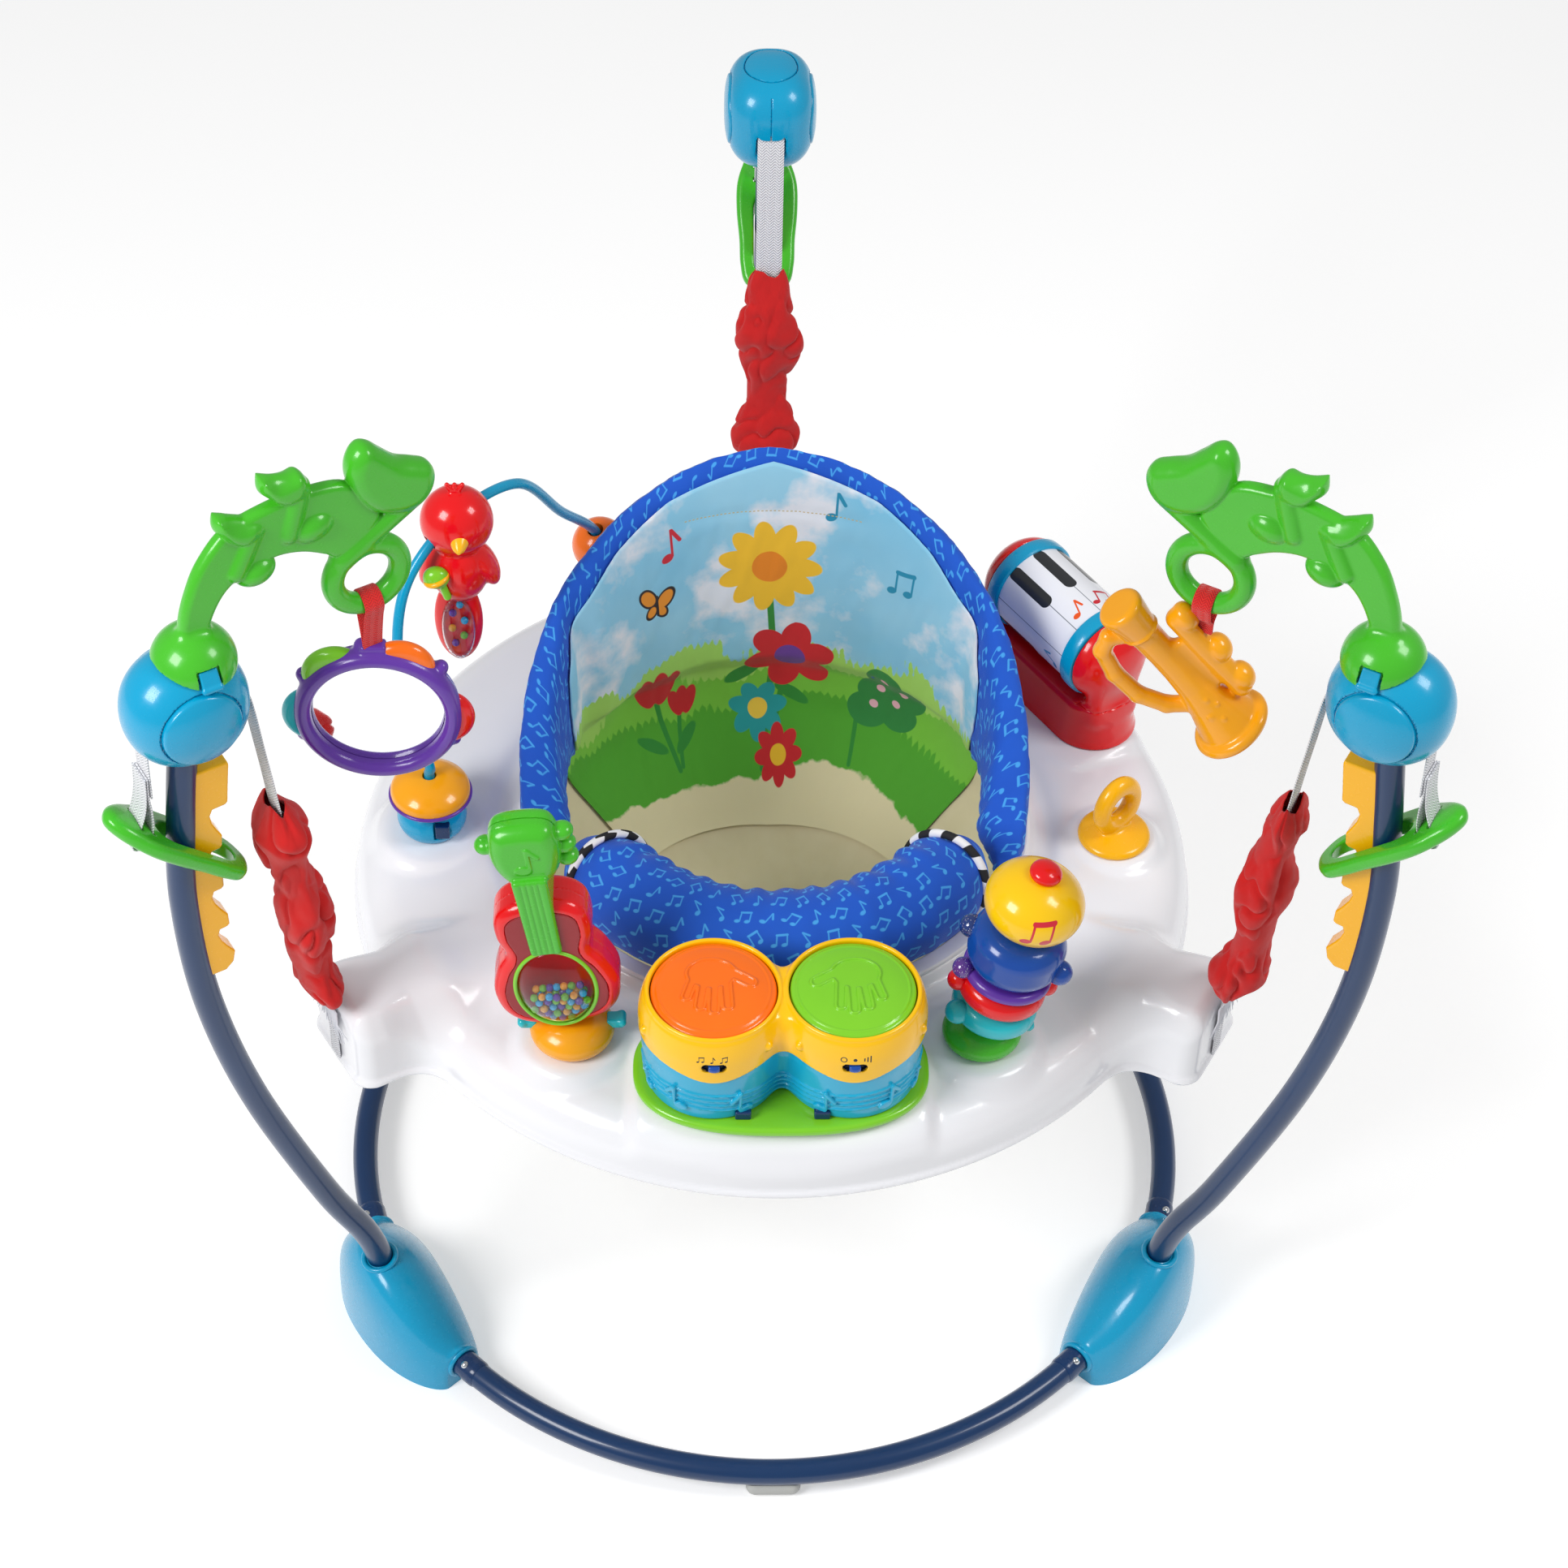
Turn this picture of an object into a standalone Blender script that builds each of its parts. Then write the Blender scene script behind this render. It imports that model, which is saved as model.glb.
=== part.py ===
"""Baby activity jumper, in metres with +Z up.

A floor ring with three posts carries a round play tray on three sprung webbing straps. The seat turns in
the tray, the toys stand on it, and two toys hang from arms on the front heads. The origin is on the floor,
under the middle of the whole object, and the child faces -Y.
"""

import math

import bmesh
import bpy
from mathutils import Matrix, Vector

SEAT_GAP = 0.0003
RUNNING_GAP = 0.0008
WALL = 0.003

RING_RADIUS = 0.362
TUBE_RADIUS = 0.011
RING_HEIGHT = 0.024
RING_END_GAP = 0.012
TUBE_SIDES = 10
RING_STEP = 12

FOOT_WIDTH = 0.086
FOOT_LENGTH = 0.166
FOOT_HEIGHT = 0.100
FOOT_OFFSET = 0.005

POST_FOOT_RADIUS = 0.385
POST_BOW_RADIUS = 0.509
POST_BOW_HEIGHT = 0.610
POST_TOP_GAP = 0.026

HEAD_RADIUS_OUT = 0.488
HEAD_HEIGHT = 0.800
HEAD_DIAMETER = 0.092
HEAD_WIDTH = 0.080
HEAD_SIDES = 14
HEAD_RINGS = 7

WEBBING_WIDTH = 0.0225
WEBBING_THICKNESS = 0.0014
WEBBING_SLOT = 0.0045

NOTCHES = 4
NOTCH_PITCH = 0.041
STEPS_UP = 2
STEPS_DOWN = 1
NOTCH_DEPTH = 0.008
RACK_DEPTH = 0.010
RACK_WIDTH = 0.016
SLIDER_HEIGHT = 0.668
SLIDER_TILT = math.radians(45)
SLIDER_WIDTH = 0.054
SLIDER_THICKNESS = 0.012
SLIDER_LEVER = 0.052
SLIDER_BAR = 0.007
SLIDER_SLOTS = (0.038, 0.050)
SLIDER_SLOT = 0.025

TRAY_RADIUS = 0.345
TRAY_DECK = 0.430
TRAY_RIM = 0.372
LOBE_REACH = 0.402
LOBE_WIDTH = 0.088
LOBE_CORNER = 0.014
LOBE_FILLET = 0.030
LOBE_TOP = 0.445
LIP_RISE = 0.007

SEAT_HOLE_RADIUS = 0.200
SEAT_FLANGE = 0.010
SEAT_SIDES = 24
SEAT_FLANGE_THICKNESS = 0.004
SEAT_BACK_HEIGHT = 0.212
SEAT_BACK_DEPTH = 0.034
SEAT_BACK_LEAN = 0.016
SEAT_ROLL_RADIUS = 0.040
SEAT_DEPTH = 0.175
LEG_HOLE_RADIUS = 0.050
LEG_HOLE_SPACING = 0.130

SLEEVE_TOP = 0.668
SLEEVE_BOTTOM = 0.449
SLEEVE_RADIUS = 0.0165
SLEEVE_RUFFLES = 5
SLEEVE_FOOT = 0.008
SPRING_RADIUS = 0.0085
SPRING_WIRE = 0.0011
SPRING_TURNS = 4

TOY_CIRCLE = 0.281
STUD_RADIUS = 0.008
STUD_LENGTH = 0.007
STUD_SIDES = 7
DRUM_RADIUS = 0.0555
DRUM_SPACING = 0.105
DRUM_CENTRE = 0.271
DRUM_BODY_HEIGHT = 0.048
DRUM_BEZEL_HEIGHT = 0.042
DRUM_PAD_RADIUS = 0.048
DRUM_PAD_TRAVEL = 0.0025
DRUM_PLATE_THICKNESS = 0.008
SWITCH_LENGTH = 0.009
SWITCH_DEPTH = 0.0065
SWITCH_HEIGHT = 0.006
SWITCH_TRAVEL = 0.004

ROLLER_RADIUS = 0.0385
ROLLER_LENGTH = 0.116
ROLLER_RING = 0.0025
PIANO_CIRCLE = 0.296
PIANO_BASE_WIDTH = 0.074
PIANO_AXLE_RADIUS = 0.004
PIANO_AXIS_RISE = 0.084

LOOP_TOY_RADIUS = 0.027
LOOP_RING_RADIUS = 0.0165
LOOP_RING_WIRE = 0.0075

GUITAR_BASE_RADIUS = 0.033
GUITAR_BODY_HEIGHT = 0.136
GUITAR_BODY_WIDTH = 0.096
GUITAR_THICKNESS = 0.030
GUITAR_NECK_WIDTH = 0.020
GUITAR_LEAN = math.radians(8)

STACK_LEAN = math.radians(11.3)
STACK_RADIUS = 0.034
STACK_STEM_RADIUS = 0.005
STACK_BALL_RADIUS = 0.0385

ARCH_TUBE_RADIUS = 0.0043
ARCH_TOP = 0.705
ARCH_DISC_RADIUS = 0.033
BEAD_RADIUS = 0.024
BEAD_HEIGHT = 0.540
BIRD_OFFSET = 0.080
BIRD_HALF = (0.027, 0.026, 0.030)

ARM_THICKNESS = 0.016
ARM_LOOP_RADIUS = 0.034
ARM_LOOP_HOLE = 0.018
ARM_CAP_RADIUS = 0.033
ARM_LENGTH = 0.123
ARM_LOOP_REACH = HEAD_RADIUS_OUT - 0.022 - ARM_LENGTH
ARM_LOOP_HEIGHT = HEAD_HEIGHT + 0.057
MIRROR_DROP = 0.134
MIRROR_RADIUS = 0.0605
MIRROR_THICKNESS = 0.022
MIRROR_GLASS_RADIUS = 0.048
HANGING_STRAP_WIDTH = 0.015
HANGING_STRAP_THICKNESS = 0.0016
TRUMPET_DROP = 0.091
TRUMPET_LENGTH = 0.158
TRUMPET_BELL_RADIUS = 0.028

POSTS = {"left": math.radians(210), "right": math.radians(330), "rear": math.radians(90)}

for leftover in list(bpy.data.objects):
    bpy.data.objects.remove(leftover, do_unlink=True)

parts = bpy.data.collections.new("baby_activity_jumper")
cutters = bpy.data.collections.new("cutters")
bpy.context.scene.collection.children.link(parts)
bpy.context.scene.collection.children.link(cutters)

slider_tip = POST_BOW_RADIUS - 0.004 + SLIDER_LEVER
front_reach = RING_RADIUS + TUBE_RADIUS
stand = bpy.data.objects.new("stand", None)
stand.location = (0, (front_reach - slider_tip) / 2, 0)
parts.objects.link(stand)


def paint(name, colour, roughness=0.35, metallic=0.0):
    """A material with the finish of one kind of piece."""
    material = bpy.data.materials.new(name)
    material.use_nodes = True
    shader = material.node_tree.nodes["Principled BSDF"]
    shader.inputs["Base Color"].default_value = (*colour, 1.0)
    shader.inputs["Roughness"].default_value = roughness
    shader.inputs["Metallic"].default_value = metallic
    material.diffuse_color = (*colour, 1.0)
    return material


NAVY = paint("navy_enamel", (0.01, 0.045, 0.12), 0.25)
SKY = paint("sky_blue_plastic", (0.01, 0.35, 0.62))
WHITE = paint("white_plastic", (0.85, 0.85, 0.88))
YELLOW = paint("yellow_plastic", (0.95, 0.50, 0.01))
GREEN = paint("green_plastic", (0.05, 0.42, 0.03))
LIME = paint("lime_plastic", (0.20, 0.58, 0.04))
RED = paint("red_plastic", (0.72, 0.01, 0.01))
ORANGE = paint("orange_plastic", (0.90, 0.16, 0.01))
PURPLE = paint("purple_plastic", (0.12, 0.04, 0.32))
BLUE = paint("blue_plastic", (0.01, 0.08, 0.35))
RUBBER = paint("grey_rubber", (0.35, 0.35, 0.36), 0.8)
STEEL = paint("spring_steel", (0.55, 0.56, 0.58), 0.3, 1.0)
MIRROR = paint("mirror_film", (0.85, 0.86, 0.88), 0.05, 1.0)
WEBBING = paint("white_webbing", (0.80, 0.80, 0.82), 0.9)
RED_CLOTH = paint("red_cloth", (0.60, 0.01, 0.01), 0.9)
BLUE_CLOTH = paint("blue_cloth", (0.01, 0.12, 0.60), 0.9)
SAND_CLOTH = paint("sand_cloth", (0.62, 0.54, 0.38), 0.9)
BLANK = paint("cutter", (1.0, 0.2, 0.2))


def add(name, data, material, place=Matrix(), carrier=None):
    """Puts an object under the stand, or under the empty that carries it."""
    piece = bpy.data.objects.new(name, data)
    parts.objects.link(piece)
    piece.parent = carrier or stand
    piece.matrix_basis = place
    if not data.materials:
        data.materials.append(material)
    return piece


def joint_empty(name, place):
    """An empty on the axis of a joint, which carries the pieces that move together."""
    empty = bpy.data.objects.new(name, None)
    parts.objects.link(empty)
    empty.parent = stand
    empty.matrix_basis = place
    return empty


def station(azimuth, radius=0.0, height=0.0, turn=0.0):
    """A place at this azimuth: local X points outward, Y along the circle and Z up."""
    return (
        Matrix.Rotation(azimuth, 4, "Z")
        @ Matrix.Translation((radius, 0, height))
        @ Matrix.Rotation(turn, 4, "Z")
    )


def upright(azimuth):
    """A place whose local X runs outward and whose local Y runs up, for outlines drawn side-on."""
    return station(azimuth) @ Matrix.Rotation(math.pi / 2, 4, "X")


def mesh_of(name, build):
    """A mesh made by a function that fills a bmesh."""
    bm = bmesh.new()
    build(bm)
    bmesh.ops.recalc_face_normals(bm, faces=bm.faces)
    mesh = bpy.data.meshes.new(name)
    bm.to_mesh(mesh)
    bm.free()
    mesh.shade_smooth()
    mesh.set_sharp_from_angle(angle=math.radians(38))
    return mesh


def turned(name, profile, material, place=Matrix(), steps=28, ring=False, carrier=None):
    """A profile of (radius, height) points, top to bottom on its outer side, turned about Z."""
    mesh = bpy.data.meshes.new(name)
    edges = [(i, i + 1) for i in range(len(profile) - 1)]
    if ring:
        edges.append((len(profile) - 1, 0))
    mesh.from_pydata([(radius, 0, height) for radius, height in profile], edges, [])
    piece = add(name, mesh, material, place, carrier)
    screw = piece.modifiers.new("Turn", "SCREW")
    screw.steps = screw.render_steps = steps
    screw.use_merge_vertices = True
    screw.merge_threshold = 0.00005
    return piece


def ellipsoid(name, half, material, place=Matrix(), around=24, rings=14, carrier=None):
    """A sphere stretched to these half sizes."""

    def build(bm):
        bmesh.ops.create_uvsphere(bm, u_segments=around, v_segments=rings, radius=1)
        bmesh.ops.scale(bm, vec=half, verts=bm.verts)

    return add(name, mesh_of(name, build), material, place, carrier)


def block(name, sides, material, place=Matrix(), rounding=0.0, carrier=None):
    """A box of these sides, with its edges rounded."""

    def build(bm):
        bmesh.ops.create_cube(bm, size=1)
        bmesh.ops.scale(bm, vec=sides, verts=bm.verts)

    piece = add(name, mesh_of(name, build), material, place, carrier)
    if rounding:
        bevel = piece.modifiers.new("Round", "BEVEL")
        bevel.width = rounding
        bevel.segments = 2
    return piece


def tube(name, points, radius, material, place=Matrix(), resolution=3, carrier=None):
    """A round tube or rod along these points."""
    curve = bpy.data.curves.new(name, "CURVE")
    curve.dimensions = "3D"
    curve.bevel_depth = radius
    curve.bevel_resolution = resolution
    curve.use_fill_caps = True
    spline = curve.splines.new("POLY")
    spline.points.add(len(points) - 1)
    for target, point in zip(spline.points, points):
        target.co = (*point, 1)
    spline.use_smooth = True
    return add(name, curve, material, place, carrier)


def plate(name, outlines, thickness, material, place=Matrix(), rounding=0.0, smooth=2, carrier=None):
    """Flat outlines in local XY, the first the edge and the others holes, given a thickness along Z."""
    curve = bpy.data.curves.new(name, "CURVE")
    curve.dimensions = "2D"
    curve.fill_mode = "BOTH"
    curve.extrude = thickness / 2 - rounding
    curve.bevel_depth = rounding
    curve.bevel_resolution = 0
    curve.offset = -rounding
    curve.resolution_u = smooth
    for outline in outlines:
        spline = curve.splines.new("BEZIER" if smooth > 1 else "POLY")
        if smooth > 1:
            spline.bezier_points.add(len(outline) - 1)
            for target, point in zip(spline.bezier_points, outline):
                target.co = (*point, 0)
                target.handle_left_type = target.handle_right_type = "AUTO"
        else:
            spline.points.add(len(outline) - 1)
            for target, point in zip(spline.points, outline):
                target.co = (*point, 0, 1)
        spline.use_cyclic_u = True
    return as_mesh(add(name, curve, material, place, carrier))


def loft(name, sections, material, place=Matrix(), carrier=None):
    """A closed skin over rings of equally many points, with its first and last ring filled."""

    def build(bm):
        rings = [[bm.verts.new(point) for point in section] for section in sections]
        for before, after in zip(rings, rings[1:]):
            for i in range(len(before)):
                j = (i + 1) % len(before)
                bm.faces.new((before[i], before[j], after[j], after[i]))
        bm.faces.new(list(reversed(rings[0])))
        bm.faces.new(rings[-1])

    return add(name, mesh_of(name, build), material, place, carrier)


def as_mesh(piece):
    """The same piece with its curve turned into a closed mesh, so that it can be cut and joined."""
    bpy.context.view_layer.update()
    graph = bpy.context.evaluated_depsgraph_get()
    mesh = bpy.data.meshes.new_from_object(piece.evaluated_get(graph))
    bm = bmesh.new()
    bm.from_mesh(mesh)
    bmesh.ops.remove_doubles(bm, verts=bm.verts, dist=0.000005)
    bmesh.ops.recalc_face_normals(bm, faces=bm.faces)
    bm.to_mesh(mesh)
    bm.free()
    mesh.shade_smooth()
    mesh.set_sharp_from_angle(angle=math.radians(38))
    name, carrier, place = piece.name, piece.parent, piece.matrix_basis.copy()
    bpy.data.objects.remove(piece)
    solid = bpy.data.objects.new(name, mesh)
    parts.objects.link(solid)
    solid.parent = carrier
    solid.matrix_basis = place
    return solid


def shape(piece, tool, operation="DIFFERENCE"):
    """Cuts a piece with a tool, or joins the tool to it, and keeps the tool out of the object."""
    step = piece.modifiers.new(tool.name, "BOOLEAN")
    step.operation = operation
    step.object = tool
    if tool.name in parts.objects:
        parts.objects.unlink(tool)
        cutters.objects.link(tool)
    tool.hide_render = True
    tool.display_type = "WIRE"
    return piece


def smooth_path(points, count):
    """Evenly spaced points on a smooth curve through these points."""
    points = [Vector(point) for point in points]
    ends = [2 * points[0] - points[1], *points, 2 * points[-1] - points[-2]]
    fine = []
    for i in range(len(points) - 1):
        a, b, c, d = ends[i : i + 4]
        for step in range(16):
            t = step / 16
            square = (2 * a - 5 * b + 4 * c - d) * t**2
            cube = (3 * b - a - 3 * c + d) * t**3
            fine.append((2 * b + (c - a) * t + square + cube) / 2)
    fine.append(points[-1])
    lengths = [0.0]
    for before, after in zip(fine, fine[1:]):
        lengths.append(lengths[-1] + (after - before).length)
    path = []
    k = 0
    for i in range(count):
        want = lengths[-1] * i / (count - 1)
        while k < len(lengths) - 2 and lengths[k + 1] < want:
            k += 1
        share = (want - lengths[k]) / (lengths[k + 1] - lengths[k])
        path.append(fine[k].lerp(fine[k + 1], share))
    return path


def circle(radius, count, centre=(0.0, 0.0), start=0.0, sweep=2 * math.pi):
    """Points on a circle or an arc in a plane."""
    closed = abs(sweep - 2 * math.pi) < 1e-9
    last = count if closed else count - 1
    return [
        (
            centre[0] + radius * math.cos(start + sweep * i / last),
            centre[1] + radius * math.sin(start + sweep * i / last),
        )
        for i in range(count)
    ]


def ribbon(name, path, width, near, far, material, place=Matrix(), carrier=None):
    """A flat strap along a path in the local XZ plane: near and far are its depths on the two sides."""
    sections = []
    for i, (x, z) in enumerate(path):
        before = Vector(path[max(i - 1, 0)])
        after = Vector(path[min(i + 1, len(path) - 1)])
        run = (after - before).normalized()
        side = Vector((-run.y, run.x))
        inner = (x + side.x * near, z + side.y * near)
        outer = (x - side.x * far, z - side.y * far)
        sections.append(
            [
                (inner[0], -width / 2, inner[1]),
                (inner[0], width / 2, inner[1]),
                (outer[0], width / 2, outer[1]),
                (outer[0], -width / 2, outer[1]),
            ]
        )
    return loft(name, sections, material, place, carrier)


def bore(radius):
    """The radius of a polygonal hole that a round piece of this radius passes."""
    return (radius + SEAT_GAP) / math.cos(math.pi / TUBE_SIDES)


# Floor ring: three bent tubes that meet inside the feet
def ring_points(start, end):
    """Points of the floor ring between two azimuths in degrees, on a polygon that its bores share."""
    half = RING_STEP / 2
    corners = range(math.ceil((start + 0.01) / RING_STEP), math.ceil(end / RING_STEP))
    points = []
    for azimuth in [start, *(RING_STEP * k for k in corners), end]:
        reach = RING_RADIUS * math.cos(math.radians(half))
        reach /= math.cos(math.radians(azimuth % RING_STEP - half))
        a = math.radians(azimuth)
        points.append((reach * math.cos(a), reach * math.sin(a), RING_HEIGHT))
    return points


half_gap = math.degrees(RING_END_GAP / 2 / RING_RADIUS)
for side, start, end in (("front", 210, 330), ("right", -30, 90), ("left", 90, 210)):
    tube(
        "base_tube_" + side,
        ring_points(start + half_gap, end - half_gap),
        TUBE_RADIUS,
        NAVY,
    )
ring_bore = tube("ring_bore", ring_points(6, 365.9), bore(TUBE_RADIUS), BLANK)
ring_bore = as_mesh(ring_bore)

# Rubber pad that keeps the front tube off the floor
pad = block(
    "base_pad",
    (0.046, 0.020, RING_HEIGHT - 0.006),
    RUBBER,
    station(math.radians(270), RING_RADIUS, (RING_HEIGHT - 0.006) / 2, math.pi / 2),
)
shape(pad, ring_bore)

# Posts: each starts in its foot, bows outward and ends in its head
post_top = HEAD_HEIGHT - POST_TOP_GAP
post_bulge = POST_BOW_RADIUS - POST_FOOT_RADIUS
post_route = [
    (POST_FOOT_RADIUS - 0.006, 0, RING_HEIGHT + TUBE_RADIUS + 0.012),
    (POST_FOOT_RADIUS, 0, FOOT_HEIGHT),
    (POST_FOOT_RADIUS + post_bulge * 0.10, 0, POST_BOW_HEIGHT * 0.238),
    (POST_FOOT_RADIUS + post_bulge * 0.33, 0, POST_BOW_HEIGHT * 0.352),
    (POST_FOOT_RADIUS + post_bulge * 0.73, 0, POST_BOW_HEIGHT * 0.598),
    (POST_FOOT_RADIUS + post_bulge * 0.944, 0, POST_BOW_HEIGHT * 0.811),
    (POST_BOW_RADIUS, 0, POST_BOW_HEIGHT),
    (POST_BOW_RADIUS - post_bulge * 0.056, 0, (POST_BOW_HEIGHT + post_top) / 2),
    (HEAD_RADIUS_OUT + 0.004, 0, post_top),
]
post_path = smooth_path(post_route, 12)


def post_radius_at(height):
    """How far out the middle of a post is at this height."""
    for before, after in zip(post_path, post_path[1:]):
        if before.z <= height <= after.z:
            return before.x + (after.x - before.x) * (height - before.z) / (after.z - before.z)
    return post_path[-1].x


bore_path = [
    post_path[0] + (post_path[0] - post_path[1]).normalized() * 0.0005,
    *post_path[1:-1],
    post_path[-1] + (post_path[-1] - post_path[-2]).normalized() * 0.0005,
]

# Route of the webbing, in the plane of a post: over the core of the head and down on both sides
half_head = HEAD_DIAMETER / 2
strap_inner = HEAD_RADIUS_OUT - half_head - 0.001
strap_outer = HEAD_RADIUS_OUT + half_head * 0.78
slider_reach = POST_BOW_RADIUS - 0.004
plate_rise = SLIDER_THICKNESS / 2 / math.cos(SLIDER_TILT)
strap_face = strap_outer + 0.001 + WEBBING_THICKNESS / 2
strap_low = SLIDER_HEIGHT + (strap_face - slider_reach) * math.tan(SLIDER_TILT) + plate_rise + SEAT_GAP
sleeve_lean = 0.122
spring_top = SLEEVE_TOP - 0.010


def spring_line(height):
    """How far out the middle of a spring and its strap is at this height."""
    return strap_inner - (HEAD_HEIGHT - 0.025 - height) * sleeve_lean * 0.8


webbing_route = [
    (strap_outer + 0.001, strap_low),
    (strap_outer, HEAD_HEIGHT - 0.035),
    (strap_outer - 0.002, HEAD_HEIGHT + 0.005),
    (strap_outer - 0.008, HEAD_HEIGHT + 0.021),
    (HEAD_RADIUS_OUT + 0.018, HEAD_HEIGHT + 0.028),
    (HEAD_RADIUS_OUT - 0.014, HEAD_HEIGHT + 0.028),
    (strap_inner + 0.018, HEAD_HEIGHT + 0.019),
    (strap_inner + 0.006, HEAD_HEIGHT + 0.000),
    (strap_inner, HEAD_HEIGHT - 0.025),
    (spring_line(0.5 * (HEAD_HEIGHT + SLEEVE_TOP) - 0.02), 0.5 * (HEAD_HEIGHT + SLEEVE_TOP) - 0.02),
    (spring_line(spring_top + SPRING_WIRE + 2 * SEAT_GAP), spring_top + SPRING_WIRE + 2 * SEAT_GAP),
]


# Sleeve: a cloth tube gathered over the spring, which ends as a flat webbing loop hooked under the lobe
def sleeve_sections():
    around = 10
    inner = SPRING_RADIUS + SPRING_WIRE + 2 * RUNNING_GAP
    widen = (WEBBING_WIDTH / 2 + 2 * RUNNING_GAP) / inner
    sections = []
    for height in (SLEEVE_BOTTOM + SLEEVE_FOOT, SLEEVE_TOP):
        sections.append([(spring_line(height) + x, y * widen, height) for x, y in circle(inner, around)])
    rings = 11
    for i in range(rings):
        share = i / (rings - 1)
        height = SLEEVE_TOP - 0.0005 + (SLEEVE_BOTTOM - SLEEVE_TOP) * share
        middle = spring_line(height)
        end = min(1.0, 6 * share, 6 * (1 - share))
        wave = 0.0012 * math.sin(share * SLEEVE_RUFFLES * 2 * math.pi)
        sway = 0.0008 * math.sin(share * 21) * end
        ring = []
        for k in range(around):
            a = 2 * math.pi * k / around
            fold = 0.0016 * math.sin(5 * a + 9 * share) + 0.0010 * math.sin(3 * a - 17 * share)
            radius = inner + 0.0012 + (SLEEVE_RADIUS - inner + wave + fold) * end
            ring.append((middle + sway + radius * math.cos(a), widen * radius * math.sin(a), height))
        sections.append(ring)
    return sections


def tail_route():
    """The flat webbing loop below the sleeve: down the end of the lobe and under its rim."""
    face = LOBE_REACH + WEBBING_THICKNESS / 2 + 2 * SEAT_GAP
    under = TRAY_RIM - WEBBING_THICKNESS / 2 - 2 * SEAT_GAP
    return [
        (spring_line(SLEEVE_BOTTOM), SLEEVE_BOTTOM + 0.004),
        (face + 0.003, LOBE_TOP - 0.010),
        (face + 0.0008, LOBE_TOP - 0.025),
        (face + 0.0006, TRAY_RIM + 0.006),
        (face - 0.001, under - 0.001),
        (face - 0.008, under - 0.0006),
        (face - 0.026, under - 0.0004),
    ]


# Rack: a strip on the inner side of the post whose downward ledges catch the slider
bar_height = SLIDER_HEIGHT - (RACK_DEPTH + TUBE_RADIUS + SLIDER_BAR / 2) * math.tan(SLIDER_TILT)
rest_ledge = bar_height + plate_rise + 0.004


def rack_outline():
    top = rest_ledge + NOTCH_PITCH + 0.040
    bottom = rest_ledge - (NOTCHES - 2) * NOTCH_PITCH - 0.045
    edge = []
    thick = RACK_DEPTH + NOTCH_DEPTH

    def inner(height, depth):
        return (post_radius_at(height) - TUBE_RADIUS - depth, height)

    edge.append(inner(top, RACK_DEPTH * 0.4))
    edge.append(inner(top - 0.004, thick + 0.004))
    for k in range(NOTCHES):
        ledge = rest_ledge + (1 - k) * NOTCH_PITCH
        edge.append(inner(ledge + 0.010, thick + (0.004 if k == 0 else 0)))
        edge.append(inner(ledge, thick + (0.004 if k == 0 else 0)))
        edge.append(inner(ledge - 0.0005, RACK_DEPTH - 0.002))
        edge.append(inner(ledge - 0.012, RACK_DEPTH + NOTCH_DEPTH * 0.35))
    edge.append(inner(bottom + 0.016, thick))
    edge.append(inner(bottom + 0.004, RACK_DEPTH))
    edge.append(inner(bottom, 0.001))
    steps = 5
    for i in range(steps):
        height = bottom + (top - bottom) * i / (steps - 1)
        edge.append((post_radius_at(height) - TUBE_RADIUS + 0.005, height))
    return edge


# Slider: a tilted leaf-shaped loop round the post and rack, with two slots for the webbing
travel_low = SLIDER_HEIGHT - STEPS_UP * NOTCH_PITCH
travel_high = SLIDER_HEIGHT + STEPS_DOWN * NOTCH_PITCH
reaches = [
    post_radius_at(travel_low - 0.06 + (travel_high - travel_low + 0.09) * i / 20) for i in range(21)
]
throat_front = max(reaches) + TUBE_RADIUS + RUNNING_GAP - slider_reach
throat_half = TUBE_RADIUS + RUNNING_GAP
bar_reaches = [post_radius_at(bar_height + (i - 12) * 0.01) for i in range(21)]
throat_back = slider_reach - min(bar_reaches) + TUBE_RADIUS + RACK_DEPTH + NOTCH_DEPTH + RUNNING_GAP
slider_back = (throat_back + SLIDER_BAR) / math.cos(SLIDER_TILT)
slider_front = SLIDER_LEVER / math.cos(SLIDER_TILT)


def slider_outline():
    half = SLIDER_WIDTH / 2
    front_side = [(0.35, 0.98), (0.66, 0.80), (0.90, 0.42)]
    back_side = [(0.92, 0.62), (0.62, 0.92)]
    edge = [(slider_front * x, -half * y) for x, y in reversed(front_side)]
    edge.append((0, -half))
    edge += [(-slider_back * x, -half * y) for x, y in reversed(back_side)]
    edge.append((-slider_back, 0))
    edge += [(-slider_back * x, half * y) for x, y in back_side]
    edge.append((0, half))
    edge += [(slider_front * x, half * y) for x, y in front_side]
    edge.append((slider_front, 0))
    return edge


def throat_outline():
    middle = throat_front - throat_half
    front = circle(throat_half / math.cos(math.pi / 12), 7, (middle, 0), -math.pi / 2, math.pi)
    return [(-throat_back, -throat_half), *front, (-throat_back, throat_half)]


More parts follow.
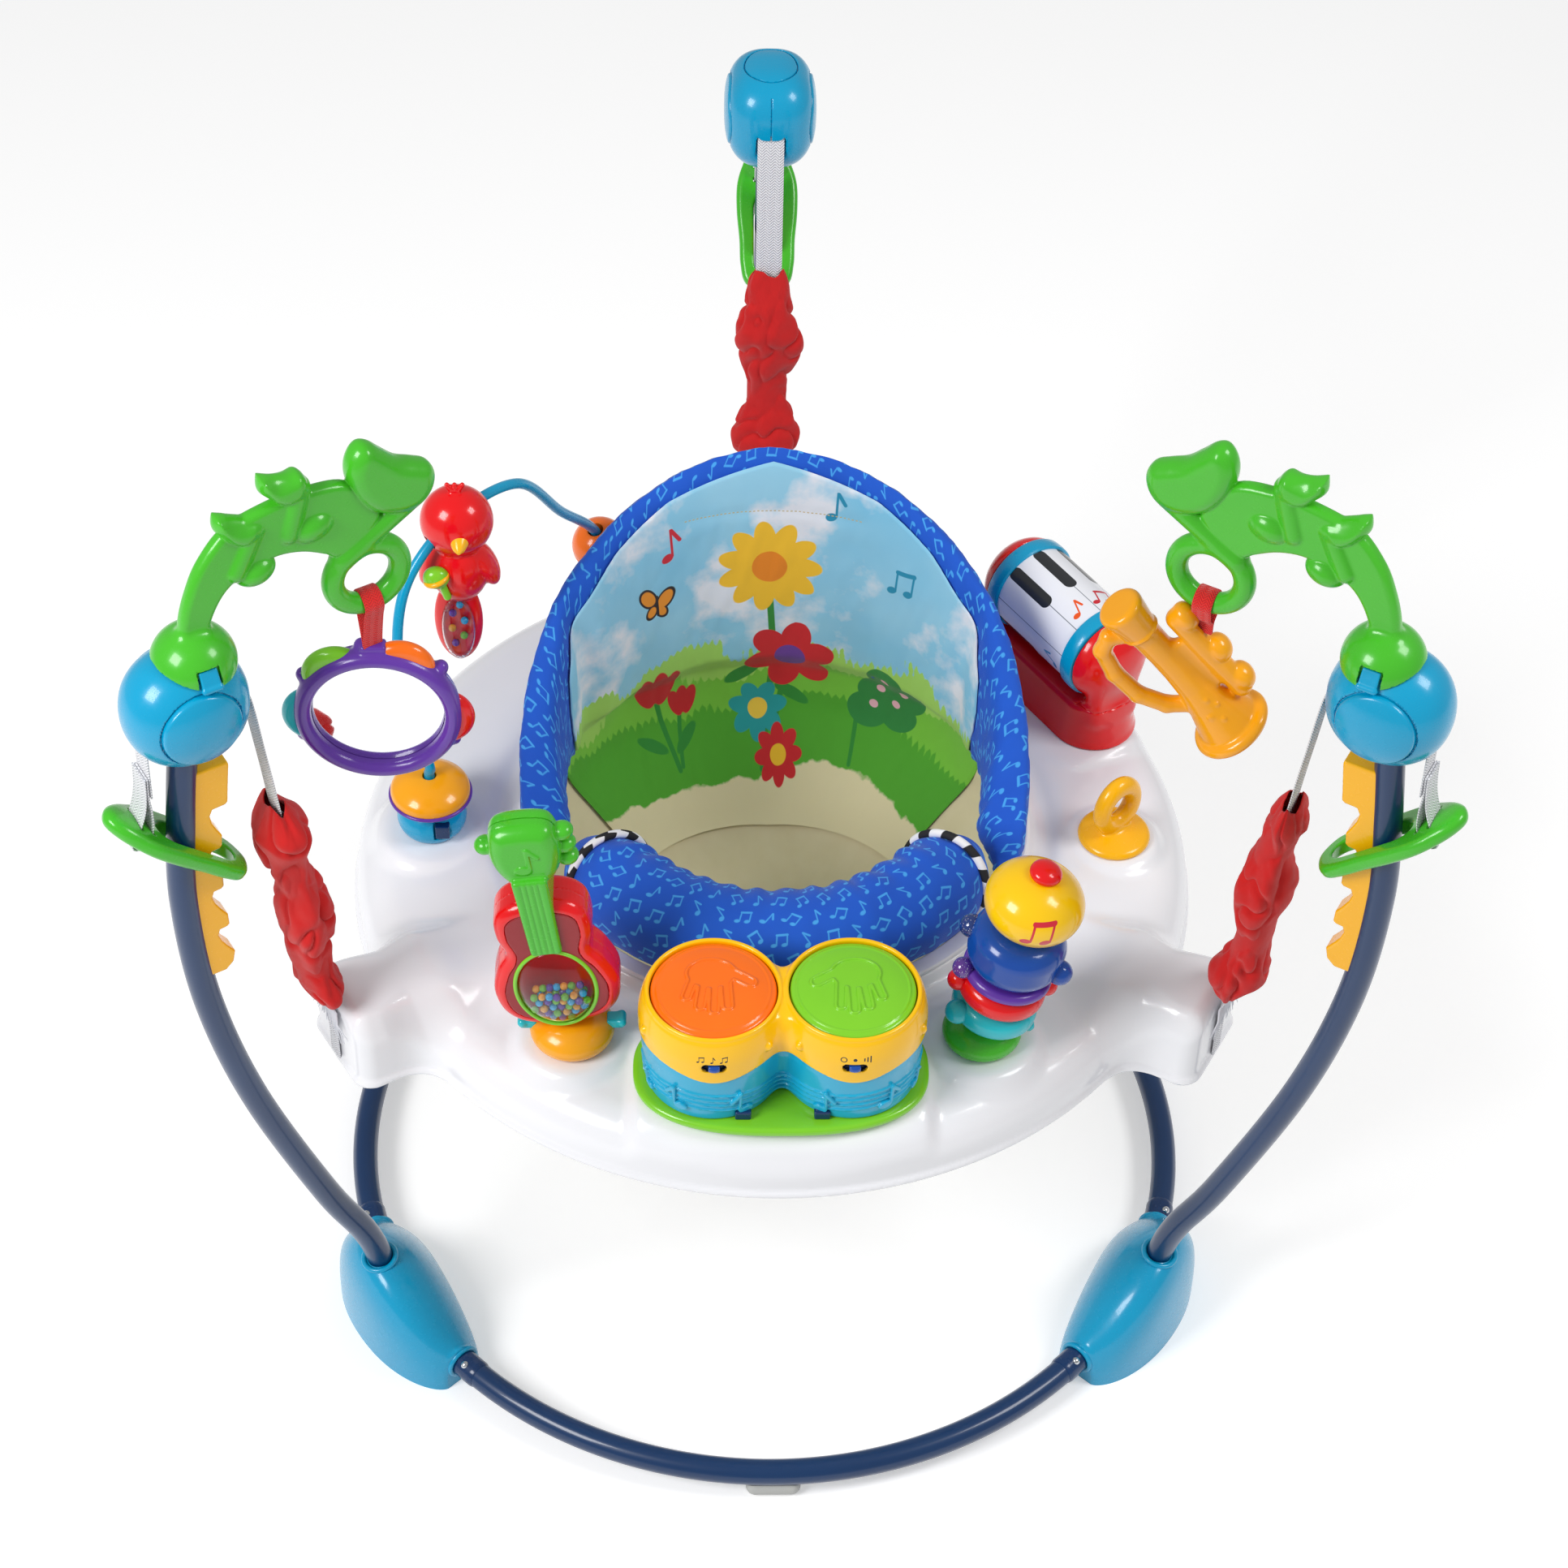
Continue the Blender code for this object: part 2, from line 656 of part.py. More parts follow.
# Foot: an egg-shaped housing over the ring, highest where the post goes in
def foot_sections():
    spread = FOOT_LENGTH / 2 / RING_RADIUS
    count = 9
    sections = []
    for i in range(count):
        u = -1 + 2 * i / (count - 1)
        swell = max(0.0, 1 - abs(u) ** 2.3) ** 0.62
        blunt = 0.017 + (FOOT_WIDTH / 2 - 0.017) * swell * (1 - 0.16 * u)
        tall = RING_HEIGHT + TUBE_RADIUS + 0.007
        height = tall + (FOOT_HEIGHT - tall) * max(0.0, 1 - (abs(u) * 1.04) ** 2) ** 1.15
        peak = (POST_FOOT_RADIUS - RING_RADIUS - FOOT_OFFSET) * swell
        a = u * spread
        ring = []
        for k in range(10):
            t = math.pi * k / 9
            across = RING_RADIUS + FOOT_OFFSET * swell + blunt * math.cos(t) + peak * math.sin(t) ** 2
            up = height * max(0.0, math.sin(t)) ** 0.85
            ring.append((across * math.cos(a), across * math.sin(a), up))
        sections.append(ring)
    return sections


for side, azimuth in POSTS.items():
    place = station(azimuth)
    tube("post_" + side, post_path, TUBE_RADIUS, NAVY, place)
    socket = as_mesh(tube("post_bore_" + side, bore_path, bore(TUBE_RADIUS) + 0.0001, BLANK, place))

    flip = Matrix.Scale(-1, 4, (0, 1, 0)) if side == "right" else Matrix()
    sections = [[flip @ Vector(point) for point in ring] for ring in foot_sections()]
    foot = loft("foot_" + side, sections, SKY, place)
    shape(foot, ring_bore)
    shape(foot, socket)

    head = ellipsoid(
        "head_" + side,
        (half_head, HEAD_WIDTH / 2, half_head),
        SKY,
        station(azimuth, HEAD_RADIUS_OUT, HEAD_HEIGHT),
        around=HEAD_SIDES,
        rings=HEAD_RINGS,
    )
    slot_route = list(webbing_route[1:9])
    slot_route[0] = (strap_outer + 0.0005, HEAD_HEIGHT - 0.060)
    slot_route[-1] = (strap_inner - 0.0035, HEAD_HEIGHT - 0.050)
    under = WEBBING_THICKNESS / 2 + SEAT_GAP
    slot = ribbon(
        "strap_slot_" + side, slot_route, WEBBING_WIDTH + 0.003, under, WEBBING_SLOT - under, BLANK, place
    )
    shape(head, slot)
    shape(head, socket)
    half_strap = WEBBING_THICKNESS / 2
    ribbon("webbing_" + side, webbing_route, WEBBING_WIDTH, half_strap, half_strap, WEBBING, place)

    rack = plate("rack_" + side, [rack_outline()], RACK_WIDTH, YELLOW, upright(azimuth), smooth=1)
    shape(rack, socket)

    tilt = (
        station(azimuth, slider_reach, SLIDER_HEIGHT)
        @ Matrix.Rotation(-SLIDER_TILT, 4, "Y")
    )
    slider = plate(
        "slider_" + side, [slider_outline()], SLIDER_THICKNESS, GREEN, tilt, rounding=0.003, smooth=1
    )
    upright_cut = station(azimuth, slider_reach, SLIDER_HEIGHT)
    throat = plate("slider_throat_" + side, [throat_outline()], 0.2, BLANK, upright_cut, smooth=1)
    shape(slider, throat)
    for number, along in enumerate(SLIDER_SLOTS):
        corners = [
            (along + 0.0018, -SLIDER_SLOT / 2),
            (along + 0.0018, SLIDER_SLOT / 2),
            (along - 0.0018, SLIDER_SLOT / 2),
            (along - 0.0018, -SLIDER_SLOT / 2),
        ]
        cut = plate("slider_slot_%s_%d" % (side, number), [corners], 0.04, BLANK, tilt, smooth=1)
        shape(slider, cut)

    sleeve = loft("spring_sleeve_" + side, sleeve_sections(), RED_CLOTH, place)
    tail = ribbon(
        "strap_tail_" + side, tail_route(), WEBBING_WIDTH, half_strap, half_strap, WEBBING, place
    )
    shape(sleeve, tail, "UNION")

    spring_low = SLEEVE_BOTTOM + SLEEVE_FOOT + SPRING_WIRE + 2 * SEAT_GAP
    coil = []
    per_turn = 8
    total = SPRING_TURNS * per_turn
    for i in range(total + 1):
        share = i / total
        height = spring_low + (spring_top - spring_low) * share
        a = 2 * math.pi * i / per_turn
        coil.append(
            (spring_line(height) + SPRING_RADIUS * math.cos(a), SPRING_RADIUS * math.sin(a), height)
        )
    coil[-1] = (spring_line(spring_top), 0, spring_top)
    tube("coil_spring_" + side, coil, SPRING_WIRE, STEEL, place, resolution=0)


# Tray: a moulded shell with a hole for the seat and three lobes that the straps hold
def rim_reach(azimuth):
    """How far out the rim is: a circle joined to three blunt arms with a fillet."""
    away = min(abs((azimuth - post + math.pi) % (2 * math.pi) - math.pi) for post in POSTS.values())
    near, far = TRAY_RADIUS * 0.9, LOBE_REACH * 1.1
    for _ in range(30):
        reach = (near + far) / 2
        along = max(0.0, reach * math.cos(away) - LOBE_REACH + LOBE_CORNER)
        across = max(0.0, reach * math.sin(away) - LOBE_WIDTH / 2 + LOBE_CORNER)
        arm = math.hypot(along, across) - LOBE_CORNER
        body = reach - TRAY_RADIUS
        fillet = max(0.0, LOBE_FILLET - abs(body - arm)) ** 2 / (4 * LOBE_FILLET)
        if min(body, arm) - fillet < 0:
            near = reach
        else:
            far = reach
    return reach


def tray_point(azimuth, row):
    reach = rim_reach(azimuth)
    lobe = min(1.0, max(0.0, (reach - TRAY_RADIUS) / (LOBE_REACH - TRAY_RADIUS)))
    hole = SEAT_HOLE_RADIUS
    rise = (LOBE_TOP - TRAY_DECK) * lobe
    rows = (
        (hole, TRAY_DECK - 0.030),
        (hole, TRAY_DECK + LIP_RISE),
        (hole + 0.010, TRAY_DECK + LIP_RISE),
        (hole + 0.015, TRAY_DECK),
        (reach - 0.030, TRAY_DECK + rise * 0.8),
        (reach - 0.010, TRAY_DECK - 0.009 * (1 - lobe) - 0.002 * lobe + rise),
        (reach - 0.001, TRAY_DECK - 0.026 * (1 - lobe) - 0.016 * lobe + rise),
        (reach, TRAY_RIM),
    )
    radius, height = rows[row]
    return (radius * math.cos(azimuth), radius * math.sin(azimuth), height)


def build_tray(bm):
    side = (3.4, 5.2, 6.2, 7.2, 8.6, 12, 20, 28, 36, 44, 52)
    sector = [0, *side, 60, *(120 - step for step in reversed(side))]
    turns = [math.radians(90 + lobe + step) for lobe in (0, 120, 240) for step in sector]
    around = len(turns)
    grid = [[bm.verts.new(tray_point(azimuth, row)) for azimuth in turns] for row in range(8)]
    for inner, outer in zip(grid, grid[1:]):
        for i in range(around):
            j = (i + 1) % around
            bm.faces.new((inner[i], outer[i], outer[j], inner[j]))


tray_mesh = mesh_of("tray", build_tray)
tray = add("tray", tray_mesh, WHITE)
shell = tray.modifiers.new("Wall", "SOLIDIFY")
shell.thickness = WALL
shell.offset = -1
shell.use_even_offset = True

# Round studs under the toys press into these holes of the deck
toy_places = {
    "guitar": math.radians(235),
    "drum": math.radians(270),
    "stack": math.radians(304),
    "loop": math.radians(357),
    "piano": math.radians(33),
    "arch": math.radians(120),
    "cymbal": math.radians(180),
}
deck = TRAY_DECK + SEAT_GAP


def stud(piece, place):
    """The stud under a toy, from inside its base down through the hole in the deck."""
    length = STUD_LENGTH + 0.004
    profile = [(0, 0.004), (STUD_RADIUS, 0.004), (STUD_RADIUS, 0.004 - length), (0, 0.004 - length)]
    pin = turned(piece.name + "_stud", profile, piece.data.materials[0], place, steps=STUD_SIDES)
    shape(piece, pin, "UNION")


for toy, azimuth in toy_places.items():
    if toy == "drum":
        azimuth -= DRUM_SPACING / 2 / DRUM_CENTRE
    hole_radius = (STUD_RADIUS + SEAT_GAP) / math.cos(math.pi / STUD_SIDES)
    profile = [(0, 0.02), (hole_radius, 0.02), (hole_radius, -0.02), (0, -0.02)]
    place = station(azimuth, TOY_CIRCLE, deck)
    hole = turned("stud_hole_" + toy, profile, BLANK, place, steps=STUD_SIDES)
    shape(tray, hole)

# Seat ring: a sleeve in the hole of the tray, with a flange on its lip and a snap bead below
lip = TRAY_DECK + LIP_RISE
sleeve_out = SEAT_HOLE_RADIUS - RUNNING_GAP
sleeve_in = sleeve_out - WALL
flange_low = lip + SEAT_GAP
flange_top = flange_low + SEAT_FLANGE_THICKNESS
bead_top = TRAY_DECK - 0.0325
turned(
    "seat_ring",
    [
        (sleeve_in, flange_top),
        (SEAT_HOLE_RADIUS + SEAT_FLANGE, flange_top),
        (SEAT_HOLE_RADIUS + SEAT_FLANGE, flange_low),
        (sleeve_out, flange_low),
        (sleeve_out, bead_top),
        (SEAT_HOLE_RADIUS + 0.0018, bead_top - 0.0015),
        (sleeve_in + 0.001, bead_top - 0.0095),
        (sleeve_in, bead_top - 0.0095),
    ],
    WHITE,
    steps=SEAT_SIDES,
    ring=True,
)

# Padded back: a cloth-covered wall round the rear of the opening, lower and thicker at its sides
back_base = flange_top + SEAT_GAP
back_half = math.radians(112)


def back_section(turn):
    """One upright section of the padded back, at this angle from its middle."""
    share = abs(turn) / back_half
    shoulder = max(0.0, 1 - (share / 0.86) ** 1.65)
    top = back_base + 0.040 + (SEAT_BACK_HEIGHT - 0.040) * shoulder
    top -= 0.030 * max(0.0, share - 0.86) / 0.14
    seam = math.exp(-(((share - 0.52) / 0.045) ** 2))
    depth = SEAT_BACK_DEPTH * (0.62 + 0.55 * share**2) * (1 - 0.30 * seam)
    depth *= min(1.0, 0.35 + 6 * (1 - share))
    outer = SEAT_HOLE_RADIUS + 0.0065
    height = top - back_base
    ring = []
    for along, across in (
        (0.00, 0.12), (0.00, 0.88), (0.10, 1.0), (0.50, 1.0), (0.90, 0.96), (0.99, 0.75),
        (0.99, 0.35), (0.88, 0.08), (0.60, -0.06), (0.30, -0.10), (0.07, 0.0),
    ):
        lean = SEAT_BACK_LEAN * (along * height / SEAT_BACK_HEIGHT) ** 1.5
        radius = outer + lean - depth * (1 - across)
        a = math.pi / 2 + turn
        ring.append((radius * math.cos(a), radius * math.sin(a), back_base + height * along))
    return ring


count = 21
turns = [back_half * (2 * i / (count - 1) - 1) for i in range(count)]
loft("seat_back_pad", [back_section(turn) for turn in turns], BLUE_CLOTH)

# Front roll: a stuffed arm rest that lies on the flange, drawn in at its ends
roll_reach = SEAT_HOLE_RADIUS + 0.006 - SEAT_ROLL_RADIUS
roll_height = flange_top + math.sqrt(SEAT_ROLL_RADIUS**2 - (sleeve_in - roll_reach) ** 2) + 3 * SEAT_GAP
roll_half = math.radians(65)


def roll_section(turn):
    share = abs(turn) / roll_half
    fat = SEAT_ROLL_RADIUS * (1 - 0.55 * max(0.0, (share - 0.72) / 0.28) ** 2.2)
    tuck = 0.012 * math.sin(turn * 26) * 0.06
    ring = []
    for k in range(10):
        t = 2 * math.pi * k / 10
        radius = roll_reach + (fat + tuck) * math.cos(t)
        up = roll_height + (fat + tuck) * math.sin(t) * (0.97 if math.sin(t) > 0 else 1.0)
        a = -math.pi / 2 + turn
        ring.append((radius * math.cos(a), radius * math.sin(a), up))
    return ring


count = 15
turns = [roll_half * (2 * i / (count - 1) - 1) for i in range(count)]
loft("seat_front_roll", [roll_section(turn) for turn in turns], BLUE_CLOTH)

# Cloth sling of the seat, sewn into the ring, with two holes for the legs
liner_radius = sleeve_in - SEAT_GAP
liner_top = flange_low
liner = turned(
    "seat_liner",
    [
        (liner_radius, liner_top),
        (liner_radius - 0.001, liner_top - 0.030),
        (liner_radius * 0.88, liner_top - SEAT_DEPTH * 0.46),
        (liner_radius * 0.66, liner_top - SEAT_DEPTH * 0.80),
        (liner_radius * 0.36, liner_top - SEAT_DEPTH * 0.96),
        (0, liner_top - SEAT_DEPTH),
    ],
    SAND_CLOTH,
    steps=SEAT_SIDES,
)
cloth = liner.modifiers.new("Cloth", "SOLIDIFY")
cloth.thickness = 0.0025
cloth.offset = -1
for side, direction in (("left", -1), ("right", 1)):
    leg = turned(
        "leg_hole_" + side,
        [(0, 0.16), (LEG_HOLE_RADIUS, 0.16), (LEG_HOLE_RADIUS, 0), (0, 0)],
        BLANK,
        Matrix.Translation((direction * LEG_HOLE_SPACING / 2, -0.03, liner_top - SEAT_DEPTH * 0.52))
        @ Matrix.Rotation(math.radians(112), 4, "X"),
        steps=10,
    )
    shape(liner, leg)

# Drum toy: base plate, twin housing, bezel, two sprung pads and two slide switches


def sector_outline(inner, outer, half, corner):
    """A ring sector about the tray's centre, at the front, with rounded corners."""
    middle = math.radians(270)
    ease = corner / outer
    near = corner / inner
    turns = (half - 0.29 * ease, half, half, half - 0.29 * near)
    reaches = (outer - 0.29 * corner, outer - corner, inner + corner, inner + 0.29 * corner)
    side = list(zip(reaches, turns))
    edge = circle(outer, 6, (0, 0), middle - half + ease, 2 * (half - ease))
    edge += [(r * math.cos(middle + a), r * math.sin(middle + a)) for r, a in side]
    edge += circle(inner, 6, (0, 0), middle + half - near, -2 * (half - near))
    edge += [(r * math.cos(middle - a), r * math.sin(middle - a)) for r, a in reversed(side)]
    return edge


def twin_outline(radius, rows):
    """Two round drums side by side, joined by a waist."""
    edge = []
    for side in (1, -1):
        centre = side * DRUM_SPACING / 2
        open_angle = math.acos(min(0.9, (DRUM_SPACING / 2 - 0.010) / radius))
        start = (-math.pi + open_angle) if side > 0 else open_angle
        edge += circle(radius, rows, (centre, -DRUM_CENTRE), start, 2 * math.pi - 2 * open_angle)
    return edge


plate_low = deck
plate_top = plate_low + DRUM_PLATE_THICKNESS
body_low = plate_top + SEAT_GAP
body_top = body_low + DRUM_BODY_HEIGHT
bezel_low = body_top + SEAT_GAP
bezel_top = bezel_low + DRUM_BEZEL_HEIGHT
base_plate = plate(
    "drum_base_plate",
    [sector_outline(SEAT_HOLE_RADIUS + 0.0165, TRAY_RADIUS - 0.010, math.radians(24.7), 0.024)],
    DRUM_PLATE_THICKNESS,
    GREEN,
    Matrix.Translation((0, 0, (plate_low + plate_top) / 2)),
    rounding=0.0015,
    smooth=1,
)
stud(base_plate, station(toy_places["drum"] - DRUM_SPACING / 2 / DRUM_CENTRE, TOY_CIRCLE, plate_low))
drum_body = plate(
    "drum_body",
    [twin_outline(DRUM_RADIUS, 12)],
    DRUM_BODY_HEIGHT,
    SKY,
    Matrix.Translation((0, 0, (body_low + body_top) / 2)),
    rounding=0.002,
    smooth=1,
)
bezel = plate(
    "drum_bezel",
    [twin_outline(DRUM_RADIUS + 0.0015, 12)],
    DRUM_BEZEL_HEIGHT,
    YELLOW,
    Matrix.Translation((0, 0, (bezel_low + bezel_top) / 2)),
    rounding=0.005,
    smooth=1,
)
for side, direction in (("left", -1), ("right", 1)):
    centre = Matrix.Translation((direction * DRUM_SPACING / 2, -DRUM_CENTRE, bezel_top))
    well_radius = DRUM_PAD_RADIUS + 0.0005
    well_depth = DRUM_PAD_TRAVEL + 0.009
    well = turned(
        "drum_well_" + side,
        [(0, 0.02), (well_radius, 0.02), (well_radius, -well_depth), (0, -well_depth)],
        BLANK,
        centre,
        steps=16,
    )
    shape(bezel, well)
    pad_low = -well_depth + DRUM_PAD_TRAVEL + SEAT_GAP
    turned(
        "drum_pad_" + side,
        [
            (0, 0.0035),
            (DRUM_PAD_RADIUS * 0.70, 0.0025),
            (DRUM_PAD_RADIUS * 0.93, 0.0005),
            (DRUM_PAD_RADIUS, -0.0015),
            (DRUM_PAD_RADIUS, pad_low),
            (0, pad_low),
        ],
        ORANGE if side == "left" else LIME,
        centre,
        steps=16,
    )
    front = -DRUM_CENTRE - DRUM_RADIUS - 0.0015
    switch_height = bezel_low + 0.4 * DRUM_BEZEL_HEIGHT
    switch_middle = front + 0.005 - SEAT_GAP - SWITCH_DEPTH / 2
    pocket = block(
        "switch_pocket_" + side,
        (SWITCH_LENGTH + 2 * SWITCH_TRAVEL + 0.001, 0.010, SWITCH_HEIGHT + 2 * SEAT_GAP),
        BLANK,
        Matrix.Translation((direction * DRUM_SPACING / 2, front, switch_height)),
    )
    shape(bezel, pocket)
    block(
        "drum_switch_" + side,
        (SWITCH_LENGTH, SWITCH_DEPTH, SWITCH_HEIGHT),
        BLUE,
        Matrix.Translation((direction * DRUM_SPACING / 2, switch_middle, switch_height)),
    )

# Piano toy: a long base with two bearing cheeks and a printed roller on stub axles between them
piano_place = station(toy_places["piano"], PIANO_CIRCLE, deck, math.pi / 2)
cheek_width = 0.024
piano_length = ROLLER_LENGTH + 2 * (RUNNING_GAP + cheek_width)
end_radius = PIANO_BASE_WIDTH / 2
obround = circle(end_radius, 6, (piano_length / 2 - end_radius, 0), -math.pi / 2, math.pi)
obround += circle(end_radius, 6, (end_radius - piano_length / 2, 0), math.pi / 2, math.pi)
base_height = PIANO_AXIS_RISE - ROLLER_RADIUS - ROLLER_RING - RUNNING_GAP
piano_base = plate(
    "piano_base",
    [obround],
    base_height,
    RED,
    piano_place @ Matrix.Translation((0, 0, base_height / 2)),
    rounding=0.004,
    smooth=1,
)
for side, direction in (("left", -1), ("right", 1)):
    inner_face = ROLLER_LENGTH / 2 + RUNNING_GAP
    cheek = turned(
        "piano_cheek_" + side,
        [
            (0, cheek_width),
            (ROLLER_RADIUS * 0.55, cheek_width * 0.88),
            (ROLLER_RADIUS * 0.88, cheek_width * 0.52),
            (ROLLER_RADIUS, 0),
            (PIANO_AXLE_RADIUS, 0),
            (PIANO_AXLE_RADIUS, -0.010),
            (0, -0.010),
        ],
        RED,
        piano_place
        @ Matrix.Translation((direction * inner_face, 0, PIANO_AXIS_RISE))
        @ Matrix.Rotation(direction * math.pi / 2, 4, "Y"),
        steps=14,
    )
    shape(piano_base, cheek, "UNION")
    cheek_post = block(
        "piano_post_" + side,
        (cheek_width * 0.62, 0.050, PIANO_AXIS_RISE - base_height / 2),
        RED,
        piano_place
        @ Matrix.Translation(
            (
                direction * (inner_face + cheek_width * 0.31),
                0,
                (PIANO_AXIS_RISE + base_height / 2) / 2,
            )
        ),
    )
    shape(piano_base, cheek_post, "UNION")
stud(piano_base, station(toy_places["piano"], TOY_CIRCLE, deck))
half_roller = ROLLER_LENGTH / 2
band = ROLLER_RADIUS + ROLLER_RING
axle_bore = PIANO_AXLE_RADIUS + RUNNING_GAP
turned(
    "piano_roller",
    [
        (0, half_roller - 0.012),
        (axle_bore, half_roller - 0.012),
        (axle_bore, half_roller),
        (band, half_roller),
        (band, half_roller - 0.014),
        (ROLLER_RADIUS, half_roller - 0.016),
        (ROLLER_RADIUS, 0.016 - half_roller),
        (band, 0.014 - half_roller),
        (band, -half_roller),
        (axle_bore, -half_roller),
        (axle_bore, 0.012 - half_roller),
        (0, 0.012 - half_roller),
    ],
    WHITE,
    piano_place @ Matrix.Translation((0, 0, PIANO_AXIS_RISE)) @ Matrix.Rotation(math.pi / 2, 4, "Y"),
    steps=16,
)

# Loop toy: a dome that spins on its stud, with a standing ring to grip
loop_place = station(toy_places["loop"], TOY_CIRCLE, deck)
loop_toy = turned(
    "loop_toy",
    [
        (0, 0.019),
        (LOOP_TOY_RADIUS * 0.40, 0.016),
        (LOOP_TOY_RADIUS * 0.80, 0.008),
        (LOOP_TOY_RADIUS, 0.003),
        (LOOP_TOY_RADIUS, 0),
        (0, 0),
    ],
    YELLOW,
    loop_place,
    steps=12,
)


def grip_ring(name, place):
    profile = [
        (LOOP_RING_RADIUS + LOOP_RING_WIRE * math.cos(t), LOOP_RING_WIRE * math.sin(t))
        for t in (math.pi / 2 - 2 * math.pi * k / 6 for k in range(6))
    ]
    return turned(name, profile, YELLOW, place, steps=12, ring=True)


grip = grip_ring(
    "loop_grip",
    loop_place
    @ Matrix.Rotation(math.radians(40), 4, "Z")
    @ Matrix.Translation((0, 0, 0.013 + LOOP_RING_RADIUS + LOOP_RING_WIRE * 0.6))
    @ Matrix.Rotation(math.pi / 2, 4, "X"),
)
shape(loop_toy, grip, "UNION")
stud(loop_toy, loop_place)

# Guitar toy: a domed base with two clips, and a guitar that turns on its leaning stem
guitar_spot = station(toy_places["guitar"], TOY_CIRCLE, deck).translation
guitar_foot = Matrix.Translation(guitar_spot)
guitar_lean = guitar_foot @ Matrix.Rotation(-GUITAR_LEAN, 4, "Y")


base_rise = 0.028
guitar_base = turned(
    "guitar_base",
    [
        (0, base_rise),
        (GUITAR_BASE_RADIUS * 0.50, base_rise - 0.002),
        (GUITAR_BASE_RADIUS * 0.86, base_rise * 0.76),
        (GUITAR_BASE_RADIUS, base_rise * 0.40),
        (GUITAR_BASE_RADIUS * 0.92, 0),
        (0, 0),
    ],
    YELLOW,
    guitar_foot,
    steps=16,
)
stem_low = 0.012
stem = turned(
    "guitar_stem",
    [
        (0, base_rise + 0.012),
        (STACK_STEM_RADIUS, base_rise + 0.012),
        (STACK_STEM_RADIUS, stem_low),
        (0, stem_low),
    ],
    YELLOW,
    guitar_lean,
    steps=10,
)
shape(guitar_base, stem, "UNION")
stud(guitar_base, guitar_foot)

body_foot = base_rise + 0.0055
guitar_plane = guitar_lean @ Matrix.Rotation(math.pi / 2, 4, "X")
half_body = GUITAR_BODY_WIDTH / 2
guitar_side = [
    (0.45, 0.00), (0.88, 0.10), (1.00, 0.28), (0.86, 0.46),
    (0.66, 0.58), (0.74, 0.72), (0.66, 0.88), (0.34, 0.97),
]
guitar_edge = [(half_body * x, body_foot + GUITAR_BODY_HEIGHT * y) for x, y in guitar_side]
guitar_edge += [(-half_body * x, body_foot + GUITAR_BODY_HEIGHT * y) for x, y in reversed(guitar_side)]
guitar_body = plate(
    "guitar_body", [guitar_edge], GUITAR_THICKNESS, RED, guitar_plane, rounding=0.005, smooth=1
)
stem_bore = turned(
    "guitar_bore",
    [
        (0, base_rise + 0.0135),
        (STACK_STEM_RADIUS + SEAT_GAP * 2, base_rise + 0.0135),
        (STACK_STEM_RADIUS + SEAT_GAP * 2, 0),
        (0, 0),
    ],
    BLANK,
    guitar_lean,
    steps=10,
)
window = ellipsoid(
    "guitar_window",
    (half_body * 0.62, GUITAR_BODY_HEIGHT * 0.30, GUITAR_THICKNESS * 0.62),
    RED,
    guitar_plane @ Matrix.Translation((0, body_foot + GUITAR_BODY_HEIGHT * 0.32, 0)),
    around=12,
    rings=7,
)
shape(guitar_body, window, "UNION")

neck_low = body_foot + GUITAR_BODY_HEIGHT * 0.55
neck_top = body_foot + GUITAR_BODY_HEIGHT + 0.020
head_top = neck_top + 0.052
half_neck = GUITAR_NECK_WIDTH / 2
neck_side = [
    (half_neck, neck_low), (half_neck, neck_top),
    (half_neck * 2.1, neck_top + 0.010), (half_neck * 2.5, neck_top + 0.028),
    (half_neck * 2.2, head_top - 0.012), (half_neck * 1.2, head_top),
]
neck_edge = neck_side + [(-x, y) for x, y in reversed(neck_side)]
neck = plate("guitar_neck", [neck_edge], 0.022, GREEN, guitar_plane, rounding=0.005, smooth=1)
for rise, direction in ((0.012, 1), (0.024, 1), (0.036, 1), (0.030, -1)):
    peg = ellipsoid(
        "guitar_peg_%d_%d" % (round(rise * 1000), direction),
        (0.009, 0.0055, 0.006),
        GREEN,
        guitar_plane @ Matrix.Translation((direction * half_neck * 2.6, neck_top + rise, 0)),
        around=6,
        rings=4,
    )
    shape(neck, peg, "UNION")
shape(guitar_body, neck, "UNION")
shape(guitar_body, stem_bore)

# Stacking toy: two fat rings on the leaning stem of a domed base, under a ball
stack_spot = station(toy_places["stack"], TOY_CIRCLE, deck).translation
stack_foot = Matrix.Translation(stack_spot)
stack_lean = stack_foot @ Matrix.Rotation(STACK_LEAN, 4, "Y")
stack_base_height = 0.024
stack_rise = 0.028
lower_height = 0.045
upper_height = 0.055
stem_top = stack_rise + lower_height + upper_height + 0.020
stack_base = turned(
    "stack_base",
    [
        (0, stack_base_height),
        (0.016, stack_base_height),
        (0.026, stack_base_height * 0.78),
        (0.030, stack_base_height * 0.42),
        (0.029, stack_base_height * 0.15),
        (0.027, 0),
        (0, 0),
    ],
    GREEN,
    stack_foot,
    steps=14,
)
stem = turned(
    "stack_stem",
    [(0, stem_top), (STACK_STEM_RADIUS, stem_top), (STACK_STEM_RADIUS, 0.010), (0, 0.010)],
    GREEN,
    stack_lean,
    steps=10,
)
collar = turned(
    "stack_collar",
    [(0, stack_rise), (0.013, stack_rise), (0.013, 0.010), (0, 0.010)],
    GREEN,
    stack_lean,
    steps=10,
)
shape(stack_base, collar, "UNION")
shape(stack_base, stem, "UNION")
stud(stack_base, stack_foot)


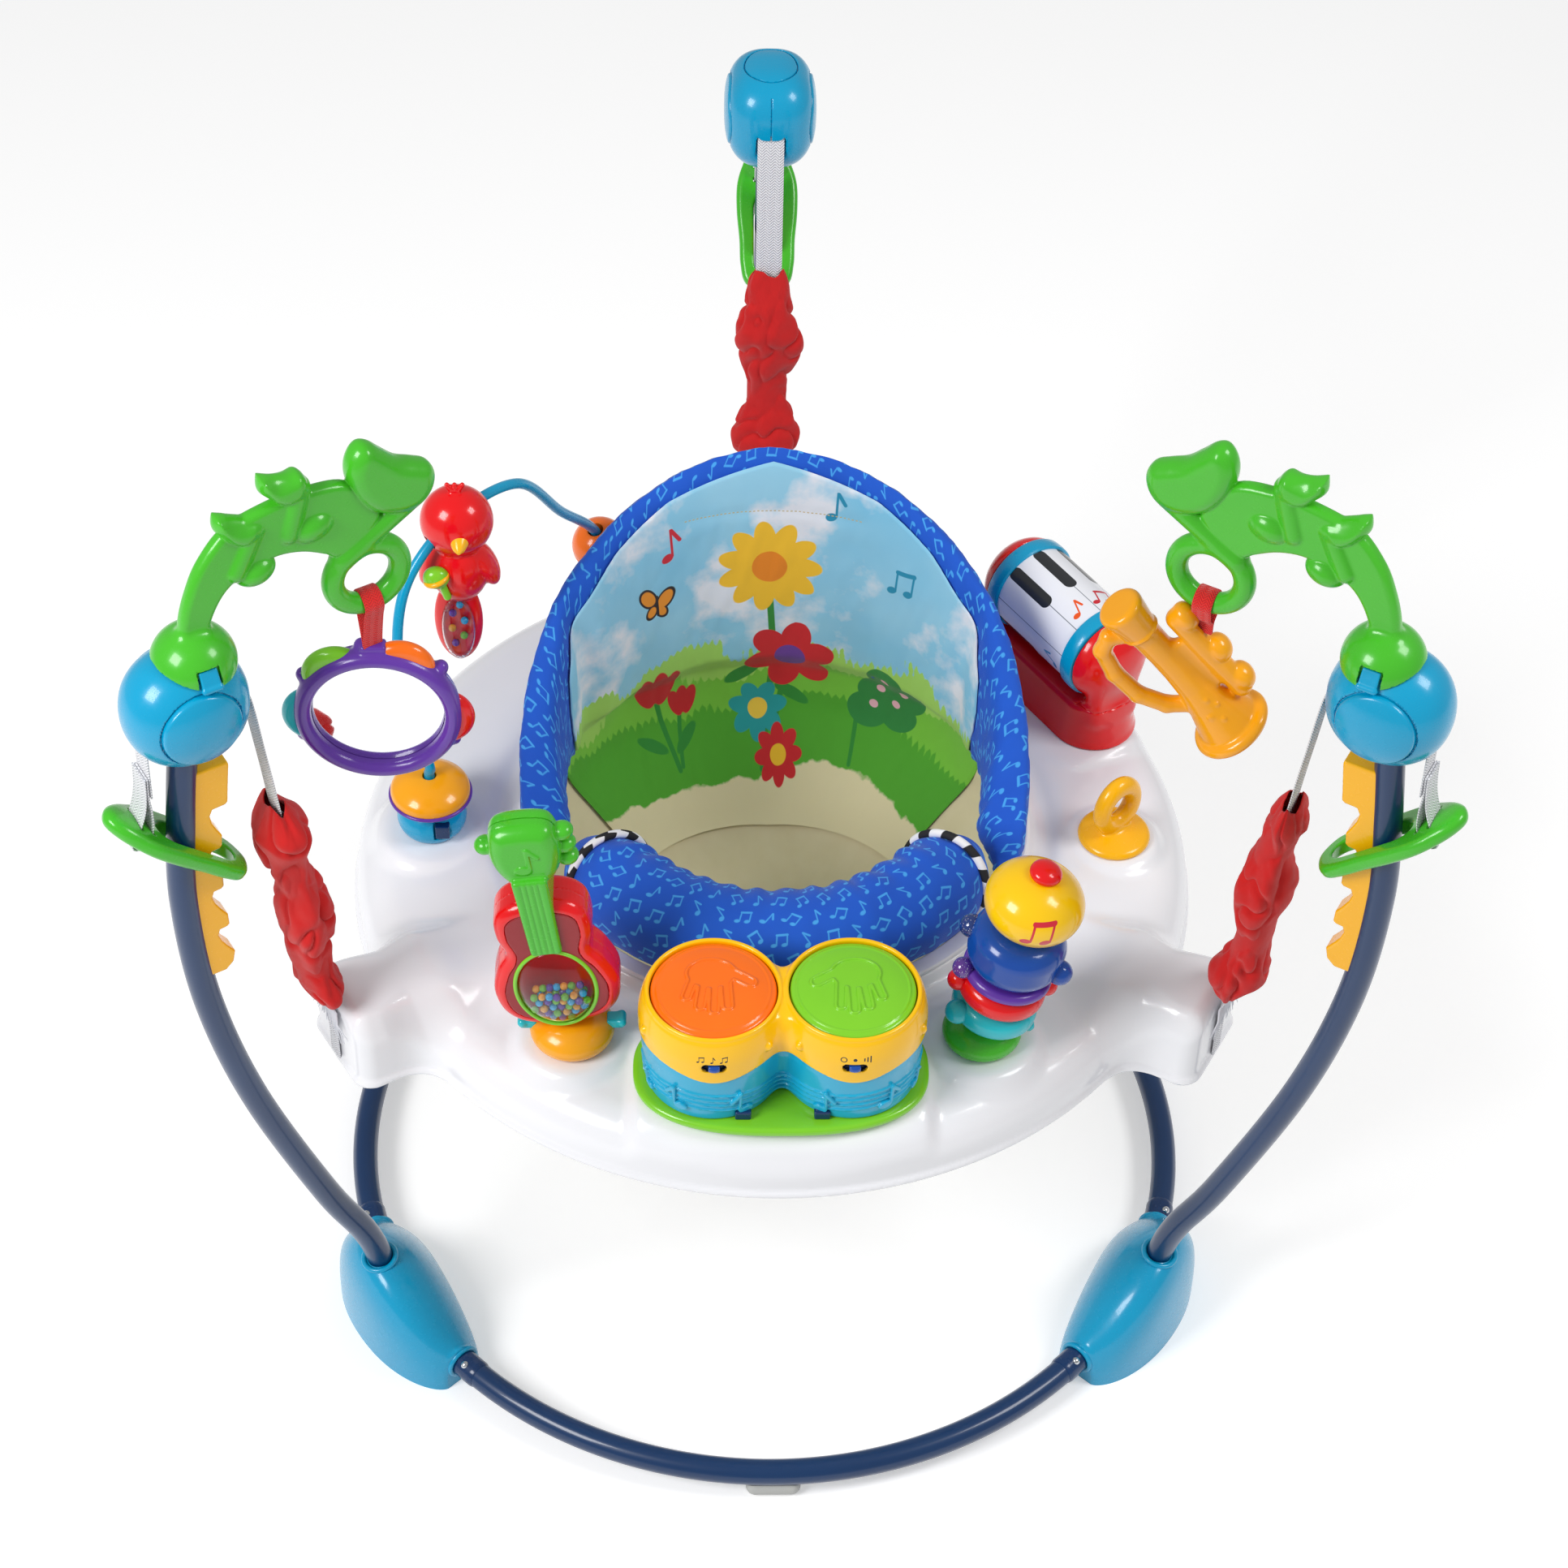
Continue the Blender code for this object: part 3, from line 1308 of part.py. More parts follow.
def bead_ring(name, low, height, radius, knob_height, knob, material):
    """A fat ring on the stem, with two small round grips on its sides."""
    inner = STACK_STEM_RADIUS + SEAT_GAP * 2
    half = height / 2
    middle = low + half
    profile = [(inner, middle + half)]
    for share, rise in ((0.72, 1), (0.94, 0.62), (1, 0), (0.94, -0.62), (0.72, -1)):
        profile.append((radius * share, middle + half * rise))
    profile.append((inner, middle - half))
    piece = turned(name, profile, material, stack_lean, steps=12, ring=True)
    for direction in (-1, 1):
        grip_ball = ellipsoid(
            "%s_grip_%d" % (name, direction),
            (knob, knob, knob),
            material,
            stack_lean @ Matrix.Translation((direction * (radius + knob * 0.35), 0, knob_height)),
            around=6,
            rings=4,
        )
        shape(piece, grip_ball, "UNION")
    return piece


lower_low = stack_rise + SEAT_GAP
upper_low = lower_low + lower_height + SEAT_GAP
ball_low = upper_low + upper_height + SEAT_GAP
lower_grip = lower_low + lower_height * 0.5
upper_grip = upper_low + upper_height * 0.6
bead_ring("stack_ring_lower", lower_low, lower_height, STACK_RADIUS, lower_grip, 0.008, SKY)
bead_ring("stack_ring_upper", upper_low, upper_height, STACK_RADIUS, upper_grip, 0.009, BLUE)
ball = ellipsoid(
    "stack_ball",
    (STACK_BALL_RADIUS, STACK_BALL_RADIUS, STACK_BALL_RADIUS * 0.76),
    YELLOW,
    stack_lean @ Matrix.Translation((0, 0, ball_low + STACK_BALL_RADIUS * 0.72)),
    around=13,
    rings=8,
)
flat_place = stack_lean @ Matrix.Translation((0, 0, ball_low - 0.01))
flat = block("ball_flat", (0.1, 0.1, 0.02), BLANK, flat_place)
bore_hole = turned(
    "ball_bore",
    [
        (0, stem_top + 0.001),
        (STACK_STEM_RADIUS + SEAT_GAP * 2, stem_top + 0.001),
        (STACK_STEM_RADIUS + SEAT_GAP * 2, 0.03),
        (0, 0.03),
    ],
    BLANK,
    stack_lean,
    steps=10,
)
shape(ball, flat)
shape(ball, bore_hole)

# Arch toy: a snap-in foot with a cymbal, and a bent tube that carries a bird and a large bead
cymbal_spot = station(toy_places["cymbal"], TOY_CIRCLE, deck)
foot_height = 0.034
disc_low = foot_height + SEAT_GAP
disc_height = 0.022
arch_start = disc_low + disc_height
arch_foot_profile = [
    (0, foot_height),
    (0.018, foot_height),
    (0.027, foot_height * 0.66),
    (0.028, foot_height * 0.2),
    (0.027, 0),
    (0, 0),
]
arch_end = station(toy_places["arch"], TOY_CIRCLE, deck).translation
start_spot = cymbal_spot.translation
arch_route = [
    start_spot + Vector((0, 0, foot_height - 0.004)),
    start_spot + Vector((0, 0, arch_start + 0.002)),
    start_spot + Vector((0, 0, arch_start + 0.014)),
    Vector((-0.300, 0.014, deck + 0.150)),
    Vector((-0.294, 0.042, ARCH_TOP - 0.055)),
    Vector((-0.256, 0.080, ARCH_TOP - 0.015)),
    Vector((-0.208, 0.136, ARCH_TOP - 0.025)),
    Vector((-0.176, 0.190, ARCH_TOP - 0.100)),
    arch_end + Vector((-0.006, -0.010, 0.110)),
    arch_end + Vector((0, 0, 0.030)),
    arch_end + Vector((0, 0, 0.010)),
]
arch_points = smooth_path(arch_route, 22)
arch = as_mesh(tube("arch_tube", arch_points, ARCH_TUBE_RADIUS, SKY, resolution=2))
arch_foot = turned("arch_foot", arch_foot_profile, SKY, cymbal_spot, steps=12)
shape(arch, arch_foot, "UNION")
second_foot = turned(
    "arch_second_foot",
    [(0, 0.022), (0.008, 0.022), (0.018, 0.016), (0.024, 0.006), (0.024, 0), (0, 0)],
    SKY,
    station(toy_places["arch"], TOY_CIRCLE, deck),
    steps=10,
)
shape(arch, second_foot, "UNION")
for toy in ("cymbal", "arch"):
    pin_place = station(toy_places[toy], TOY_CIRCLE, deck)
    pin = turned(
        "arch_stud_" + toy,
        [(0, 0.004), (STUD_RADIUS, 0.004), (STUD_RADIUS, -STUD_LENGTH), (0, -STUD_LENGTH)],
        SKY,
        pin_place,
        steps=STUD_SIDES,
    )
    shape(arch, pin, "UNION")
tube_gap = ARCH_TUBE_RADIUS + 0.0012
turned(
    "cymbal_toy",
    [
        (tube_gap, disc_low + disc_height),
        (ARCH_DISC_RADIUS * 0.55, disc_low + disc_height * 0.92),
        (ARCH_DISC_RADIUS * 0.86, disc_low + disc_height * 0.62),
        (ARCH_DISC_RADIUS, disc_low + disc_height * 0.40),
        (ARCH_DISC_RADIUS, disc_low + disc_height * 0.12),
        (ARCH_DISC_RADIUS * 0.90, disc_low),
        (tube_gap, disc_low),
    ],
    YELLOW,
    cymbal_spot,
    steps=16,
    ring=True,
)


def threaded(name, spot, reach):
    """The straight bore of what slides on the bent tube: an empty on its axis, and its cutter."""
    stretch = [point for point in smooth_path(arch_route, 200) if (point - spot).length <= reach]
    chord = (stretch[-1] - stretch[0]).normalized()
    offsets = [(point - spot) - chord * (point - spot).dot(chord) for point in stretch]
    middle = (offsets[0] + offsets[len(offsets) // 2]) / 2
    sway = max((offset - middle).length for offset in offsets)
    axis = joint_empty(name + "_axis", Matrix.Translation(spot + middle))
    radius = (ARCH_TUBE_RADIUS + RUNNING_GAP + sway) / math.cos(math.pi / 10)
    profile = [(0, 2 * reach), (radius, 2 * reach), (radius, -2 * reach), (0, -2 * reach)]
    turn = Vector((0, 0, 1)).rotation_difference(chord).to_matrix().to_4x4()
    return axis, turned(name + "_bore", profile, BLANK, turn, steps=10, carrier=axis)


bead_spot = min(arch_points[len(arch_points) // 2 :], key=lambda point: abs(point.z - BEAD_HEIGHT))
bead_axis, bead_bore = threaded("arch_bead", bead_spot, BEAD_RADIUS)
bead = ellipsoid("arch_bead", (BEAD_RADIUS,) * 3, ORANGE, around=12, rings=7, carrier=bead_axis)
shape(bead, bead_bore)

# Bird: a round body on the tube, with a chest, two wings and a long tail below it
bird_spot = min(arch_points, key=lambda point: abs(point.y - BIRD_OFFSET))
bird_axis, bird_bore = threaded("arch_bird", bird_spot, BIRD_HALF[2] * 0.9)


def bird_part(name, half, place, around, rings):
    return ellipsoid(name, half, RED, Matrix.Translation(place), around, rings, bird_axis)


bird_size = BIRD_HALF[2]
bird = bird_part("arch_bird", BIRD_HALF, (0.003, -0.004, 0.002), 12, 8)
chest_half = (bird_size * 0.77, bird_size * 0.70, bird_size * 1.13)
chest = bird_part("bird_chest", chest_half, (0.003, -0.004, -bird_size * 1.6), 8, 6)
shape(bird, chest, "UNION")
tail_half = (bird_size * 0.57, bird_size * 0.37, bird_size * 1.5)
tail = bird_part("bird_tail", tail_half, (0.000, -0.004, -bird_size * 3.5), 8, 6)
shape(bird, tail, "UNION")
for direction in (-1, 1):
    place = (0.003 + direction * 0.018, -0.004 + direction * 0.012, -0.046)
    wing = bird_part("bird_wing_%d" % direction, (0.016, 0.008, 0.024), place, 6, 4)
    wing.matrix_basis = wing.matrix_basis @ Matrix.Rotation(direction * math.radians(24), 4, "Y")
    shape(bird, wing, "UNION")
shape(bird, bird_bore)

# Arms on the front heads: a leaf of note shapes that ends in an open loop, plugged on top of the head
loop_centre = Vector((ARM_LOOP_REACH, ARM_LOOP_HEIGHT))
arm_run = Vector((HEAD_RADIUS_OUT - 0.022, HEAD_HEIGHT + 0.056)) - loop_centre


def on_arm(along, above):
    """A point of the arm: along runs from the loop to the dome, above square to it, in arm lengths."""
    return (
        loop_centre.x + arm_run.x * along - arm_run.y * above,
        loop_centre.y + arm_run.y * along + arm_run.x * above,
    )


outer_edge = (
    (1.065, 0.000),
    (1.120, 0.196), (1.029, 0.472), (0.848, 0.657), (0.620, 0.737), (0.360, 0.759), (0.116, 0.733),
    (0.017, 0.886), (-0.081, 0.926), (-0.178, 0.836), (-0.290, 0.648), (-0.403, 0.590), (-0.443, 0.525),
    (-0.385, 0.395), (-0.262, 0.201),
)
inner_edge = (
    (0.396, 0.296), (0.574, 0.338), (0.738, 0.242), (0.845, 0.096),
    (0.935, 0.000),
)
arm_edge = [on_arm(*point) for point in outer_edge]
arm_edge += circle(ARM_LOOP_RADIUS, 9, loop_centre, math.radians(165), math.radians(220))
arm_edge += [on_arm(*point) for point in inner_edge]


def note_shape(x, y, size, lean):
    """The outline of a small music note: a round head, a stem and a flag."""
    rough = [
        (-0.95, 0.10), (-0.60, -0.42), (0.05, -0.40), (0.34, 0.20), (0.30, 1.10), (0.85, 1.12),
        (0.60, 1.72), (-0.05, 1.72), (-0.06, 0.48), (-0.50, 0.52),
    ]
    c, d = math.cos(lean), math.sin(lean)
    return [(x + size * (c * a - d * b), y + size * (d * a + c * b)) for a, b in rough]


for side in ("left", "right"):
    azimuth = POSTS[side]
    place = upright(azimuth)
    name = "leaf_arm_" + side
    arm = plate(
        name,
        [arm_edge, circle(ARM_LOOP_HOLE, 12, loop_centre)],
        ARM_THICKNESS,
        GREEN,
        place,
        rounding=0.004,
        smooth=1,
    )
    notes = ((0.069, 0.553, 0.195, 24), (0.427, 0.499, 0.211, -8), (0.786, 0.291, 0.195, -20))
    for number, (along, above, size, lean) in enumerate(notes):
        note = plate(
            "%s_note_%d" % (name, number),
            [note_shape(*on_arm(along, above), size * ARM_LENGTH, math.radians(lean))],
            ARM_THICKNESS + 0.006,
            GREEN,
            place,
            smooth=1,
        )
        shape(arm, note, "UNION")
    cap = ellipsoid(
        name + "_cap",
        (ARM_CAP_RADIUS, ARM_CAP_RADIUS, ARM_CAP_RADIUS),
        GREEN,
        station(azimuth, HEAD_RADIUS_OUT - 0.014, HEAD_HEIGHT + ARM_CAP_RADIUS),
        around=10,
        rings=5,
    )
    shape(arm, cap, "UNION")
    around_head = half_head + SEAT_GAP + 0.0002
    clearance = ellipsoid(
        name + "_seat",
        (around_head, HEAD_WIDTH / 2 + SEAT_GAP + 0.0002, around_head),
        BLANK,
        station(azimuth, HEAD_RADIUS_OUT, HEAD_HEIGHT),
        around=HEAD_SIDES,
        rings=HEAD_RINGS,
    )
    shape(arm, clearance)

# Hanging straps: folded over the lower bar of the loop and joined below it
def hanging_strap(name, azimuth, pivot, foot):
    """Heights count from the pivot, the middle of the loop."""
    side = ARM_THICKNESS / 2 + HANGING_STRAP_THICKNESS / 2 + 2 * SEAT_GAP
    bar_low = -ARM_LOOP_RADIUS
    bar_top = -math.sqrt(ARM_LOOP_HOLE**2 - (HANGING_STRAP_WIDTH / 2) ** 2)
    over = bar_top + HANGING_STRAP_THICKNESS / 2 + 3 * SEAT_GAP
    half_route = [
        (0.0012, foot),
        (0.0014, foot + 0.003),
        (side * 0.75, bar_low - 0.008),
        (side, bar_low - 0.002),
        (side, over - 0.005),
        (side * 0.88, over - 0.001),
        (side * 0.62, over),
    ]
    route = half_route + [(-x, z) for x, z in reversed(half_route)]
    half = HANGING_STRAP_THICKNESS / 2
    place = Matrix.Rotation(azimuth + math.pi / 2, 4, "Z")
    return ribbon(name, route, HANGING_STRAP_WIDTH, half, half, RED_CLOTH, place, pivot)


# Mirror toy: a round frame with coloured lobes round its rim, and a mirror disc in its face
mirror_hang = station(POSTS["left"], ARM_LOOP_REACH, ARM_LOOP_HEIGHT).translation
mirror_pivot = joint_empty("mirror_pivot", Matrix.Translation(mirror_hang))
mirror_face = Matrix.Translation((0, 0, -MIRROR_DROP)) @ Matrix.Rotation(math.pi / 2, 4, "X")
mirror_lug_top = MIRROR_RADIUS + 0.006 - MIRROR_DROP
half_thick = MIRROR_THICKNESS / 2
mirror_frame = turned(
    "mirror_frame",
    [
        (0, -half_thick + 0.010),
        (MIRROR_GLASS_RADIUS + SEAT_GAP, -half_thick + 0.010),
        (MIRROR_GLASS_RADIUS + SEAT_GAP, half_thick - 0.004),
        (MIRROR_GLASS_RADIUS + 0.003, half_thick),
        (MIRROR_RADIUS - 0.004, half_thick),
        (MIRROR_RADIUS, half_thick - 0.005),
        (MIRROR_RADIUS - 0.002, -half_thick),
        (0, -half_thick),
    ],
    PURPLE,
    mirror_face,
    steps=20,
    carrier=mirror_pivot,
)
turned(
    "mirror_glass",
    [
        (0, -half_thick + 0.0145),
        (MIRROR_GLASS_RADIUS, -half_thick + 0.0123),
        (MIRROR_GLASS_RADIUS, -half_thick + 0.010 + SEAT_GAP),
        (0, -half_thick + 0.010 + SEAT_GAP),
    ],
    MIRROR,
    mirror_face,
    steps=20,
    carrier=mirror_pivot,
)
for number, angle in enumerate((52, 128, 192, 268, 340)):
    a = math.radians(angle)
    lobe = ellipsoid(
        "mirror_lobe_%d" % number,
        (0.011, 0.024, 0.0085),
        PURPLE,
        mirror_face
        @ Matrix.Rotation(a, 4, "Z")
        @ Matrix.Translation((MIRROR_RADIUS + 0.001, 0, 0)),
        around=8,
        rings=5,
        carrier=mirror_pivot,
    )
    shape(mirror_frame, lobe, "UNION")
lug = block(
    "mirror_lug",
    (0.020, 0.012, 0.016),
    PURPLE,
    Matrix.Translation((0, 0, mirror_lug_top - 0.008)),
    rounding=0.002,
    carrier=mirror_pivot,
)
shape(mirror_frame, lug, "UNION")
hanging_strap("mirror_strap", POSTS["left"], mirror_pivot, mirror_lug_top + SEAT_GAP)

# Trumpet toy: a moulded horn with three valves on one side and a grip on the other
trumpet_hang = station(POSTS["right"], ARM_LOOP_REACH, ARM_LOOP_HEIGHT).translation
trumpet_pivot = joint_empty("trumpet_pivot", Matrix.Translation(trumpet_hang))
trumpet_slope = math.radians(-51)
trumpet_pose = (
    Matrix.Translation((-TRUMPET_LENGTH * 0.092, 0, -TRUMPET_DROP))
    @ Matrix.Rotation(math.pi / 2, 4, "X")
    @ Matrix.Rotation(trumpet_slope, 4, "Z")
)
half_horn = TRUMPET_LENGTH / 2
bell = TRUMPET_BELL_RADIUS
trumpet = turned(
    "trumpet",
    [
        (0, half_horn - 0.004),
        (bell * 0.6, half_horn - 0.003),
        (bell * 0.92, half_horn),
        (bell, half_horn - 0.005),
        (bell * 0.92, half_horn - 0.012),
        (bell * 0.62, half_horn - 0.030),
        (bell * 0.42, half_horn - 0.062),
        (bell * 0.40, -0.030),
        (bell * 0.62, 0.010 - half_horn),
        (bell * 0.60, -half_horn),
        (0, -half_horn),
    ],
    YELLOW,
    trumpet_pose @ Matrix.Rotation(math.pi / 2, 4, "Y"),
    steps=10,
    carrier=trumpet_pivot,
)
grip_route = [
    (-0.050, -0.004, 0), (-0.058, -0.022, 0), (-0.044, -0.034, 0), (-0.016, -0.037, 0),
    (0.012, -0.032, 0), (0.030, -0.018, 0), (0.036, -0.006, 0),
]
grip = as_mesh(
    tube("trumpet_grip", smooth_path(grip_route, 9), 0.0068, YELLOW, trumpet_pose, 2, trumpet_pivot)
)
shape(trumpet, grip, "UNION")
valve_bar = as_mesh(
    tube(
        "trumpet_valve_bar",
        smooth_path([(-0.022, 0.023, 0), (0.015, 0.024, 0), (0.052, 0.024, 0)], 3),
        0.0085,
        YELLOW,
        trumpet_pose,
        resolution=2,
        carrier=trumpet_pivot,
    )
)
shape(trumpet, valve_bar, "UNION")
for number, along in enumerate((-0.050, 0.014, 0.036)):
    valve = turned(
        "trumpet_valve_%d" % number,
        [(0, 0.035), (0.006, 0.034), (0.0085, 0.030), (0.0070, 0.006), (0, 0.006)],
        YELLOW,
        trumpet_pose @ Matrix.Translation((along, 0, 0)) @ Matrix.Rotation(-math.pi / 2, 4, "X"),
        steps=8,
        carrier=trumpet_pivot,
    )
    shape(trumpet, valve, "UNION")
trumpet_lug_top = 0.042 - TRUMPET_DROP
lug = block(
    "trumpet_lug",
    (0.019, 0.012, 0.016),
    YELLOW,
    Matrix.Translation((0, 0, trumpet_lug_top - 0.008)),
    rounding=0.002,
    carrier=trumpet_pivot,
)
shape(trumpet, lug, "UNION")
hanging_strap("trumpet_strap", POSTS["right"], trumpet_pivot, trumpet_lug_top + SEAT_GAP)


def least_gap(points, wire, per_turn):
    """The least clear distance between one turn of a coil and the next."""
    least = min(
        (Vector(points[i]) - Vector(points[j])).length
        for i in range(len(points))
        for j in range(i + per_turn - 2, min(len(points), i + per_turn + 3))
    )
    return least - 2 * wire


coil_gap = least_gap(coil[:-1], SPRING_WIRE, per_turn)
print("least gap of the coil springs to themselves: %.2f mm" % (1000 * coil_gap))
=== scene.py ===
"""Looks of the baby activity jumper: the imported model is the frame, and every piece is dressed around it."""

import itertools
from math import cos, exp, pi, radians, sin, sqrt

import bpy
import numpy as np
from mathutils import Matrix, Vector, noise
from numpy import clip, hypot, maximum, minimum


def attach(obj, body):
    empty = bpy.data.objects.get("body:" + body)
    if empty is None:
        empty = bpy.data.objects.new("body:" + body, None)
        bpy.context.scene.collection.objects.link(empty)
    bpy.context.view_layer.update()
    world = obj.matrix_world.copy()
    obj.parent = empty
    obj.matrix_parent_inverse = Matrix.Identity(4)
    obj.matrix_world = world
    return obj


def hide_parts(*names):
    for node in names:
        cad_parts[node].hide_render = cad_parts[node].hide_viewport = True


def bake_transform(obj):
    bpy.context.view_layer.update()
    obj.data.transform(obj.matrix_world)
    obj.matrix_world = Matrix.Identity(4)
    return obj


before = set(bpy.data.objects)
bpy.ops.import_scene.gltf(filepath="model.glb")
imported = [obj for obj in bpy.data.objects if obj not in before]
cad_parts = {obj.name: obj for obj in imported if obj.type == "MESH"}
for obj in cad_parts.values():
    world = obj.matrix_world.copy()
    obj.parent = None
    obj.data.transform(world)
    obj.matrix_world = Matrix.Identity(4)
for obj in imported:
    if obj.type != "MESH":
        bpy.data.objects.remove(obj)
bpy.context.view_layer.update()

# Camera: the photograph looks down at 45 degrees from the front, a touch from the left, through a long lens.
# Its place was fitted to the feet, the heads and the drums, and it has a slight roll.
PHOTO_SIDE = 1932
FOCAL_PIXELS = 4226
CAMERA_PLACE = Vector((-0.0789, -2.0722, 2.4572))
VIEW_TURN = radians(-2.5)
VIEW_HEIGHT = radians(45.0)
VIEW_ROLL = radians(1.7)


def in_scene(name, data, place=Matrix()):
    """An object of the scene at this place."""
    made = bpy.data.objects.new(name, data)
    bpy.context.scene.collection.objects.link(made)
    made.matrix_world = place
    return made


camera_data = bpy.data.cameras.new("camera")
camera_data.sensor_width = 36.0
camera_data.lens = camera_data.sensor_width * FOCAL_PIXELS / PHOTO_SIDE
back = Vector((sin(VIEW_TURN) * cos(VIEW_HEIGHT), -cos(VIEW_TURN) * cos(VIEW_HEIGHT), sin(VIEW_HEIGHT)))
level = (-back).cross(Vector((0, 0, 1))).normalized()
upward = level.cross(-back)
right = cos(VIEW_ROLL) * level + sin(VIEW_ROLL) * upward
top = cos(VIEW_ROLL) * upward - sin(VIEW_ROLL) * level
turn = Matrix((right, top, back)).transposed()
bpy.context.scene.camera = in_scene("camera", camera_data, Matrix.Translation(CAMERA_PLACE) @ turn.to_4x4())

# Floor and light: a white studio sweep with two large softboxes and an even sky.
# The floor is a shade brighter to the camera alone, so that it goes to white round the soft shadow.


def linear(colour):
    """An sRGB hex colour as the linear colour that a shader takes."""
    values = [int(colour[i : i + 2], 16) / 255 for i in (1, 3, 5)]
    return [v / 12.92 if v <= 0.04045 else ((v + 0.055) / 1.055) ** 2.4 for v in values] + [1.0]


def add_node(tree, kind, inputs=(), operation=None, **settings):
    """A new node; each input, by name or in order, takes a number, a hex colour, another node or its output."""
    made = tree.nodes.new("ShaderNode" + kind)
    for name, value in (settings | ({"operation": operation} if operation else {})).items():
        setattr(made, name, value)
    for name, value in (inputs if isinstance(inputs, dict) else dict(enumerate(inputs))).items():
        if isinstance(value, bpy.types.Node):
            value = next(socket for socket in value.outputs if socket.enabled)
        if isinstance(value, bpy.types.NodeSocket):
            tree.links.new(value, made.inputs[name])
        else:
            made.inputs[name].default_value = linear(value) if isinstance(value, str) else value
    return made


def blank_material(name):
    """A material with nothing in it yet."""
    material = bpy.data.materials.new(name)
    material.use_nodes = True
    material.node_tree.nodes.clear()
    return material, material.node_tree


def finish(tree, look, relief=None, strength=0.0, depth=0.0):
    """Closes a material with its shader, roughened by a relief of this strength and depth if it has one."""
    if relief:
        look["Normal"] = add_node(tree, "Bump", {"Strength": strength, "Distance": depth, "Height": relief})
    add_node(tree, "OutputMaterial", [add_node(tree, "BsdfPrincipled", look)])


FLOOR_HALF = 4.0
material, tree = blank_material("studio_floor")
paper = add_node(tree, "BsdfDiffuse", {"Color": "#EFEFEF"})
glow = add_node(tree, "Emission", {"Color": "#FFFFFF", "Strength": 0.34})
both = add_node(tree, "AddShader", [paper, glow])
path = add_node(tree, "LightPath")
seen = add_node(tree, "Math", [path.outputs["Is Camera Ray"], path.outputs["Is Glossy Ray"]], "MAXIMUM")
seen = add_node(tree, "Math", [seen, path.outputs["Is Transmission Ray"]], "MAXIMUM")
mix = add_node(tree, "MixShader", [seen, paper, both])
add_node(tree, "OutputMaterial", [mix])
mesh = bpy.data.meshes.new("floor")
corners = [(-1, -1), (1, -1), (1, 1), (-1, 1)]
mesh.from_pydata([(x * FLOOR_HALF, y * FLOOR_HALF, 0) for x, y in corners], [], [(0, 1, 2, 3)])
mesh.materials.append(material)
in_scene("floor", mesh)

world = bpy.data.worlds.new("studio")
bpy.context.scene.world = world
world.use_nodes = True
tree = world.node_tree
tree.nodes.clear()
sky = add_node(tree, "Background", {"Color": "#FFFFFF", "Strength": 0.44})
white = add_node(tree, "Background", {"Color": "#FFFFFF", "Strength": 1.0})
path = add_node(tree, "LightPath")
mix = add_node(tree, "MixShader", [path.outputs["Is Camera Ray"], sky, white])
add_node(tree, "OutputWorld", [mix])

for name, spot, side, power in (("softbox_left", (-1.9, -1.5, 2.3), 1.1, 54),
        ("softbox_right", (1.9, -0.6, 2.6), 0.9, 28)):
    lamp = bpy.data.lights.new(name, "AREA")
    lamp.shape = "SQUARE"
    lamp.size = side
    lamp.energy = power
    aim = Vector((0, -0.05, 0.45)) - Vector(spot)
    in_scene(name, lamp, Matrix.Translation(spot) @ aim.to_track_quat("-Z", "Y").to_matrix().to_4x4())

bpy.context.scene.view_settings.view_transform = "Standard"

# Floor tubes: three arcs of 22 mm steel tube that meet in the feet. They are bent, then powder coated in navy
# enamel, which is smooth and glossy with a trace of orange peel.
STAND_SHIFT = -0.092
RING_RADIUS = 0.362
RING_HEIGHT = 0.024
TUBE_RADIUS = 0.011


def station(azimuth, radius=0.0, height=0.0, turn=0.0):
    """A place at this azimuth of the stand: local X points outward, Y along the circle and Z up."""
    return (Matrix.Translation((0, STAND_SHIFT, 0)) @ Matrix.Rotation(azimuth, 4, "Z")
        @ Matrix.Translation((radius, 0, height)) @ Matrix.Rotation(turn, 4, "Z"))


def spots_between(a, b, c, d, steps):
    """Points on the smooth curve from b to c, which heads for c as it comes from a, and on to d."""
    for t in (step / steps for step in range(steps)):
        yield (2 * b + (c - a) * t + (2 * a - 5 * b + 4 * c - d) * t**2 + (3 * b - a - 3 * c + d) * t**3) / 2


def running_lengths(path):
    """The length of a path up to each of its points."""
    return [0.0, *itertools.accumulate((after - before).length for before, after in zip(path, path[1:]))]


def smooth_path(points, count):
    """Evenly spaced points on a smooth curve through these points."""
    points = [Vector(point) for point in points]
    ends = [2 * points[0] - points[1], *points, 2 * points[-1] - points[-2]]
    fine = [spot for i in range(len(points) - 1) for spot in spots_between(*ends[i : i + 4], 16)] + points[-1:]
    lengths = running_lengths(fine)
    path = []
    k = 0
    for i in range(count):
        want = lengths[-1] * i / (count - 1)
        while k < len(lengths) - 2 and lengths[k + 1] < want:
            k += 1
        path.append(fine[k].lerp(fine[k + 1], (want - lengths[k]) / (lengths[k + 1] - lengths[k])))
    return path


def skin(rings, closed=False, capped=True):
    """Points and faces of a skin over rings of equally many points; each ring runs round and closes."""
    points = [tuple(point) for ring in rings for point in ring]
    around = len(rings[0])
    faces = []
    for i in range(len(rings) if closed else len(rings) - 1):
        j = (i + 1) % len(rings)
        for k in range(around):
            m = (k + 1) % around
            faces.append((i * around + k, i * around + m, j * around + m, j * around + k))
    if capped and not closed:
        faces.append(tuple(reversed(range(around))))
        faces.append(tuple(range((len(rings) - 1) * around, len(rings) * around)))
    return points, faces


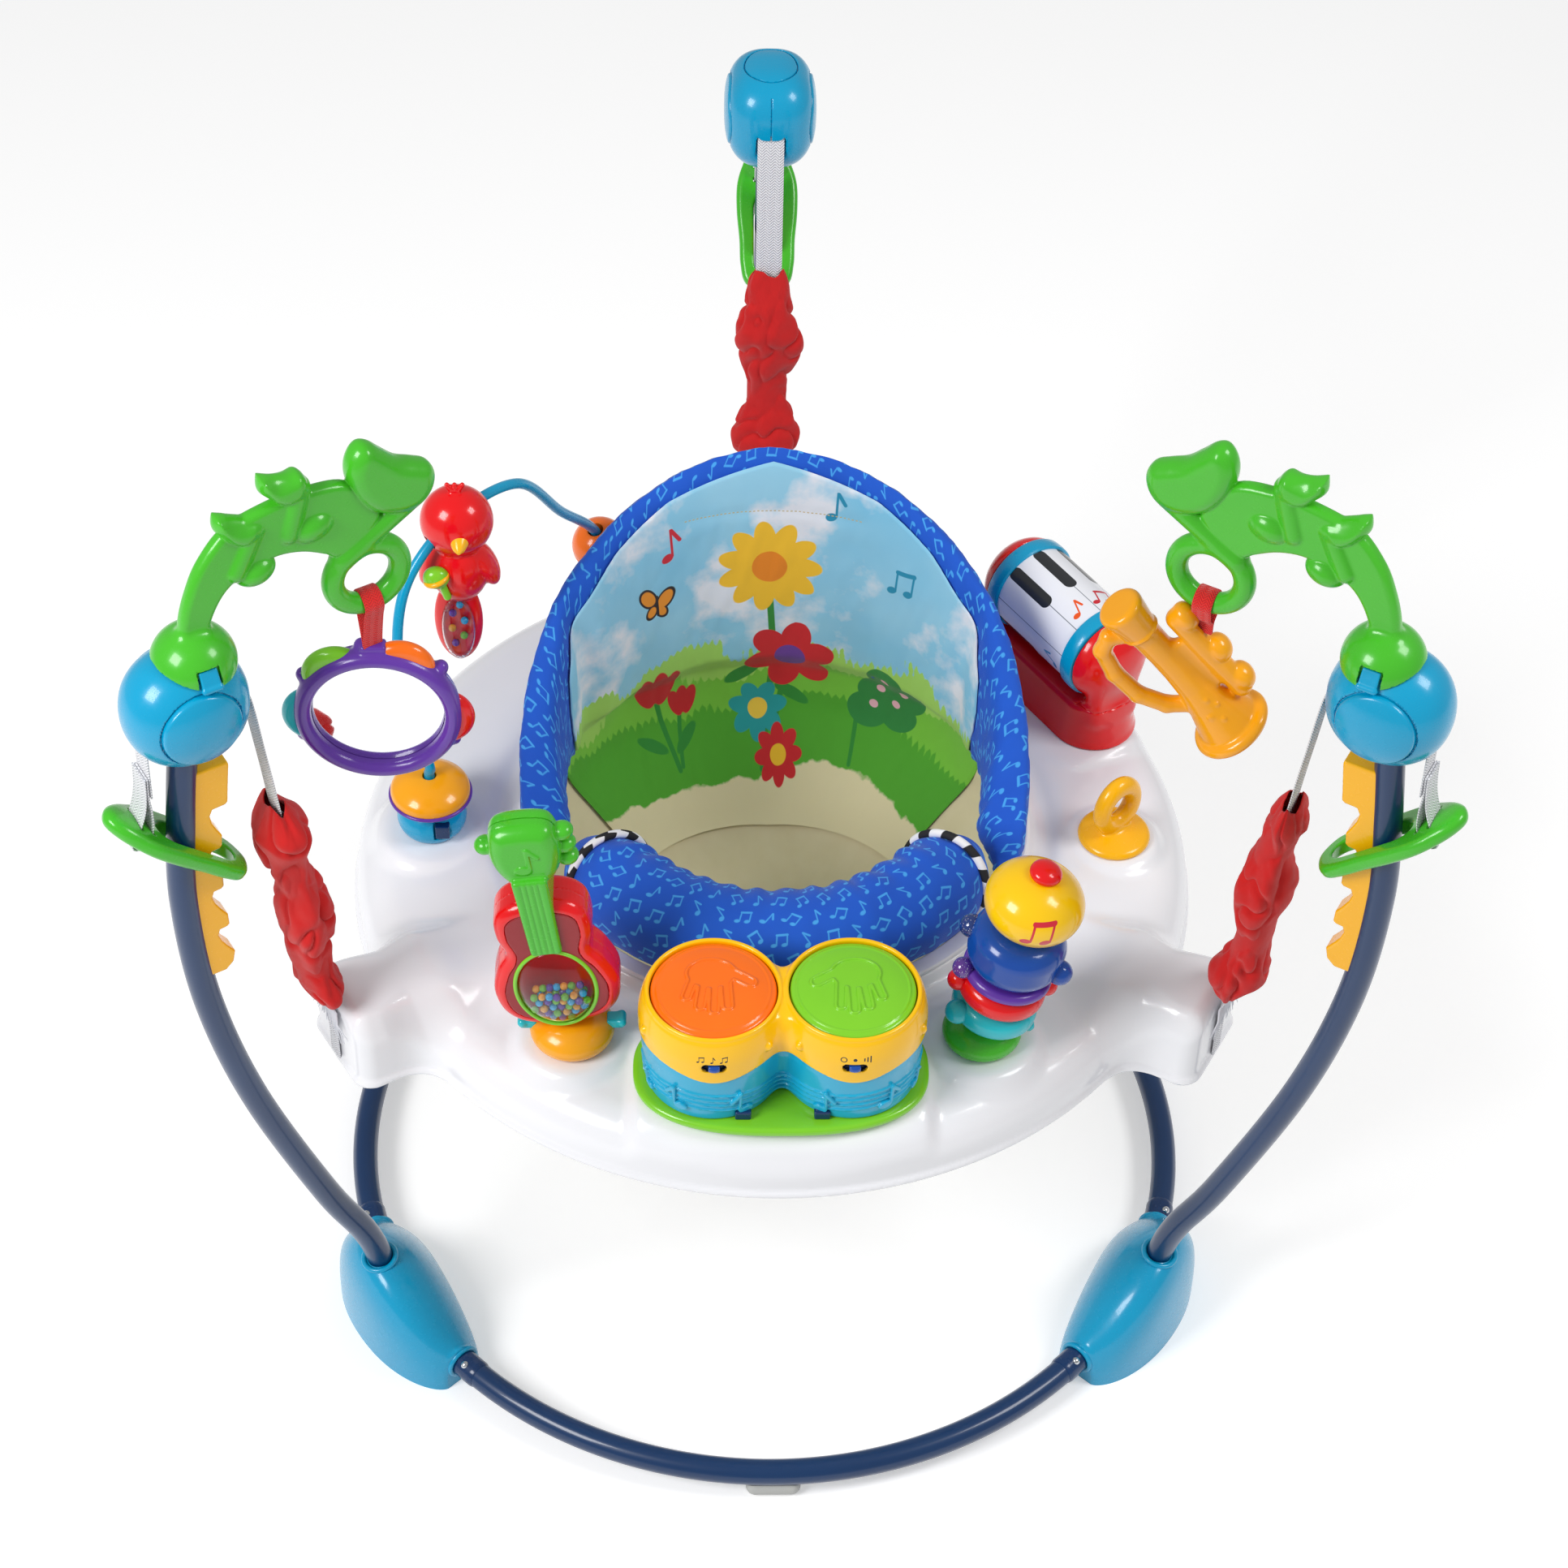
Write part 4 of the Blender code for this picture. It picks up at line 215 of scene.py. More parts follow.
def tube_rings(path, radius, sides=28):
    """Rings round a path; radius is one number or a function of the share of the way along it."""
    rings = []
    side = None
    for i, point in enumerate(path):
        run = (path[min(i + 1, len(path) - 1)] - path[max(i - 1, 0)]).normalized()
        if side is None:
            side = run.orthogonal().normalized()
        side = (side - run * side.dot(run)).normalized()
        over = run.cross(side)
        reach = radius(i / (len(path) - 1)) if callable(radius) else radius
        rings.append([point + side * (reach * cos(2 * pi * k / sides)) + over
            * (reach * sin(2 * pi * k / sides)) for k in range(sides)])
    return rings


def piece(name, shape, material, body, place=None, replaced=(), sharp=40):
    """An object from points, faces and any UV marks in metres, on a body unless it blends between two."""
    points, faces, *marks = shape
    mesh = bpy.data.meshes.new(name)
    mesh.from_pydata([tuple(point) for point in points], [], [tuple(int(k) for k in face) for face in faces])
    if marks:
        layer = mesh.uv_layers.new(name="weave")
        for loop in mesh.loops:
            layer.data[loop.index].uv = marks[0][loop.vertex_index]
    mesh.materials.append(material)
    mesh.shade_smooth()
    mesh.set_sharp_from_angle(angle=radians(sharp))
    made = in_scene(name, mesh, place or Matrix())
    if body:
        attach(made, body)
    if replaced:
        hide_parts(*replaced)
    return made


def on_ring(azimuth):
    """A point on the middle line of the floor ring."""
    return Vector((RING_RADIUS * cos(azimuth), RING_RADIUS * sin(azimuth), RING_HEIGHT))


# Powder-coated steel: an even gloss, with the orange peel of the sprayed coat about 2 mm across.
NAVY_ENAMEL, tree = blank_material("navy_enamel_tube")
spot = add_node(tree, "TexCoord").outputs["Object"]
peel = add_node(tree, "TexNoise", {"Vector": spot, "Scale": 480.0, "Roughness": 0.4})
drift = add_node(tree, "TexNoise", {"Vector": spot, "Scale": 9.0, "Detail": 3.0})
tone = add_node(tree, "Mix", {"Factor": drift, 6: "#012A55", 7: "#023463"}, data_type="RGBA")
look = {"Base Color": tone, "Roughness": 0.3, "IOR": 1.42, "Coat Weight": 0.35, "Coat Roughness": 0.06}
finish(tree, look, peel, 0.06, 0.0004)
for side, start, end in (("front", 210, 330), ("right", -30, 90), ("left", 90, 210)):
    path = [on_ring(radians(start + 1 + (end - start - 2) * i / 96)) for i in range(97)]
    piece("floor_tube_" + side, skin(tube_rings(path, TUBE_RADIUS)), NAVY_ENAMEL, "frame", station(0),
        ["base_tube_" + side])

# Floor pad: a small block of grey rubber, moulded to clip up under the front tube. It is matt with a fine
# grain, and it keeps the ring from sliding on a smooth floor.


def edge_distance(outline, x, y):
    """Distance from points to a closed outline, below nought inside it."""
    least = np.full(np.broadcast(x, y).shape, 1e9)
    inside = np.zeros(least.shape, bool)
    for (ax, ay), (bx, by) in zip(outline, outline[1:] + outline[:1]):
        ex, ey = bx - ax, by - ay
        px, py = x - ax, y - ay
        share = clip((px * ex + py * ey) / max(ex * ex + ey * ey, 1e-16), 0, 1)
        least = minimum(least, (px - share * ex) ** 2 + (py - share * ey) ** 2)
        crosses = ((ay > y) != (by > y)) & (px < ex * (y - ay) / (ey if abs(ey) > 1e-12 else 1e-12))
        inside = inside ^ crosses
    return np.where(inside, -1, 1) * np.sqrt(least)


def slab(flat, z, half, rounding):
    """A flat shape, given by its distance in plan, thickened to both sides with rounded edges."""
    across, up = flat + rounding, np.abs(z) - half + rounding
    outside = np.sqrt(maximum(across, 0) ** 2 + maximum(up, 0) ** 2)
    return outside + minimum(maximum(across, up), 0) - rounding


def egg(point, centre, half):
    """A sphere stretched to these half sizes."""
    x, y, z = ((p - c) / h for p, c, h in zip(point, centre, half))
    reach = np.sqrt(x * x + y * y + z * z)
    steep = np.sqrt((x / half[0]) ** 2 + (y / half[1]) ** 2 + (z / half[2]) ** 2)
    return reach * (reach - 1) / maximum(steep, 1e-6)


def rod(point, start, end, first, last=None):
    """A round rod between two points, with a radius at each end."""
    last = first if last is None else last
    run = [b - a for a, b in zip(start, end)]
    off = [p - a for p, a in zip(point, start)]
    share = clip(sum(o * r for o, r in zip(off, run)) / sum(r * r for r in run), 0, 1)
    away = np.sqrt(sum((o - share * r) ** 2 for o, r in zip(off, run)))
    return away - (first + (last - first) * share)


def box_field(point, centre, half, rounding):
    """A block with rounded edges."""
    away = [np.abs(p - c) - h + rounding for p, c, h in zip(point, centre, half)]
    outside = np.sqrt(sum(maximum(a, 0) ** 2 for a in away))
    return outside + minimum(maximum(maximum(away[0], away[1]), away[2]), 0) - rounding


def join(first, second, fillet=0.002):
    """Two forms as one, with a fillet where they meet."""
    blend = clip(0.5 + 0.5 * (second - first) / fillet, 0, 1)
    return second + (first - second) * blend - fillet * blend * (1 - blend)


def cut(form, tool, fillet=0.0006):
    """A form with a tool taken out of it, and the edge eased."""
    return -join(-form, tool, fillet)


def cast(field, low, high, cell):
    """The skin of a form given by its distance field, as points and faces: the way a mould gives a shape."""
    low = np.array(low, float)
    count = np.ceil((np.array(high, float) - low) / cell).astype(int) + 1
    axes = [low[k] + cell * np.arange(count[k]) for k in range(3)]
    grid = np.meshgrid(*axes, indexing="ij", sparse=True)
    value = np.broadcast_to(field(grid), tuple(count)).copy()
    inner = tuple(count - 1)
    total = np.zeros((*inner, 3))
    hits = np.zeros(inner)

    def corner(step):
        return value[tuple(slice(s, s + n) for s, n in zip(step, inner))]

    for start in itertools.product((0, 1), repeat=3):
        for axis in range(3):
            if start[axis]:
                continue
            end = tuple(1 if k == axis else start[k] for k in range(3))
            a, b = corner(start), corner(end)
            crosses = (a < 0) != (b < 0)
            share = np.where(crosses, a / np.where(crosses, a - b, 1), 0)
            for k in range(3):
                total[..., k] += np.where(crosses, start[k] + (share if k == axis else 0), 0)
            hits += crosses
    used = hits > 0
    number = np.full(inner, -1)
    number[used] = np.arange(used.sum())
    points = low + cell * (np.argwhere(used) + total[used] / hits[used][:, None])
    faces = []
    for axis in range(3):
        p, q = [k for k in range(3) if k != axis]
        a = np.moveaxis(value, (axis, p, q), (0, 1, 2))
        crosses = (a[:-1, 1:-1, 1:-1] < 0) != (a[1:, 1:-1, 1:-1] < 0)
        place = np.argwhere(crosses)
        turned = np.moveaxis(number, (axis, p, q), (0, 1, 2))
        i, j, k = place[:, 0], place[:, 1], place[:, 2]
        quad = np.stack([turned[i, j, k], turned[i, j + 1, k], turned[i, j + 1, k + 1], turned[i, j, k + 1]],
            axis=1)
        outward = (a[i, j + 1, k + 1] < 0) != (axis == 1)
        quad[~outward] = quad[~outward][:, ::-1]
        faces.append(quad)
    faces = np.concatenate(faces)
    step = cell * 0.1
    for _ in range(2):
        here = field(points.T)
        slope = np.stack([(field((points + step * unit).T) - field((points - step * unit).T)) / (2 * step)
            for unit in np.eye(3)], axis=1)
        size = maximum((slope**2).sum(1), 0.05)
        points -= clip(slope * (here / size)[:, None], -0.4 * cell, 0.4 * cell)
    return points, faces


def floor_pad(p):
    body = box_field(p, (0, 0, 0.009), (0.01, 0.023, 0.009), 0.0078)
    return cut(body, rod(p, (0, -0.05, 0.024), (0, 0.05, 0.024), TUBE_RADIUS + 0.0004))


# Moulded rubber: matt, with a fine grain of about 0.5 mm.
GREY_RUBBER, tree = blank_material("grey_rubber_pad")
spot = add_node(tree, "TexCoord").outputs["Object"]
grain = add_node(tree, "TexNoise", {"Vector": spot, "Scale": 2000.0})
tone = add_node(tree, "Mix", {"Factor": grain, 6: "#B4B5B2", 7: "#C6C7C4"}, data_type="RGBA")
finish(tree, {"Base Color": tone, "Roughness": 0.75}, grain, 0.3, 0.0002)
piece("floor_pad", cast(floor_pad, (-0.013, -0.026, -0.002), (0.013, 0.026, 0.021), 0.0007), GREY_RUBBER,
    "frame", station(radians(270), RING_RADIUS), ["base_pad"])

# Posts: the same enamelled steel tube, bent outward like the ribs of a basket. The lower end is pushed into the
# foot and the upper end into the head.
POSTS = {"left": radians(210), "right": radians(330), "rear": radians(90)}
HEAD_REACH = 0.488
HEAD_HEIGHT = 0.8
post_path = smooth_path([(0.379, 0, 0.047), (0.385, 0, 0.1), (0.397, 0, 0.145), (0.426, 0, 0.215),
    (0.475, 0, 0.365), (0.502, 0, 0.495), (0.509, 0, 0.61), (0.502, 0, 0.695), (0.492, 0, 0.774)], 90)
for side, azimuth in POSTS.items():
    piece("enamel_post_" + side, skin(tube_rings(post_path, TUBE_RADIUS)), NAVY_ENAMEL, "frame",
        station(azimuth), ["post_" + side])

# Feet: egg-shaped housings of glossy sky-blue ABS in two screwed halves, over the joint of tubes and post.
# A navy sleeve with a steel snap button shows where each front tube end goes in.


def moulded(name, colours, roughness=0.24, peel=0.05, draw=None):
    """Moulded ABS: clean gloss, faint flow clouds in the colour, a skin not quite flat and any print."""
    material, tree = blank_material(name)
    spot = add_node(tree, "TexCoord").outputs["Object"]
    cloud = add_node(tree, "TexNoise", {"Vector": spot, "Scale": 14.0, "Detail": 4.0, "Roughness": 0.55})
    tone = add_node(tree, "Mix", {"Factor": cloud, 6: colours[0], 7: colours[1]}, data_type="RGBA")
    edge = add_node(tree, "NewGeometry").outputs["Pointiness"]
    worn = add_node(tree, "MapRange", {"Value": edge, "From Min": 0.57, "From Max": 0.7, "To Max": 0.2})
    tone = add_node(tree, "Mix", {"Factor": worn, 6: tone, 7: colours[2]}, data_type="RGBA")
    if draw:
        tone = draw(tree, spot, tone)
    fine = add_node(tree, "TexNoise", {"Vector": spot, "Scale": 260.0, "Detail": 3.0})
    shine = add_node(tree, "MapRange", {"Value": fine, "From Min": 0.3, "From Max": 0.7, "To Min": roughness
        - 0.03, "To Max": roughness + 0.05})
    look = {"Base Color": tone, "Roughness": shine, "IOR": 1.42, "Coat Weight": 0.25, "Coat Roughness": 0.05}
    finish(tree, look, fine, peel, 0.0006)
    return material


SKY_ABS = moulded("sky_blue_abs", ("#0099C6", "#00A2CE", "#5CCBEF"))
NAVY_ABS = moulded("navy_abs", ("#042C58", "#063464", "#3F6A98"))
# Stamped spring steel, tumbled bright: small sharp highlights on a grey metal.
SNAP_STEEL, tree = blank_material("bright_snap_steel")
finish(tree, {"Base Color": "#C9CCD0", "Metallic": 1.0, "Roughness": 0.2})
FOOT_WIDTH = 0.086
FOOT_LENGTH = 0.166
FOOT_HEIGHT = 0.1


def foot_rings():
    """Cross-sections of a foot along the floor ring, fullest where the post goes in."""
    rings = []
    for i in range(73):
        u = -cos(pi * i / 72)
        swell = max(0.0, 1 - abs(u) ** 2.3) ** 0.62
        blunt = 0.0165 + (FOOT_WIDTH / 2 - 0.0165) * swell * (1 - 0.16 * u)
        low = RING_HEIGHT + TUBE_RADIUS + 0.007
        height = low + (FOOT_HEIGHT - low) * max(0.0, 1 - (abs(u) * 1.04) ** 2) ** 1.15
        peak = 0.018 * swell
        a = u * FOOT_LENGTH / 2 / RING_RADIUS
        ring = []
        for k in range(41):
            t = pi * k / 40
            across = RING_RADIUS + 0.005 * swell + blunt * cos(t) + peak * sin(t) ** 2
            up = height * max(0.0, sin(t)) ** 0.85
            ring.append((across * cos(a), across * sin(a), up))
        for k in range(1, 12):
            across = RING_RADIUS + 0.005 * swell - blunt + 2 * blunt * k / 12
            ring.append((across * cos(a), across * sin(a), 0.0))
        rings.append(ring)
    return rings


def ring_lip(centre, run, radius, wire, sides=40):
    """The rounded lip round a tube where it goes into a housing."""
    side = run.orthogonal().normalized()
    over = run.cross(side)
    rings = []
    for i in range(sides):
        t = 2 * pi * i / sides
        out = side * cos(t) + over * sin(t)
        rings.append([centre + out * (radius + wire * cos(2 * pi * k / 10)) + run
            * (wire * sin(2 * pi * k / 10)) for k in range(10)])
    return skin(rings, closed=True)


def merged(*shapes):
    """Several skins as one."""
    points, faces = [], []
    for more_points, more_faces in shapes:
        faces += [tuple(int(k) + len(points) for k in face) for face in more_faces]
        points += [tuple(point) for point in more_points]
    return points, faces


for side, azimuth in POSTS.items():
    mirror = -1 if side == "right" else 1
    rings = [[(x, mirror * y, z) for x, y, z in ring] for ring in foot_rings()]
    if mirror < 0:
        rings = [list(reversed(ring)) for ring in rings]
    lips = []
    for end in (-1, 1):
        a = end * (FOOT_LENGTH / 2 / RING_RADIUS)
        lips.append(ring_lip(on_ring(a), Vector((-sin(a), cos(a), 0)), TUBE_RADIUS + 0.0026, 0.0024))
    lips.append(ring_lip(Vector((0.3853, 0, 0.0985)), Vector((0.2, 0, 1)).normalized(), TUBE_RADIUS + 0.0028,
        0.0024))
    piece("foot_housing_" + side, merged(skin(rings), *lips), SKY_ABS, "frame", station(azimuth),
        ["foot_" + side])
    for end in (-1, 1):
        turns = [end * (FOOT_LENGTH / 2 + along) / RING_RADIUS for along in (-0.004, 0.02, 0.0225)]
        arc = [turns[0] + (turns[1] - turns[0]) * i / 8 for i in range(9)] + [turns[2]]
        sleeve = tube_rings([on_ring(a) for a in arc], lambda share: TUBE_RADIUS
            + (0.0011 if share < 0.95 else 0.0002))
        piece("tube_sleeve_%s_%d" % (side, end), skin(sleeve), NAVY_ABS, "frame", station(azimuth))
        a = end * (FOOT_LENGTH / 2 + 0.01) / RING_RADIUS
        out = Vector((cos(a) * 0.5, sin(a) * 0.5, 0.866))
        spot = on_ring(a) + out * (TUBE_RADIUS - 0.001)
        path = [spot + out * step for step in (0, 0.0028, 0.004, 0.0046)]
        button = tube_rings(path, lambda share: (0.0034, 0.0034, 0.0026, 0.001)[round(share * 3)], 16)
        piece("snap_button_%s_%d" % (side, end), skin(button), SNAP_STEEL, "frame", station(azimuth))

# Heads: ball housings of the same sky-blue ABS on the posts, moulded in halves, with a low round disc on each
# side. The webbing runs over a bar inside; the rear head has a blank cap where a toy arm would plug in.


def barrel(point, half, power):
    """A ball drawn out towards a block, for housings with full cheeks."""
    reach = sum((np.abs(v) / h) ** power for v, h in zip(point, half)) ** (1 / power)
    return (reach - 1) * min(half)


HEAD_HALF = (0.046, 0.0385, 0.046)
CAP_RADIUS = 0.0295
strap_slots = ([(-0.05, -0.05), (-0.05, -0.022), (-0.044, 0.003), (-0.031, 0.022), (-0.026, 0.017),
    (-0.0385, -0.003), (-0.044, -0.024), (-0.044, -0.05)], [(0.0338, -0.06), (0.0388, -0.06), (0.0388, -0.012),
    (0.0338, -0.012)])


def head_form(p, fullness, cap):
    """A ball with low domed discs on its sides and a seam down to the slot, open where the webbing runs."""
    x, y, z = p
    ball = barrel(p, HEAD_HALF, fullness)
    flat = np.sqrt(x * x + z * z)
    groove = maximum(np.abs(flat - CAP_RADIUS - 0.0008) - 0.0007, 0.01 - np.abs(y))
    form = cut(ball, maximum(groove, -ball - 0.0016), 0.0005)
    disc = barrel(p, [half + (0.0008 if cap else 0.002) for half in HEAD_HALF], fullness)
    form = join(form, cut(maximum(flat - CAP_RADIUS, 0.01 - np.abs(y)), -disc, 0.0016), 0.0004)
    if cap:
        over = np.sqrt(x * x + (y * 1.1) ** 2)
        form = cut(form, slab(over - 0.0252, z - 0.046, 0.0065, 0.0006), 0.001)
        form = join(form, maximum(over - 0.024, ball + 0.0004), 0.001)
    seam = maximum(maximum(np.abs(y) - 0.0005, x), -(ball + 0.0009))
    form = cut(form, maximum(seam, z - 0.034), 0.0004)
    for outline in strap_slots:
        form = cut(form, slab(edge_distance(outline, x, z), y, 0.0126, 0.0015), 0.0012)
    return form


HEAD_BOX = ((-0.05, -0.043, -0.05), (0.05, 0.043, 0.05))
front_head = cast(lambda p: head_form(p, 2.15, False), *HEAD_BOX, 0.0009)
rear_head = cast(lambda p: head_form(p, 2.7, True), *HEAD_BOX, 0.0009)
for side, azimuth in POSTS.items():
    piece("head_housing_" + side, rear_head if side == "rear" else front_head, SKY_ABS, "frame",
        station(azimuth, HEAD_REACH, HEAD_HEIGHT), ["head_" + side])

# Toy arms: one glossy green ABS moulding each, a stalk with raised music notes that ends in an open loop.
# Its dome plugs over the top of the head and two spring tabs hold it.
GREEN_ABS = moulded("leaf_green_abs", ("#3FB420", "#4ABD28", "#8CDD6A"))
LOOP_CENTRE = (0.343, 0.857)
LOOP_MIDDLE = 0.026
LOOP_WIRE = 0.0082


def upright(azimuth):
    """A place whose local X runs outward and whose local Y runs up, for forms drawn side-on."""
    return station(azimuth) @ Matrix.Rotation(pi / 2, 4, "X")


def rounded_outline(points, count):
    """A smooth closed outline through these points."""
    points = [Vector((x, y, 0)) for x, y in points]
    fine = smooth_path([*points[-3:], *points, *points[:3]], count * (len(points) + 6) // len(points) + 1)
    start = min(range(len(fine) // 2), key=lambda i: (fine[i] - points[0]).length)
    end = min(range(len(fine) // 2, len(fine)), key=lambda i: (fine[i] - points[0]).length)
    return [(point.x, point.y) for point in fine[start:end]]


arm_stalk = rounded_outline([(0.485, 0.85), (0.4842, 0.8724), (0.4764, 0.8969), (0.4647, 0.9191),
    (0.4437, 0.94), (0.4129, 0.9485), (0.3808, 0.95), (0.3529, 0.944), (0.34, 0.925), (0.33, 0.908),
    (0.344, 0.892), (0.364, 0.883), (0.374, 0.8895), (0.391, 0.899), (0.4097, 0.903), (0.429, 0.899),
    (0.445, 0.8915), (0.4559, 0.8784), (0.464, 0.86), (0.466, 0.845)], 100)
arm_flag = rounded_outline([(0.3522, 0.946), (0.3518, 0.958), (0.347, 0.968), (0.34, 0.9725), (0.3325, 0.97),
    (0.324, 0.961), (0.313, 0.95), (0.3, 0.943), (0.2905, 0.937), (0.287, 0.927), (0.2905, 0.915), (0.3, 0.906),
    (0.315, 0.904), (0.329, 0.9085), (0.34, 0.9175), (0.348, 0.931)], 90)
note_flags = [rounded_outline([(0.4485, 0.9525), (0.4478, 0.9405), (0.4412, 0.93), (0.431, 0.9245),
    (0.422, 0.93), (0.4225, 0.938), (0.432, 0.94), (0.44, 0.944)], 50),
    rounded_outline([(0.4143, 0.973), (0.413, 0.962), (0.4075, 0.952), (0.3985, 0.9465), (0.387, 0.9488),
    (0.3828, 0.9584), (0.3872, 0.967), (0.396, 0.965), (0.405, 0.965)], 50)]
note_stems = [((0.424, 0.933), (0.44, 0.903)), ((0.388, 0.954), (0.399, 0.92))]
note_bars = [((0.4445, 0.9455), (0.427, 0.9365)), ((0.4098, 0.965), (0.3905, 0.96))]
note_balls = [((0.4255, 0.897), (0.0158, 0.0112), 0.25), ((0.3815, 0.9185), (0.017, 0.0125), 0.2)]


def arm_form(p):
    x, y, z = p
    form = slab(edge_distance(arm_stalk, x, y), z, 0.0062, 0.0052)
    for (start, end), outline, (first, last), (spot, half, lean) in zip(note_stems, note_flags, note_bars,
            note_balls):
        form = join(form, rod(p, (*start, 0), (*end, 0), 0.0092, 0.0098), 0.0012)
        flag = join(slab(edge_distance(outline, x, y), z, 0.0108, 0.007), rod(p, (*first, 0), (*last, 0),
            0.007), 0.005)
        form = join(form, flag, 0.0012)
        c, s = cos(lean), sin(lean)
        u, v = (x - spot[0]) * c - (y - spot[1]) * s, (x - spot[0]) * s + (y - spot[1]) * c
        form = join(form, egg((u, v, z), (0, 0, 0), (*half, 0.0122)), 0.0012)
    form = join(form, slab(edge_distance(arm_flag, x, y), z, 0.0122, 0.0115), 0.001)
    form = join(form, rod(p, (0.305, 0.911, 0), (0.36, 0.879, 0), 0.0088, 0.009), 0.0016)
    away = np.sqrt((x - LOOP_CENTRE[0]) ** 2 + (y - LOOP_CENTRE[1]) ** 2) - LOOP_MIDDLE
    form = join(form, np.sqrt(away * away + z * z * 1.05) - LOOP_WIRE, 0.003)
    form = join(form, egg(p, (HEAD_REACH - 0.011, HEAD_HEIGHT + 0.036, 0), (0.0305, 0.0285, 0.0305)), 0.006)
    for end in (-1, 1):
        form = cut(form, box_field(p, (HEAD_REACH - 0.011, HEAD_HEIGHT + 0.04, end * 0.032),
            (0.0085, 0.008, 0.008), 0.001))
    return cut(form, barrel((x - HEAD_REACH, z, y - HEAD_HEIGHT), [half + 0.0012 for half in HEAD_HALF], 2.15),
        0.0008)


arm_shape = cast(arm_form, (0.282, 0.815, -0.034), (0.512, 0.98, 0.034), 0.001)


def tab_form(p):
    """A spring tab: a short tongue with a thumb edge."""
    form = box_field(p, (0, 0, 0), (0.0068, 0.003, 0.0078), 0.0012)
    return join(form, rod(p, (-0.0055, 0.0012, -0.0062), (0.0055, 0.0012, -0.0062), 0.0026), 0.001)


tab_shape = cast(tab_form, (-0.01, -0.006, -0.011), (0.01, 0.006, 0.011), 0.0006)
for side in ("left", "right"):
    azimuth = POSTS[side]
    piece("note_arm_" + side, arm_shape, GREEN_ABS, "frame", upright(azimuth), ["leaf_arm_" + side])
    for end in (-1, 1):
        place = station(azimuth, HEAD_REACH - 0.011, HEAD_HEIGHT + 0.0385) @ Matrix.Translation((0,
            end * 0.0275, 0))
        place = place @ Matrix.Rotation(0 if end > 0 else pi, 4, "Z") @ Matrix.Rotation(radians(30), 4, "X")
        piece("arm_tab_%s_%d" % (side, end), tab_shape, SKY_ABS, "frame", place)

# Ratchet racks: strips of yellow ABS screwed along the inner side of the posts. Four hooked ledges, 41 mm
# apart, catch the bar of the slider.
YELLOW_ABS = moulded("sun_yellow_abs", ("#F9B200", "#FFBC08", "#FFDE7A"))
NOTCH_PITCH = 0.041
NOTCH_DEPTH = 0.008
RACK_DEPTH = 0.01
SLIDER_HEIGHT = 0.668
SLIDER_TILT = radians(45)
SLIDER_REACH = 0.505
REST_LEDGE = SLIDER_HEIGHT - (RACK_DEPTH + TUBE_RADIUS + 0.0035) + 0.006 / cos(SLIDER_TILT) + 0.004


def post_reach(height):
    """How far out the middle of a post is at this height."""
    return float(np.interp(height, [point.z for point in post_path], [point.x for point in post_path]))


def rack_edge():
    """The rack from the side: a square head, hooked ledges with hollow throats, and a round tail."""
    thick = RACK_DEPTH + NOTCH_DEPTH
    high = REST_LEDGE + NOTCH_PITCH + 0.04
    low = REST_LEDGE - 2 * NOTCH_PITCH - 0.045
    steps = [(high, 0.001), (high, thick + 0.003), (high - 0.003, thick + 0.004)]
    for k in range(4):
        ledge = REST_LEDGE + (1 - k) * NOTCH_PITCH
        nose = thick + (0.004 if k == 0 else 0)
        steps += [(ledge + 0.012, nose), (ledge + 0.002, nose), (ledge, nose - 0.002),
            (ledge - 0.0005, RACK_DEPTH)]
        steps += [(ledge - 0.006, RACK_DEPTH - 0.002), (ledge - 0.014, RACK_DEPTH),
            (ledge - 0.022, RACK_DEPTH + 0.004)]
    steps += [(low + 0.016, thick), (low + 0.006, thick - 0.003), (low, RACK_DEPTH - 0.002), (low, 0.001)]
    edge = [(post_reach(height) - TUBE_RADIUS - depth, height) for height, depth in steps]
    for i in range(10):
        height = low + (high - low) * i / 9
        edge.append((post_reach(height) - TUBE_RADIUS + 0.005, height))
    return edge


rack_outline = rack_edge()
rack_shape = cast(lambda p: slab(edge_distance(rack_outline, p[0], p[1]), p[2], 0.008, 0.0014),
    (0.445, 0.5, -0.01), (0.52, 0.76, 0.01), 0.0009)
for side, azimuth in POSTS.items():
    piece("ratchet_rack_" + side, rack_shape, YELLOW_ABS, "frame", upright(azimuth), ["rack_" + side])

# Height sliders: green ABS leaves that ring post and rack. Pulled down at the lever, the back bar lifts out
# of its ledge; the webbing is sewn round the web between two slots.
throat_front = 0.0158
throat_back = 0.0368
slider_back = 0.0619
slider_front = 0.0735
slider_outline = rounded_outline([(slider_front, 0.0), (0.069, 0.0095), (0.056, 0.0195), (0.036, 0.0262),
    (0.012, 0.0268), (-0.014, 0.0245), (-0.036, 0.0235), (-0.053, 0.0185), (-slider_back, 0.0),
    (-0.053, -0.0185), (-0.036, -0.0235), (-0.014, -0.0245), (0.012, -0.0268), (0.036, -0.0262),
    (0.056, -0.0195), (0.069, -0.0095)], 90)


